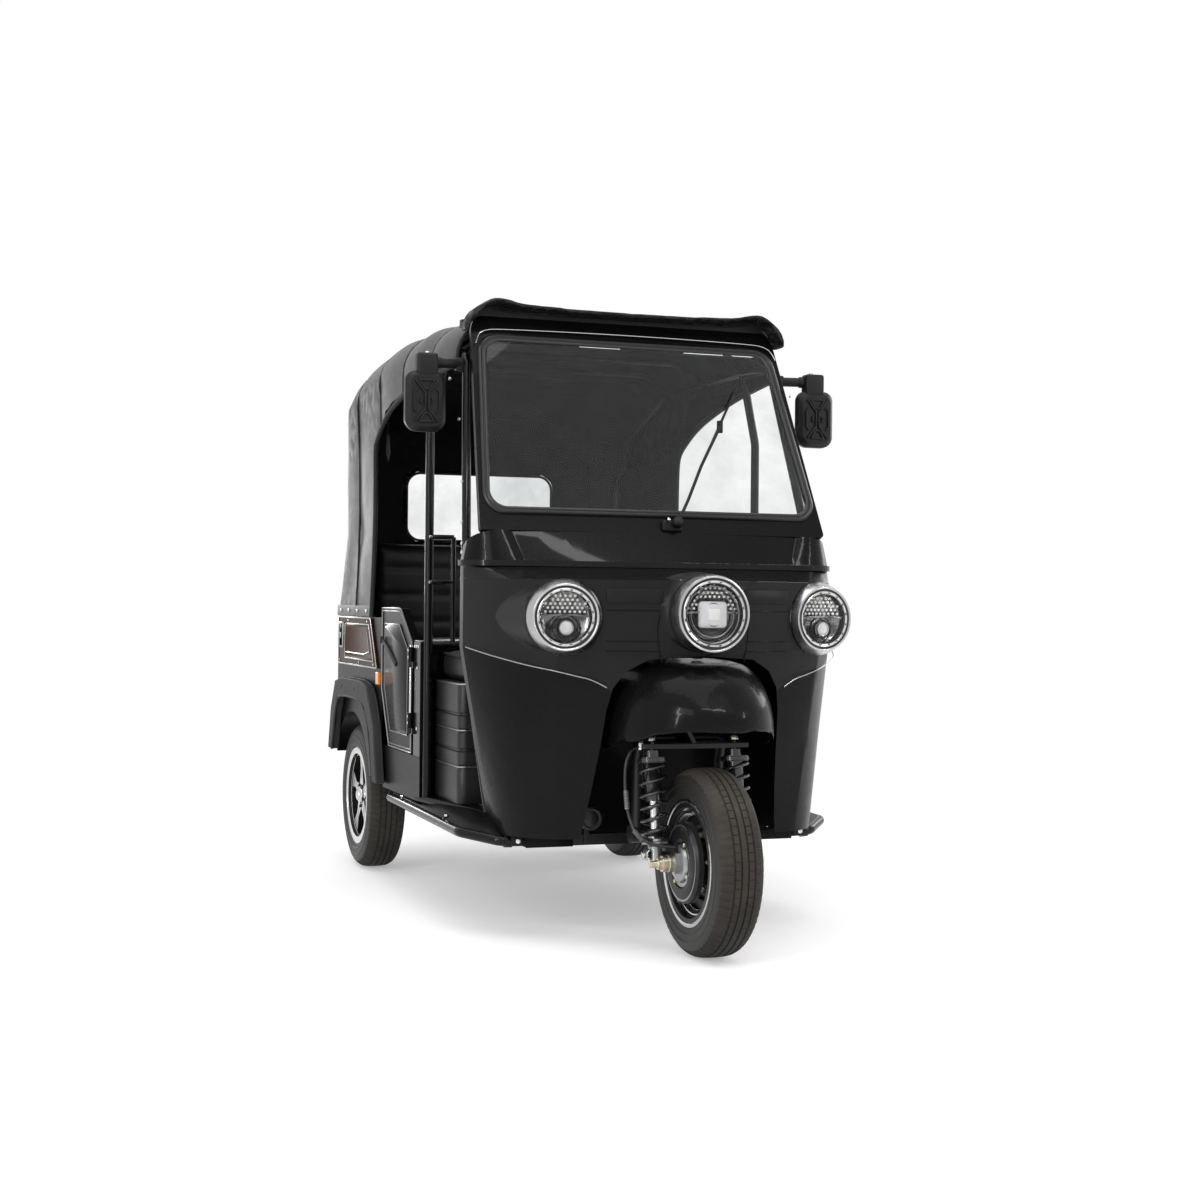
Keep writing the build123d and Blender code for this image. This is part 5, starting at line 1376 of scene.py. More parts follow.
        dress(turned("rim", frame, centre - up * 0.002, out, 64), "centre_projector_rim", LAMP_BOWL, root, ())


# ----------------------------------------------------------------- glazing
SCREEN_ORIGIN = (0.0, 385.0, 1150.0)
SCREEN_RAKE = math.radians(25.0)
SCREEN_OUT = Vector((0.0, -math.cos(SCREEN_RAKE), math.sin(SCREEN_RAKE)))
SCREEN_UP = Vector((0.0, math.sin(SCREEN_RAKE), math.cos(SCREEN_RAKE)))


def on_screen(x: float, up: float, lift: float) -> tuple:
    """Place in mm from the front axle of a point in the screen's own plane."""
    p = Vector(SCREEN_ORIGIN) + Vector((x, 0, 0)) + SCREEN_UP * up + SCREEN_OUT * lift
    return tuple(p)


def rounded_outline(corners: Sequence[Point], radii: Sequence[float], steps: int = 8) -> list:
    """Flat outline with rounded corners.

    Args:
        corners: (x, y) corners in order.
        radii: one radius for each corner.
        steps: points round each corner.

    Returns:
        The points of the rounded outline.
    """
    made = []
    count = len(corners)
    for k in range(count):
        a, b, c = (Vector(corners[(k + d) % count]) for d in (-1, 0, 1))
        u, w = (a - b).normalized(), (c - b).normalized()
        half = u.angle(w) / 2
        reach = radii[k] / math.tan(half)
        start, end = b + u * reach, b + w * reach
        hub = b + (u + w).normalized() * (radii[k] / math.sin(half))
        for i in range(steps + 1):
            t = i / steps
            spoke = (start - hub).lerp(end - hub, t).normalized() * radii[k]
            made.append(tuple(hub + spoke))
    return made


@dataclass
class Glazing:
    """Windscreen, its seal and frame, and the wiper."""
    low: float = 24.0
    high: float = 590.0
    wide_low: float = 500.0
    wide_high: float = 452.0
    wiper_x: float = 54.0

    def build(self) -> None:
        """Build the glazing."""
        root = Body.ROOT
        copies_of_nodes((
            ("screen_surround", "windscreen_frame", GLOSS_BLACK, "gloss_black", root, 5.0, 34.0),
            ("screen_pane", "windscreen_glass", GLASS, "screen_glass", root, 0.0, 34.0),
        ))
        self.seal()
        self.wiper()

    def outline(self, grow: float, r: float) -> list:
        """Rounded outline of the screen opening, grown by some mm."""
        w0, w1 = self.wide_low + grow, self.wide_high + grow
        corners = [(-w0, self.low - grow), (w0, self.low - grow), (w1, self.high + grow), (-w1, self.high + grow)]
        return rounded_outline(corners, (r, r, r, r), 10)

    def band(self, inner: tuple, outer: tuple, section: Sequence[tuple]) -> bpy.types.Object:
        """Closed band between two outlines.

        Args:
            inner: (grow, radius) of the inner outline.
            outer: (grow, radius) of the outer outline.
            section: (share from inner to outer, lift in mm) points of its cross section.

        Returns:
            The band as one closed mesh.
        """
        a, b = self.outline(*inner), self.outline(*outer)
        n, m = len(a), len(section)
        points, faces = [], []
        for p, q in zip(a, b):
            for share, lift in section:
                x, y = p[0] + (q[0] - p[0]) * share, p[1] + (q[1] - p[1]) * share
                points.append(at(*on_screen(x, y, lift)))
        for i in range(n):
            j = (i + 1) % n
            faces += ring_faces(m, i * m, j * m)
        obj = edit(mesh_piece("band", points, (), faces))
        close_edit(tidy=True)
        return shade(obj, 40.0)

    def seal(self) -> None:
        """Rubber seal with a double lip."""
        lips = [(0.0, -3.0), (0.0, 3.0), (0.10, 6.0), (0.24, 7.6), (0.36, 7.0), (0.44, 4.6), (0.52, 4.6), (0.60, 7.6),
                (0.74, 9.2), (0.88, 7.4), (1.0, 2.0), (1.0, 0.4), (0.4, 0.3)]
        obj = self.band((-16, 46), (8, 62), lips)
        dress(obj, "screen_seal", RUBBER, Body.ROOT, ("windscreen_seal",))

    def wiper(self) -> None:
        """Wiper: base block, arm, bridge and blade."""
        x = self.wiper_x
        body = slab("base", (x - 42, 366, 1126), (x + 20, 392, 1158), 7.0, 4)
        screws = [bar("bolt", on_screen(x + dx, -4, 24), on_screen(x + dx, -4, 36), 5.0, 6, 1.0) for dx in (-30, 6)]
        boss = turned("boss", [(0.3, 16), (15, 16), (16, 18), (16, 30), (12, 36), (7, 39), (0.3, 40)],
                      at(*on_screen(x, -9, 0)), SCREEN_OUT, 28)
        arm = strip("arm", [on_screen(x, -9, 27), on_screen(x + 40, 60, 31), on_screen(x + 98, 170, 30),
                            on_screen(x + 130, 222, 26), on_screen(x + 186, 312, 22)], 9.0, 5.0, SCREEN_OUT)
        blade = strip("blade", [on_screen(x + 102, 170, 10), on_screen(x + 184, 312, 11), on_screen(x + 266, 452, 10)],
                      7.0, 8.0, SCREEN_OUT)
        spine = tube("spine", [on_screen(x + 102, 170, 20), on_screen(x + 184, 311, 22), on_screen(x + 266, 452, 20)],
                     3.2, 10)
        clip = slab("clip", tuple(Vector(on_screen(x + 186, 312, 16)) - Vector((9, 6, 16))),
                    tuple(Vector(on_screen(x + 186, 312, 26)) + Vector((9, 6, 16))), 3.0, 3)
        whole = joined("wiper", [body, boss, arm, blade, spine, clip])
        dress(whole, "wiper_assembly", MATTE_PLASTIC, Body.ROOT, ("wiper",))
        dress(joined("bolts", screws), "wiper_bolts", BRIGHT)


# ----------------------------------------------------------------- mirrors
@dataclass
class Mirrors:
    """Two mirrors with embossed backs."""
    x: float = 612.0
    z: float = 1490.0
    front: float = 612.0
    # distance behind the front axle, width, height, corner radius
    sections: tuple = ((612.0, 92.0, 146.0, 22.0), (616.0, 100.0, 154.0, 24.0), (626.0, 117.0, 171.0, 28.0),
                       (642.0, 118.0, 172.0, 28.0), (652.0, 112.0, 166.0, 27.0), (656.0, 106.0, 160.0, 26.0))
    # embossed lines on the forward face: points as shares of half width and half height
    ridges: tuple = (
        ((-0.10, 0.30), (-0.10, -0.30)), ((0.10, 0.30), (0.10, -0.30)), ((-0.10, 0.30), (-0.72, 0.80)),
        ((0.10, 0.30), (0.72, 0.80)), ((-0.10, -0.30), (-0.72, -0.80)), ((0.10, -0.30), (0.72, -0.80)),
        ((-0.50, 0.80), (0.50, 0.80), (0.16, 0.46), (-0.16, 0.46), (-0.50, 0.80)),
        ((-0.46, -0.80), (0.46, -0.80), (0.16, -0.48), (-0.16, -0.48), (-0.46, -0.80)),
        ((-0.62, 0.46), (-0.80, 0.34), (-0.80, -0.34), (-0.62, -0.46)),
        ((0.62, 0.46), (0.80, 0.34), (0.80, -0.34), (0.62, -0.46)),
        ((-0.28, 0.12), (-0.42, 0.0), (-0.28, -0.12)), ((0.28, 0.12), (0.42, 0.0), (0.28, -0.12)),
    )

    def build(self) -> None:
        """Build the left mirror and the right one."""
        for tag, s in SIDES:
            self.mirror(tag, s)

    def mirror(self, tag: str, s: int) -> None:
        """One mirror: shell with its relief, elbow, arm and foot, the glass and the bolts."""
        outlines = []
        for y, w, h, r in self.sections:
            corners = [(-w / 2, -h / 2), (w / 2, -h / 2), (w / 2, h / 2), (-w / 2, h / 2)]
            outlines.append([at(s * (self.x + px), y, self.z + pz)
                             for px, pz in rounded_outline(corners, (r * 1.25, r * 1.25, r, r), 6)])
        n = len(outlines[0])
        points = [p for outline in outlines for p in outline]
        faces = [tuple(range(n)), tuple(reversed([len(points) - n + k for k in range(n)]))]
        for row in range(len(outlines) - 1):
            faces += ring_faces(n, row * n, (row + 1) * n)
        shell = edit(mesh_piece("shell", points, (), faces))
        close_edit(tidy=True)
        shade(shell, 30.0)
        parts = [shell]
        half_w, half_h = 46.0, 73.0
        for line in self.ridges:
            path = [(s * (self.x + px * half_w), self.front + 0.4, self.z + pz * half_h) for px, pz in line]
            for a, b in zip(path, path[1:]):
                parts.append(strip("ridge", [a, b], 5.4, 6.4, Vector((0, -1, 0))))
        elbow = slab("elbow", (s * 578, 614, 1562), (s * 638, 658, 1628), 8.0, 3)
        neck = slab("neck", (s * 590, 622, 1545), (s * 628, 650, 1580), 5.0, 2)
        arm = bar("arm", (s * 500, 660, 1604), (s * 590, 642, 1604), 14.0, 28, 1.0)
        collar = bar("collar", (s * 566, 647, 1604), (s * 580, 644, 1604), 17.0, 28, 1.5)
        foot = slab("foot", (s * 492, 646, 1586), (s * 516, 676, 1622), 4.0, 2)
        whole = joined("mirror", parts + [elbow, neck, arm, collar, foot])
        dress(whole, "mirror_shell_" + tag, MATTE_PLASTIC, Body.ROOT, ("mirrors",) if s > 0 else ())
        corners = [(-48, -75), (48, -75), (48, 75), (-48, 75)]
        glass = [at(s * self.x + px, 656.8, self.z + pz) for px, pz in rounded_outline(corners, (20,) * 4, 6)]
        plate = edit(mesh_piece("glass", glass, (), [tuple(range(len(glass)))]))
        bpy.ops.mesh.select_all(action="SELECT")
        bpy.ops.mesh.extrude_region_move(TRANSFORM_OT_translate={"value": (0, -0.003, 0)})
        close_edit(tidy=True)
        dress(soften(plate, 0.5), "mirror_glass_" + tag, MIRROR_GLASS)
        bolts = [bar("bolt", (s * 604, 640, 1628), (s * 604, 640, 1634), 6.0, 6, 1.2),
                 bar("bolt", (s * 516, 660, 1604), (s * 523, 660, 1604), 7.0, 6, 1.2)]
        dress(joined("bolts", bolts), "mirror_bolts_" + tag, BRIGHT)


# ------------------------------------------------------------------ canopy
def between(rows: Sequence[tuple], key: float, column: int) -> float:
    """Read a column of a table at a key that lies between its rows."""
    if key <= rows[0][0]:
        return rows[0][column]
    for a, b in zip(rows, rows[1:]):
        if key <= b[0]:
            share = (key - a[0]) / (b[0] - a[0])
            return a[column] + (b[column] - a[column]) * share
    return rows[-1][column]


@dataclass
class Canopy:
    """Vinyl hood stretched over the hoops, with piping, binding, hem and rear window."""
    # y, half width, top height, shoulder radius
    hull: tuple = ((692.0, 500.0, 1741.0, 115.0), (1020.0, 534.0, 1757.0, 125.0), (1450.0, 550.0, 1757.0, 130.0),
                   (1850.0, 550.0, 1724.0, 140.0), (1990.0, 550.0, 1682.0, 150.0), (2100.0, 550.0, 1622.0, 150.0),
                   (2188.0, 550.0, 1545.0, 150.0))
    # height, half width and radius of the upright rear corners
    corners: tuple = ((868.0, 550.0, 100.0), (1000.0, 544.0, 160.0), (1150.0, 538.0, 220.0), (1400.0, 541.0, 240.0),
                      (1800.0, 550.0, 270.0))
    opening: tuple = ((1565, 868), (1565, 1000), (1565, 1200), (1565, 1390), (1556, 1436), (1520, 1466), (1389, 1527),
                      (1173, 1571), (980, 1596), (700, 1609))
    seams: tuple = (692.0, 905.0, 1180.0, 1470.0, 1800.0, 2188.0)
    bulge: float = 9.0
    # coarse and fine creases, mm, and the height that the bulge turns round, metres
    creases: tuple = (5.0, 1.6)
    hub_z: float = 1.15
    rear: float = 2188.0
    window: tuple = (1272.0, 560.0, 250.0)
    # girth and centre length down to the hem, metres, and the solid's volume over its 4 mm wall, square metres
    cut: tuple = (2.745, 2.225)
    cut_area: float = 3.26
    pane_cut: tuple = (0.59, 0.28)
    pane_area: float = 0.162

    def build(self) -> None:
        """Build the hood and what is sewn to it."""
        self.hood()
        self.seam_piping()
        self.edge_binding()
        self.hem()
        self.rear_window()

    def side_x(self, y: float, z: float) -> float:
        """Half width of the hood's upright side."""
        return min(between(self.hull, y, 1), between(self.corners, z, 1))

    def hood(self) -> None:
        """Hood of vinyl, drawn out between its seams and slightly creased."""
        from mathutils import noise
        obj = from_frame("hood", "canopy", 0.0, 60.0, 0.2)
        edit(obj)
        bpy.ops.mesh.select_all(action="SELECT")
        bpy.ops.mesh.quads_convert_to_tris()
        mesh = bmesh.from_edit_mesh(obj.data)
        for reach in (0.30, 0.16, 0.09, 0.05, 0.032):
            long_edges = [e for e in mesh.edges if e.calc_length() > reach]
            bmesh.ops.subdivide_edges(mesh, edges=long_edges, cuts=1, use_grid_fill=False)
            bmesh.ops.triangulate(mesh, faces=[f for f in mesh.faces if len(f.verts) > 3])
        bmesh.update_edit_mesh(obj.data)
        close_edit()
        for vertex in obj.data.vertices:
            p = vertex.co
            y = p.y / MM + Y_MID
            away = Vector((p.x, 0.0, max(0.0, p.z - self.hub_z)))
            if abs(p.x) * 1.2 < 0.5 and p.z < 1.6 and y > 2100:
                away = Vector((p.x * 0.3, 0.4, 0.0))
            if away.length < 1e-4:
                continue
            away.normalize()
            for a, b in zip(self.seams, self.seams[1:]):
                if a <= y <= b:
                    share = math.sin(math.pi * (y - a) / (b - a)) ** 0.7
                    size = self.bulge if p.z > 1.35 else self.bulge * max(0.0, (p.z - 0.9) / 0.45)
                    vertex.co = p + away * (share * size * MM)
            fade = min(1.0, max(0.0, (p.z - 0.89) / 0.1))
            crease = noise.noise(Vector((p.x * 2.2, p.y * 5.0 + p.z * 3.0, p.z * 2.0)))
            fine = noise.noise(Vector((p.x * 7.0, p.y * 11.0, p.z * 9.0 + 4.0)))
            vertex.co = vertex.co + away * ((crease * self.creases[0] + fine * self.creases[1]) * fade * MM)
        modify(obj, "SMOOTH", iterations=3, factor=0.4)
        shade(obj, 70.0)
        dress(obj, "hood_vinyl", VINYL, Body.ROOT, ("canopy",))
        # Painted shade: faces that look into the cab take the near-black finish, for the shade inside the hood.
        paint(obj, [(DARK_TRIM_AND_PAINTED_SHADE, lambda c, n: n.dot(Vector((c.x, max(0.0, c.y - 1750.0) * 1.3,
                                                      (c.z - 1150.0) * 1.0 if c.z > 1150 else 0.0))) < 0)])
        log.info("hood area %.2f m2", sum(face.area for face in obj.data.polygons) / 2)

    def arch(self, y: float, low: float, lift: float, steps: int = 7) -> list:
        """Points over the hood at one place along it, from one side to the other."""
        w, top, r = (between(self.hull, y, k) for k in (1, 2, 3))
        r += lift
        line = [(self.side_x(y, low) + lift, y, low)]
        for z in (low + (top - r - low) * k / 4 for k in range(1, 4)):
            line.append((self.side_x(y, z) + lift, y, z))
        for k in range(steps + 1):
            a = math.radians(90 * k / steps)
            line.append((w - (r - lift) + r * math.cos(a), y, top - (r - lift) + r * math.sin(a)))
        return line + [(-x, py, pz) for x, py, pz in reversed(line)]

    def seam_piping(self) -> None:
        """Dark piping over the seams."""
        parts = []
        rows = ((905.0, 1602.0), (1180.0, 1570.0), (1470.0, 1490.0), (1800.0, 872.0))
        for y, low in rows:
            parts.append(tube("piping", self.arch(y, low, 2.0), 4.2, 10, smooth=False))
        for s in (1, -1):
            line = []
            for z in (872, 950, 1050, 1150, 1300, 1420, 1500, 1560):
                w, r = between(self.corners, z, 1), between(self.corners, z, 2)
                angle = math.radians(52)
                line.append((s * (w - r + (r + 3) * math.cos(angle)), self.rear - r + (r + 3) * math.sin(angle), z))
            parts.append(tube("piping", line, 3.6, 10))
        dress(joined("piping", parts), "hood_piping", BINDING)

    def edge_binding(self) -> None:
        """Thick binding round the side openings and at the front edge."""
        for tag, s in SIDES:
            line = [(s * (self.side_x(y, z) + 0.5), y, z) for y, z in self.opening]
            edge = tube("edge", line, 8.0, 14)
            dress(edge, "opening_binding_" + tag, BINDING)
            stitches = []
            for k in range(len(self.opening) - 1):
                a, b = Vector(line[k]), Vector(line[k + 1])
                count = max(1, int((b - a).length / 16))
                shift = Vector((s * 2.2, 14.0 if k < 4 else 4.0, 8.0 if k < 4 else 13.0))
                for i in range(count):
                    p = a.lerp(b, i / count) + shift
                    stitches.append((p, p + (b - a).normalized() * 8))
            bits = [bar("stitch", p, q, 0.9, 5, 0.0) for p, q in stitches]
            dress(joined("stitches", bits), "opening_stitches_" + tag, SILVER_TRIM)
        front = tube("front", self.arch(694.0, 1612.0, 1.5), 6.0, 12, smooth=False)
        dress(front, "hood_front_binding", BINDING)

    def hem(self) -> None:
        """Folded hem along the body with press studs."""
        plan = [(self.side_x(1570, 880), 1570.0)]
        r = 104.0
        for k in range(9):
            a = math.radians(90 * k / 8)
            plan.append((550 - r + r * math.cos(a), self.rear - r + r * math.sin(a)))
        plan += [(-x, y) for x, y in reversed(plan)]
        rows, faces = [], []
        for k, (x, y) in enumerate(plan):
            before, after = plan[max(0, k - 1)], plan[min(len(plan) - 1, k + 1)]
            along = Vector((after[0] - before[0], after[1] - before[1], 0)).normalized()
            out = Vector((along.y, -along.x, 0))
            if out.dot(Vector((x, y - 1700, 0))) < 0:
                out = -out
            for lift, z in ((0.2, 869), (4.2, 869), (5.2, 874), (4.6, 900), (3.6, 906), (0.2, 906)):
                rows.append(at(x + out.x * lift, y + out.y * lift, z))
            if k:
                a, b = 6 * (k - 1), 6 * k
                faces += ring_faces(6, a, b)
        faces += [tuple(range(5, -1, -1)), tuple(len(rows) - 6 + i for i in range(6))]
        obj = edit(mesh_piece("hem", rows, (), faces))
        close_edit(tidy=True)
        dress(shade(obj, 40.0), "hood_hem", VINYL)
        studs = []
        for s in (1, -1):
            for y in (1620, 1760, 1900, 2030):
                studs.append(bar("stud", (s * 552, y, 888), (s * 558.5, y, 888), 7.0, 20, 1.8))
        for x in (-300, -100, 100, 300):
            studs.append(bar("stud", (x, self.rear + 3, 888), (x, self.rear + 9.5, 888), 7.0, 20, 1.8))
        dress(joined("studs", studs), "hem_press_studs", BRIGHT)

    def rear_window(self) -> None:
        """Clear rear window with a sewn border and two straps."""
        pane = from_frame("pane", "rear_window", 0.0)
        dress(pane, "rear_window_sheet", CLEAR_SHEET, Body.ROOT, ("rear_window",))
        z, w, h = self.window
        corners = [(-w / 2, z - h / 2), (w / 2, z - h / 2), (w / 2, z + h / 2), (-w / 2, z + h / 2)]
        ring = [(x, self.rear + 5.5, pz) for x, pz in rounded_outline(corners, (52,) * 4, 8)]
        border = tube("border", ring, 5.0, 12, smooth=False, cyclic=True)
        outer = [(x * 1.07, self.rear + 6.5, z + (pz - z) * 1.15) for x, _, pz in ring]
        second = tube("border", outer, 2.4, 8, smooth=False, cyclic=True)
        dress(joined("border", [border, second]), "rear_window_border", BINDING)
        straps = []
        for x in (-180, 180):
            straps.append(strip("strap", [(x, self.rear + 5, 1545), (x, self.rear + 8, 1500), (x, self.rear + 8, 1440)],
                                24.0, 2.6, Vector((0, 1, 0))))
            straps.append(slab("buckle", (x - 17, self.rear + 7, 1450), (x + 17, self.rear + 13, 1474), 2.5, 2))
        dress(joined("straps", straps), "rear_window_straps", BINDING)


# ------------------------------------------------------------------- cabin
PAD_INSET = 4.0         # a pad starts this much smaller, mm
PAD_PRESSURE = 4.0
PAD_FRAMES = 14
CHANNEL_REACH = 9.0     # half width of a sewn channel, mm


def stuffed(name: str, low: Point, high: Point, cap: float = 12.0, round_by: float = 26.0, voxel: float = 0.011,
            channels: Sequence[tuple] = ()) -> bpy.types.Object:
    """Padded piece: a rounded block swollen with cloth, then quilted.

    The cloth swells far past the cap, so it gives the direction of each point and the cap how far it goes.

    Args:
        name: the piece's name.
        low: lowest corner in mm from the front axle.
        high: highest corner.
        cap: how far a point may swell, mm.
        round_by: rounding of the block before it swells, mm.
        voxel: remesh size, metres.
        channels: (axis, place in mm, depth in mm, direction) of each sewn channel; the direction is the outward
            normal of the quilted face.

    Returns:
        The padded piece.
    """
    obj = slab(name, [c + PAD_INSET for c in low], [c - PAD_INSET for c in high], round_by, 4)
    modify(obj, "REMESH", mode="VOXEL", voxel_size=voxel)
    start = [v.co.copy() for v in obj.data.vertices]
    pick(obj)
    cloth = obj.modifiers.new("cloth", "CLOTH")
    cloth.settings.use_pressure = True
    cloth.settings.uniform_pressure_force = PAD_PRESSURE
    cloth.settings.effector_weights.gravity = 0.0
    scene = bpy.context.scene
    for frame in range(1, PAD_FRAMES + 1):
        scene.frame_set(frame)
    bpy.ops.object.modifier_apply(modifier=cloth.name)
    scene.frame_set(1)
    moves = [(vertex.co - home).length / MM for vertex, home in zip(obj.data.vertices, start)]
    log.info("%s swells by %.2f mm on average, %.2f mm at most, cap %.1f mm, %d points",
             name, sum(moves) / len(moves), max(moves), cap, len(moves))
    for vertex, home in zip(obj.data.vertices, start):
        move = vertex.co - home
        if move.length > cap * MM:
            vertex.co = home + move.normalized() * (cap * MM)
    for axis, place, depth, face in channels:
        key = "xyz".index(axis)
        middle = at(*[place if k == key else 0.0 for k in range(3)])[key]
        for vertex in obj.data.vertices:
            facing = vertex.normal.dot(Vector(face))
            if facing > 0.35:
                away = (vertex.co[key] - middle) / (CHANNEL_REACH * MM)
                vertex.co -= Vector(face) * (depth * MM * math.exp(-away * away) * facing)
    modify(obj, "SUBSURF", levels=1, render_levels=1)
    return shade(obj, 80.0)


@dataclass
class Cabin:
    """Seats, dashboard, tubes, partition and what hangs inside."""
    seat_x: float = 500.0
    seat_y: tuple = (640.0, 925.0)
    # height and inset of the seat box's rows
    seat_rows: tuple = ((341.0, 2.0), (346.0, 0.0), (440.0, 0.0), (445.0, 3.0), (452.0, 3.0), (456.0, 0.0),
                        (491.0, 0.0),
                        (494.0, 5.0), (499.0, 5.0), (502.0, 0.0), (546.0, 0.0), (550.0, 3.0), (557.0,
                                                                                               3.0), (561.0, 0.0),
                        (594.0, 0.0), (597.0, 5.0), (602.0, 5.0), (605.0, 0.0), (682.0, 0.0), (689.5, 4.0))

    def build(self) -> None:
        """Build the cabin."""
        root = Body.ROOT
        copies_of_nodes((
            ("cab_tubes", "side_frames", FRAME_BLACK, "black_steel", root, 0.0, 40.0),
            ("roof_bows", "roof_hoops", FRAME_BLACK, "black_steel", root, 0.0, 40.0),
            ("partition_wall", "partition", FRAME_BLACK, "black_steel", root, 1.5, 34.0),
            ("rear_bench", "rear_seat_base", DARK_TRIM_AND_PAINTED_SHADE, "black_trim", root, 2.0, 34.0),
            ("dash_shelf", "dashboard", MATTE_PLASTIC, "black_trim", root, 3.0, 34.0),
        ))
        self.seat_box()
        self.cushions()
        self.dash_details()
        self.small_fittings()
        self.floor_ribs()

    def seat_box(self) -> None:
        """Ribbed cover of the driver's seat box, with silver beads in its channels that are painted highlights."""
        points, faces = [], []
        n = 0
        for z, inset in self.seat_rows:
            x, y0, y1 = self.seat_x - inset, self.seat_y[0] + inset, self.seat_y[1] - inset
            outline = rounded_outline([(-x, y0), (x, y0), (x, y1), (-x, y1)], (24,) * 4, 5)
            n = len(outline)
            points += [at(px, py, z) for px, py in outline]
        for row in range(len(self.seat_rows) - 1):
            faces += ring_faces(n, row * n, (row + 1) * n)
        faces += [tuple(range(n)), tuple(len(points) - n + k for k in range(n))]
        obj = edit(mesh_piece("box", points, (), faces))
        close_edit(tidy=True)
        dress(shade(obj, 40.0), "seat_box_cover", LEATHERETTE, Body.ROOT, ("driver_seat_base",))
        # Painted highlight: silver beads in the channels stand in for the light lines that the steps of the cover
        # catch.
        beads = []
        for z in (448.5, 553.5, 686.0):
            x, y0, y1 = self.seat_x - 1.5, self.seat_y[0] + 1.5, self.seat_y[1] - 1.5
            outline = rounded_outline([(-x, y0), (x, y0), (x, y1), (-x, y1)], (24,) * 4, 5)
            beads.append(tube("bead", [(px, py, z) for px, py in outline], 2.2, 8, smooth=False, cyclic=True))
        dress(joined("beads", beads), "seat_box_painted_highlights", SILVER_TRIM)

    def cushions(self) -> None:
        """Four padded pieces and their piping."""
        up, ahead = (0, 0, 1), (0, -1, 0)
        rows = (
            ("driver_cushion_pad", "driver_cushion", (-490, 632, 690.3), (490, 932, 775), 8.0,
             [("x", x, 6.0, up) for x in (-370, -245, -120, 0, 120, 245, 370)]),
            ("driver_backrest_pad", "driver_backrest", (-300, 884, 815), (300, 936, 1062), 6.0,
             [("x", x, 5.0, ahead) for x in (-180, -60, 60, 180)]),
            ("rear_cushion_pad", "rear_cushion", (-520, 1420, 650.3), (520, 1918, 757), 9.0,
             [("x", x, 7.0, up) for x in (-350, -175, 0, 175, 350)] + [("y", 1500, 5.0, up)]),
            ("rear_backrest_pad", "rear_backrest", (-464, 1922, 757), (464, 2006, 1135), 8.0,
             [("z", z, 6.0, ahead) for z in (850, 945, 1040)]),
        )
        for name, node, low, high, cap, channels in rows:
            pad = stuffed(name, low, high, cap, min(24.0, (high[2] - low[2]) * 0.3, (high[1] - low[1]) * 0.42), 0.012,
                          channels)
            dress(pad, name, LEATHERETTE, Body.ROOT, (node,))
        for z, low, high, name in ((768.0, (-478, 644), (478, 920), "driver_cushion_piping"),
                                   (748.0, (-506, 1434), (506, 1904), "rear_cushion_piping")):
            outline = rounded_outline([low, (high[0], low[1]), high, (low[0], high[1])], (34,) * 4, 6)
            line = [(x, y, z) for x, y in outline]
            dress(tube(name, line, 3.2, 10, smooth=False, cyclic=True), name, BINDING)

    def dash_details(self) -> None:
        """Instrument binnacle with two dials, and switches beside it."""
        z = 1117.0
        hood = slab("hood", (-96, 402, z - 4), (96, 436, z + 26), 9.0, 4)
        dress(hood, "dash_binnacle", MATTE_PLASTIC)
        tilt = Vector((0, 0.94, 0.34))
        for k, x in enumerate((-44, 44)):
            face = turned("dial", [(0.3, 0), (19, 0), (20, 3), (18, 5.0), (16, 3.8), (0.3, 3.8)],
                          at(x, 432, z + 12), tilt, 40)
            dress(face, "dash_dial_%d" % k, LAMP_BOWL)
            needle = bar("needle", Vector((x, 437, z + 14)), Vector((x + 8, 438, z + 22)), 0.9, 6, 0.2)
            dress(needle, "dash_needle_%d" % k, AMBER)
        keys = [slab("key", (x - 9, 404, z - 3), (x + 9, 422, z + 4), 2.0, 2) for x in (150, 180, 210, -150, -180)]
        dress(joined("keys", keys), "dash_switches", SATIN)

    def small_fittings(self) -> None:
        """Hanging strap, a silver rail that is a painted highlight along the partition's top edge, bolts and caps of
        the posts.
        """
        loop = strip("loop", [(-512, 1510, 1520), (-514, 1516, 1470), (-512, 1520, 1410), (-510, 1506, 1392),
                              (-510, 1492, 1410), (-512, 1500, 1470)], 20.0, 2.4, Vector((-1, 0, 0)))
        dress(loop, "hanging_strap", BINDING)
        # Painted highlight: a silver rail along the top of the lower partition wall stands in for the line of light on
        # its edge.
        rail = tube("rail", [(-520, 949, 801), (0, 949, 801), (520, 949, 801)], 12.6, 16, smooth=False)
        dress(rail, "partition_top_painted_highlight", SILVER_TRIM)
        bolts = []
        for s in (1, -1):
            for z in (1115, 980):
                bolts.append(bar("bolt", (s * 530, 885 - 13, z), (s * 530, 885 - 17, z), 5.0, 14, 1.2))
            for y, z in ((915, 806), (940, 806), (962, 806), (930, 742), (930, 560)):
                bolts.append(bar("bolt", (s * 549, y, z - 20), (s * 554, y, z - 20), 5.0, 14, 1.4))
            for x in (470, 420, 360, 300):
                bolts.append(bar("bolt", (s * x, 948, 800), (s * x, 938, 800), 5.0, 14, 1.2))
        dress(joined("bolts", bolts), "cabin_bolts", BRIGHT)
        rail_tops = [strip("top", [(s * 536, 904, 801.5), (s * 536, 976, 801.5)], 26.0, 3.5, Vector((0, 0, 1)))
                     for s in (1, -1)]
        dress(joined("tops", rail_tops), "post_caps", SILVER_TRIM)

    def floor_ribs(self) -> None:
        """Rubber mat with ribs along the driver's floor and the passengers' floor."""
        ribs = []
        for y0, y1, half in ((560, 632, 440), (1010, 1395, 440)):
            mat = slab("mat", (-half, y0, 340.4), (half, y1, 344.0), 1.5, 1)
            ribs.append(mat)
            count = int(2 * half / 26)
            for k in range(count):
                x = -half + 16 + k * 26
                ribs.append(slab("rib", (x, y0 + 8, 343.6), (x + 11, y1 - 8, 346.2), 0.8, 1))
        dress(joined("mat", ribs), "cabin_floor_mat", FLOOR_MAT)


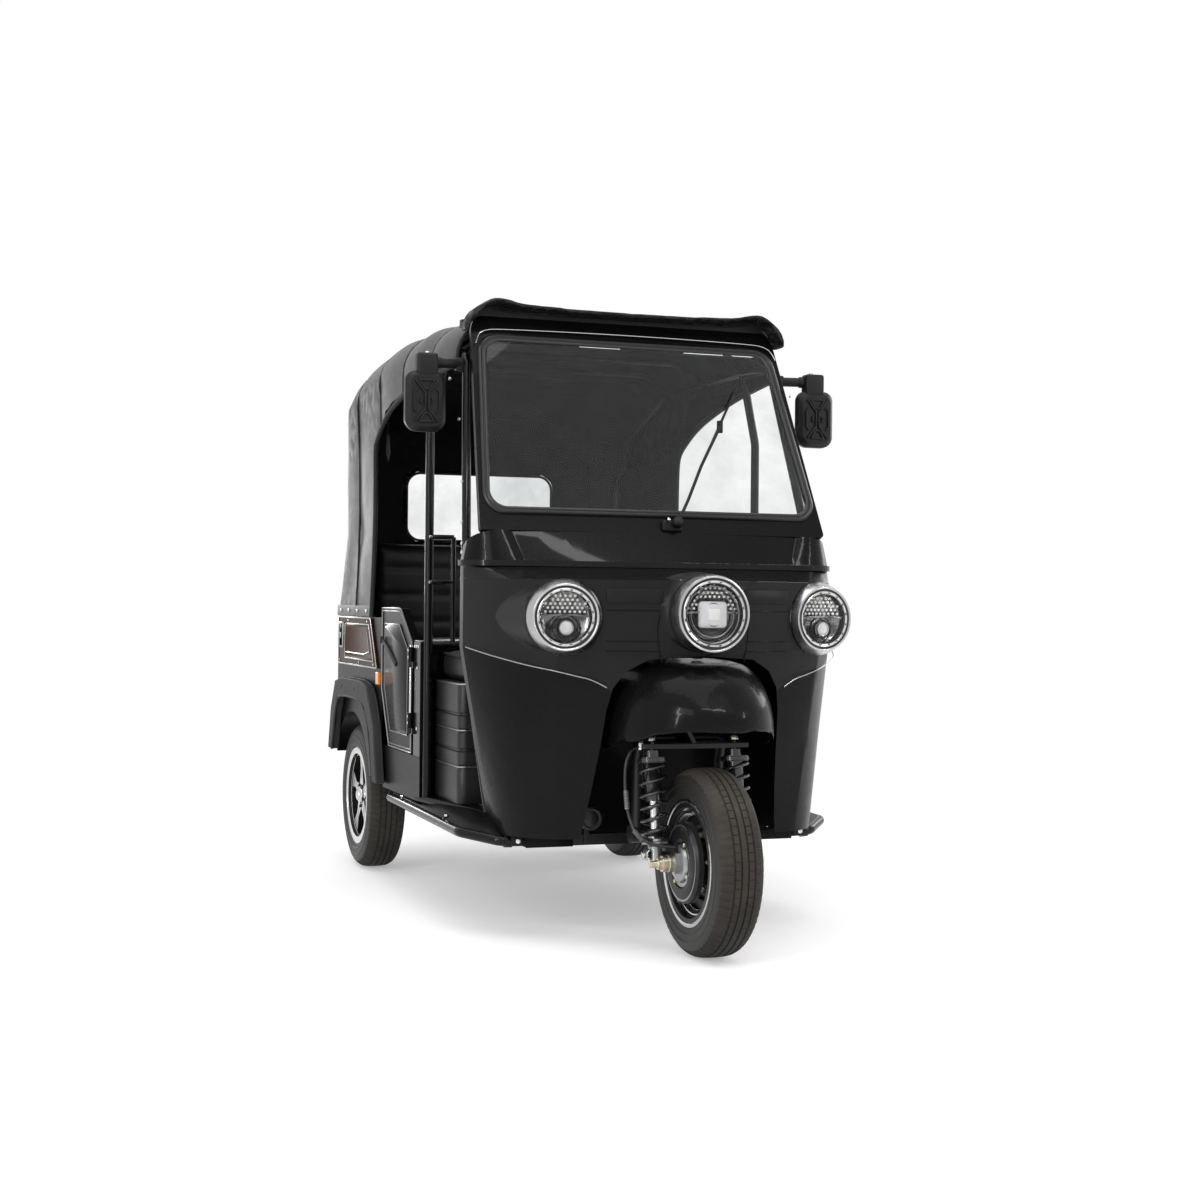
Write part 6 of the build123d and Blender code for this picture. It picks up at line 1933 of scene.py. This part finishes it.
# ------------------------------------------------------------------- doors
@dataclass
class Doors:
    """Half doors with bright beading, a pressed panel and hinge rods."""
    outline: tuple = ((1000, 462), (1000, 800), (1140, 896), (1165, 900), (1397, 900), (1397, 640), (1290, 462))
    panel: tuple = ((1046, 512), (1046, 776), (1156, 850), (1352, 850), (1352, 652), (1268, 512))
    body_w: float = 550.0
    hinge: tuple = (556.0, 992.0)

    def build(self) -> None:
        """Build both doors."""
        for tag, s in SIDES:
            self.door(tag, s, Body.DOOR_LEFT if s > 0 else Body.DOOR_RIGHT)

    def door(self, tag: str, s: int, body: Body) -> None:
        """One door with everything on it."""
        node = "door_" + tag
        out = Vector((s, 0, 0))
        dress(from_frame("leaf", node, 2.5), "door_leaf_" + tag, BODY_BLACK, body, (node,))
        x = s * self.body_w
        plate = pressed_plate("plate", [at(x, y, z) for y, z in self.panel], out, 0.006, 0.0032)
        dress(soften(plate, 1.0), "door_panel_" + tag, GLOSS_BLACK, body, ())
        ring = [(x + s * 1.0, y, z) for y, z in self.outline]
        beads = [tube("bead", [(p[0], p[1], p[2]) for p in ring + ring[:1]], 2.6, 8, smooth=False)]
        inner = [(x + s * 2.0, y * 0.97 + 0.03 * 1200, z * 0.955 + 0.045 * 690) for y, z in self.outline]
        beads.append(tube("bead", inner + inner[:1], 1.6, 8, smooth=False))
        rim = [(x + s * 3.0, y, z) for y, z in self.panel]
        beads.append(tube("bead", rim + rim[:1], 1.6, 8, smooth=False))
        dress(joined("beads", beads), "door_beading_" + tag, SILVER_TRIM, body, ())
        lever = strip("lever", [(x + s * 3, 1385, 800), (x + s * 4, 1290, 770), (x + s * 4, 1180, 724)], 15.0, 7.0, out)
        knob = bar("knob", (x + s * 2, 1378, 797), (x + s * 14, 1378, 797), 11.0, 24, 2.0)
        dress(joined("lever", [lever, knob]), "door_latch_bar_" + tag, FLARE_PLASTIC, body, ())
        hx, hy = self.hinge
        rod = bar("rod", (s * hx, hy, 536), (s * hx, hy, 790), 4.6, 16, 0.8)
        bolts = [bar("bolt", (x + s * 5, y, z), (x + s * 8.0, y, z), 4.5, 14, 1.2)
                 for z in (552, 572, 752, 772) for y in (1012, 1024)]
        dress(joined("bolts", [rod] + bolts), "door_hinge_rod_" + tag, BRIGHT, body, ())


# ---------------------------------------------------------------- tail end
@dataclass
class TailEnd:
    """Lid, lamps, bumper and plate."""
    rear: float = 2190.0

    def build(self) -> None:
        """Build the tail end."""
        root = Body.ROOT
        copies_of_nodes((
            ("luggage_lid", "rear_lid", BODY_BLACK, "gloss_black", Body.HATCH, 1.5, 34.0),
            ("bumper_tube", "rear_bumper", FRAME_BLACK, "black_steel", root, 0.8, 40.0),
            ("tail_lamp_bodies", "tail_lamps", RED, "red_lens", root, 4.0, 34.0),
            ("plate_bare", "plate_holder", PLATE, "bright_steel", root, 1.5, 34.0),
        ))
        self.lid_details()
        self.lamp_details()
        self.plate_details()

    def lid_details(self) -> None:
        """Pressed field, bright bead, handle and catches of the lid, and screws beside it."""
        y = self.rear + 2.0
        corners = [(-270, 490), (270, 490), (270, 715), (-270, 715)]
        ring = rounded_outline(corners, (30,) * 4, 6)
        plate = pressed_plate("field", [at(px, y, pz) for px, pz in ring], Vector((0, 1, 0)), 0.008, 0.003)
        dress(soften(plate, 0.8), "lid_pressed_field", GLOSS_BLACK, Body.HATCH, ())
        bead = tube("bead", [(px, y + 2.5, pz) for px, pz in ring], 1.8, 8, smooth=False, cyclic=True)
        dress(bead, "lid_bead", SILVER_TRIM, Body.HATCH, ())
        grip = tube("grip", [(-62, y + 2, 741), (-62, y + 22, 741), (0, y + 26, 741), (62, y + 22, 741),
                             (62, y + 2, 741)],
                    6.0, 14)
        dress(grip, "lid_handle", SILVER_TRIM, Body.HATCH, ())
        catches = []
        for x in (-200, 200):
            catches.append(slab("catch", (x - 16, y - 1, 742), (x + 16, y + 6, 782), 3.0, 2))
            catches.append(bar("key", (x, y + 4, 762), (x, y + 10, 762), 8.0, 20, 1.2))
        dress(joined("catches", catches), "lid_catches", BRIGHT, Body.HATCH, ())
        screws = [bar("screw", (x, self.rear + 1, z), (x, self.rear + 4, z), 5.0, 14, 1.2)
                  for x in (-350, 350) for z in (470, 640, 800)]
        dress(joined("screws", screws), "rear_body_screws", BRIGHT)

    def lamp_details(self) -> None:
        """Amber and white fields and barred bezels of the tail lamps."""
        y = self.rear + 24.0
        for tag, s in SIDES:
            x0, x1 = s * 388, s * 437
            amber = slab("amber", (x0, y - 3, 640), (x1, y + 2.5, 694), 4.0, 3)
            dress(amber, "tail_indicator_" + tag, AMBER)
            white = slab("white", (x0, y - 3, 526), (x1, y + 2.5, 566), 4.0, 3)
            dress(white, "tail_reversing_" + tag, WHITE_LENS)
            ring = rounded_outline([(s * 381, 516), (s * 444, 516), (s * 444, 704), (s * 381, 704)], (10,) * 4, 5)
            bezel = tube("bezel", [(px, y - 6, pz) for px, pz in ring], 5.0, 12, smooth=False, cyclic=True)
            bars = [strip("bar", [(s * 386, y + 0.2, z), (s * 439, y + 0.2, z)], 5.0, 3.0, Vector((0, 1, 0)))
                    for z in (568, 638)]
            dress(joined("bezel", [bezel] + bars), "tail_lamp_bezel_" + tag, MATTE_PLASTIC)

    def plate_details(self) -> None:
        """Raised border of the bare plate."""
        y = 2279.0
        ring = rounded_outline([(-124, 340), (124, 340), (124, 398), (-124, 398)], (10,) * 4, 5)
        border = tube("border", [(px, y + 0.6, pz) for px, pz in ring], 1.6, 8, smooth=False, cyclic=True)
        dress(border, "plate_border", SILVER_TRIM)


# -------------------------------------------------------------- underframe
@dataclass
class Underframe:
    """Chassis, floor, side bars, rear axle, springs and battery."""
    wheelbase: float = 1850.0
    wheel_z: float = 247.0

    def build(self) -> None:
        """Build the underframe."""
        root = Body.ROOT
        copies_of_nodes((
            ("chassis_rails", "chassis_frame", STEEL_BLACK, "black_steel", root, 1.5, 34.0),
            ("floor_sheet", "floor_pan", BODY_BLACK, "black_steel", root, 0.8, 34.0),
            ("side_guard_bars", "side_bars", FRAME_BLACK, "gloss_black", root, 0.0, 40.0),
            ("rear_axle_casing", "rear_axle", STEEL_BLACK, "cast_grey", root, 1.5, 34.0),
            ("leaf_packs", "leaf_springs", STEEL_BLACK, "spring_steel", root, 0.8, 34.0),
            ("battery_case", "battery_pack", BATTERY, "battery_case", root, 5.0, 34.0),
        ))
        self.bar_ends()
        self.axle_details()
        self.valance()
        self.step_sheets()
        self.battery_details()

    def bar_ends(self) -> None:
        """Domed ends, brackets and bolts of the side bars."""
        parts, bolts = [], []
        for s in (1, -1):
            cap = turned("cap", [(0.3, 0), (14.2, 0), (14.2, 6), (11, 11), (6, 13.5), (0.3, 14)],
                         at(s * 550, 1254, 300), Vector((0, 1, 0)), 24)
            parts.append(cap)
            parts.append(slab("bracket", (s * 404, 318, 262), (s * 440, 352, 292), 3.0, 2))
            parts.append(bar("collar", (s * 455, 338, 275), (s * 432, 337, 274), 17.5, 24, 1.5))
            bolts.append(bar("bolt", (s * 422, 317, 277), (s * 422, 310, 277), 8.0, 6, 1.4))
            for y in (620, 1150):
                bolts.append(bar("bolt", (s * 540, y, 312), (s * 540, y, 318), 6.5, 6, 1.2))
        dress(joined("ends", parts), "side_bar_ends", FRAME_BLACK)
        dress(joined("bolts", bolts), "side_bar_bolts", BRIGHT)

    def step_sheets(self) -> None:
        """Sheet steps between the floor's edge and the side bars."""
        for tag, s in SIDES:
            inner = [(420, 380, 300), (472, 456, 338), (512, 900, 338), (531, 1290, 338)]
            outer = [(430, 338, 281), (470, 345, 286), (546, 450, 300), (546, 1250, 310)]
            rows = [at(s * x, y, z) for x, y, z in inner + outer]
            sheet = edit(mesh_piece("step", rows, (), [(0, 1, 5, 4), (1, 2, 6, 5), (2, 3, 7, 6)]))
            close_edit()
            modify(sheet, "SOLIDIFY", thickness=0.002, offset=0.0)
            dress(soften(sheet, 0.4), "step_sheet_" + tag, BODY_BLACK)

    def valance(self) -> None:
        """Short black valances under the nose, and the splash sheet behind the wheel arch."""
        parts = [slab("valance", (s * 262, 322 - 5, 256), (s * 398, 322 - 1, 292), 1.5, 2) for s in (1, -1)]
        parts.append(slab("splash", (-380, 446, 274), (380, 450, 338), 1.0, 1))
        dress(joined("valance", parts), "nose_valance", BODY_BLACK)

    def axle_details(self) -> None:
        """Ribs of the brake drums and the casing, spring clamps and cover bolts."""
        y, z = self.wheelbase, self.wheel_z
        parts = []
        for s in (1, -1):
            for k in range(4):
                a = 396 + k * 8
                rib = turned("rib", [(84, a), (90, a + 0.5), (90, a + 3), (84, a + 3.5)], at(0, y, z),
                             Vector((s, 0, 0)), 48)
                parts.append(rib)
        for k in range(9):
            a = 92 + 16 * k
            parts.append(turned("fin", [(77, a), (86, a + 1), (86, a + 5), (77, a + 6)], at(0, y, z), Vector((1, 0, 0)),
                                48))
        dress(joined("ribs", parts), "axle_ribs", STEEL_BLACK)
        clamps = []
        for s in (1, -1):
            for dy in (-24, 24):
                for dx in (-31, 31):
                    clamps.append(bar("leg", (s * 354 + dx, y + dy, z + 4), (s * 354 + dx, y + dy, z + 62), 4.5, 12,
                                      0.8))
                    clamps.append(bar("nut", (s * 354 + dx, y + dy, z + 2), (s * 354 + dx, y + dy, z + 10), 8.0, 6,
                                      1.0))
                clamps.append(bar("over", (s * 354 - 31, y + dy, z + 60), (s * 354 + 31, y + dy, z + 60), 4.5, 12, 0.8))
        dress(joined("clamps", clamps), "spring_clamps", ZINC)
        cover = [bar("bolt", (86, y + 74 * math.cos(a), z + 74 * math.sin(a)),
                     (94, y + 74 * math.cos(a), z + 74 * math.sin(a)), 5.0, 6, 1.0)
                 for a in (math.tau * k / 8 for k in range(8))]
        dress(joined("cover", cover), "axle_cover_bolts", ZINC)

    def battery_details(self) -> None:
        """Straps of the battery."""
        low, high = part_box("battery_pack")
        y0, y1 = low.y / MM + Y_MID, high.y / MM + Y_MID
        x0, x1, z0, z1 = low.x / MM, high.x / MM, low.z / MM, high.z / MM
        straps = []
        for x in (x0 * 0.5, x1 * 0.5):
            straps.append(strip("strap", [(x, y0 - 0.5, z0 + 6), (x, y0 - 0.5, z1 - 4)], 30.0, 2.4, Vector((0, -1, 0))))
            straps.append(strip("strap", [(x, y0 + 4, z1 + 0.3), (x, y1 - 4, z1 + 0.3)], 30.0, 2.4, Vector((0, 0, 1))))
        dress(joined("straps", straps), "battery_straps", BINDING)


# ------------------------------------------------------------------ studio
@dataclass
class Studio:
    """Pale floor, soft lamps, world and the camera."""
    camera_place: tuple = (-1.9011, -5.4609, 0.9279)
    yaw: float = 19.768
    pitch: float = 0.043
    roll: float = 0.59
    lens: float = 55.104
    ambient: float = 0.62
    floor_white: float = 0.86
    floor_lift: float = 0.34
    # distance at which the floor starts and ends its fade, metres
    fade: tuple = (1.5, 3.6)

    def build(self) -> None:
        """Make floor, world, lamps and camera."""
        self.make_floor()
        self.make_world()
        self.make_lamps()
        self.make_camera()
        bpy.context.scene.view_settings.view_transform = "Standard"

    def make_floor(self) -> None:
        """Plain pale floor that keeps the shadow and fades into the backdrop."""
        clear_selection()
        bpy.ops.mesh.primitive_plane_add(size=60.0, location=(0, 0, -0.0005))
        floor = bpy.context.object
        floor.name = "floor"
        made = bpy.data.materials.new("pale_floor")
        made.use_nodes = True
        nodes, links = made.node_tree.nodes, made.node_tree.links
        shader = nodes["Principled BSDF"]
        shader.inputs["Base Color"].default_value = (self.floor_white,) * 3 + (1.0,)
        shader.inputs["Roughness"].default_value = 0.8
        shader.inputs["Specular IOR Level"].default_value = 0.1
        shader.inputs["Emission Color"].default_value = (1, 1, 1, 1)
        shader.inputs["Emission Strength"].default_value = self.floor_lift
        place = nodes.new("ShaderNodeTexCoord")
        flat = nodes.new("ShaderNodeVectorMath")
        flat.operation = "LENGTH"
        fade = nodes.new("ShaderNodeMapRange")
        fade.interpolation_type = "SMOOTHSTEP"
        fade.inputs["From Min"].default_value, fade.inputs["From Max"].default_value = self.fade
        white = nodes.new("ShaderNodeEmission")
        mix = nodes.new("ShaderNodeMixShader")
        links.new(place.outputs["Object"], flat.inputs[0])
        links.new(flat.outputs["Value"], fade.inputs["Value"])
        links.new(fade.outputs["Result"], mix.inputs[0])
        links.new(shader.outputs["BSDF"], mix.inputs[1])
        links.new(white.outputs["Emission"], mix.inputs[2])
        links.new(mix.outputs["Shader"], nodes["Material Output"].inputs["Surface"])
        floor.data.materials.append(made)

    def make_world(self) -> None:
        """White where the camera, gloss and glass see it, softer as a light."""
        world = bpy.data.worlds.new("studio")
        bpy.context.scene.world = world
        world.use_nodes = True
        nodes, links = world.node_tree.nodes, world.node_tree.links
        path = nodes.new("ShaderNodeLightPath")
        first = nodes.new("ShaderNodeMath")
        second = nodes.new("ShaderNodeMath")
        first.operation = second.operation = "MAXIMUM"
        level = nodes.new("ShaderNodeMapRange")
        level.inputs["To Min"].default_value = self.ambient
        level.inputs["To Max"].default_value = 1.0
        links.new(path.outputs["Is Camera Ray"], first.inputs[0])
        links.new(path.outputs["Is Transmission Ray"], first.inputs[1])
        links.new(first.outputs[0], second.inputs[0])
        links.new(path.outputs["Is Glossy Ray"], second.inputs[1])
        links.new(second.outputs[0], level.inputs["Value"])
        links.new(level.outputs["Result"], nodes["Background"].inputs["Strength"])
        nodes["Background"].inputs["Color"].default_value = (1, 1, 1, 1)

    def make_lamps(self) -> None:
        """Large soft lamps: above, from the left front and behind."""
        rows = (
            ("top", (-0.6, -0.6, 4.6), (0, 0, 0.6), (4.0, 4.0), 80.0),
            ("key", (-4.2, -3.6, 3.0), (0, -0.3, 0.8), (2.4, 2.4), 45.0),
            ("rim", (4.4, 1.5, 2.6), (0, 0.2, 0.9), (2.0, 2.0), 40.0),
            ("streak_left", (-3.6, -2.6, 1.7), (0, -0.2, 0.9), (0.16, 2.6), 34.0),
            ("streak_right", (3.3, -3.3, 2.4), (0, -0.5, 0.8), (0.16, 2.2), 26.0),
            ("streak_back", (-0.95, 5.0, 1.35), (-0.5, 0, 0.5), (0.7, 0.8), 22.0),
            ("streak_top", (0.2, -3.4, 3.9), (0, -0.6, 0.9), (2.8, 0.16), 30.0),
        )
        for name, place, aim, size, power in rows:
            light = bpy.data.lights.new(name, "AREA")
            light.shape = "RECTANGLE"
            light.size, light.size_y = size
            light.energy = power
            lamp = bpy.data.objects.new(name, light)
            lamp.location = place
            lamp.rotation_mode = "QUATERNION"
            lamp.rotation_quaternion = (Vector(aim) - Vector(place)).to_track_quat("-Z", "Y")
            bpy.context.scene.collection.objects.link(lamp)

    def make_camera(self) -> None:
        """Camera at the fitted place and lens."""
        data = bpy.data.cameras.new("camera")
        data.sensor_width = 36.0
        data.lens = self.lens
        data.clip_end = 100.0
        camera = bpy.data.objects.new("camera", data)
        yaw, pitch, roll = (math.radians(v) for v in (self.yaw, self.pitch, self.roll))
        look = Vector((math.sin(yaw) * math.cos(pitch), math.cos(yaw) * math.cos(pitch), math.sin(pitch)))
        right = look.cross(Vector((0, 0, 1))).normalized()
        up = right.cross(look)
        c, s = math.cos(roll), math.sin(roll)
        right, up = c * right + s * up, c * up - s * right
        turn = Matrix((right, up, -look)).transposed().to_4x4()
        camera.matrix_world = Matrix.Translation(self.camera_place) @ turn
        bpy.context.scene.collection.objects.link(camera)
        bpy.context.scene.camera = camera


def main() -> None:
    """Build everything in order."""
    logging.basicConfig(level=logging.INFO)
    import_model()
    Studio().build()
    for maker in (Wheels(), Steering(), Bodywork(), Lamps(), Glazing(), Mirrors(), Canopy(), Cabin(), Doors(),
                  TailEnd(), Underframe()):
        maker.build()
        log.info("%s done", type(maker).__name__)


if __name__ == "__main__":
    main()
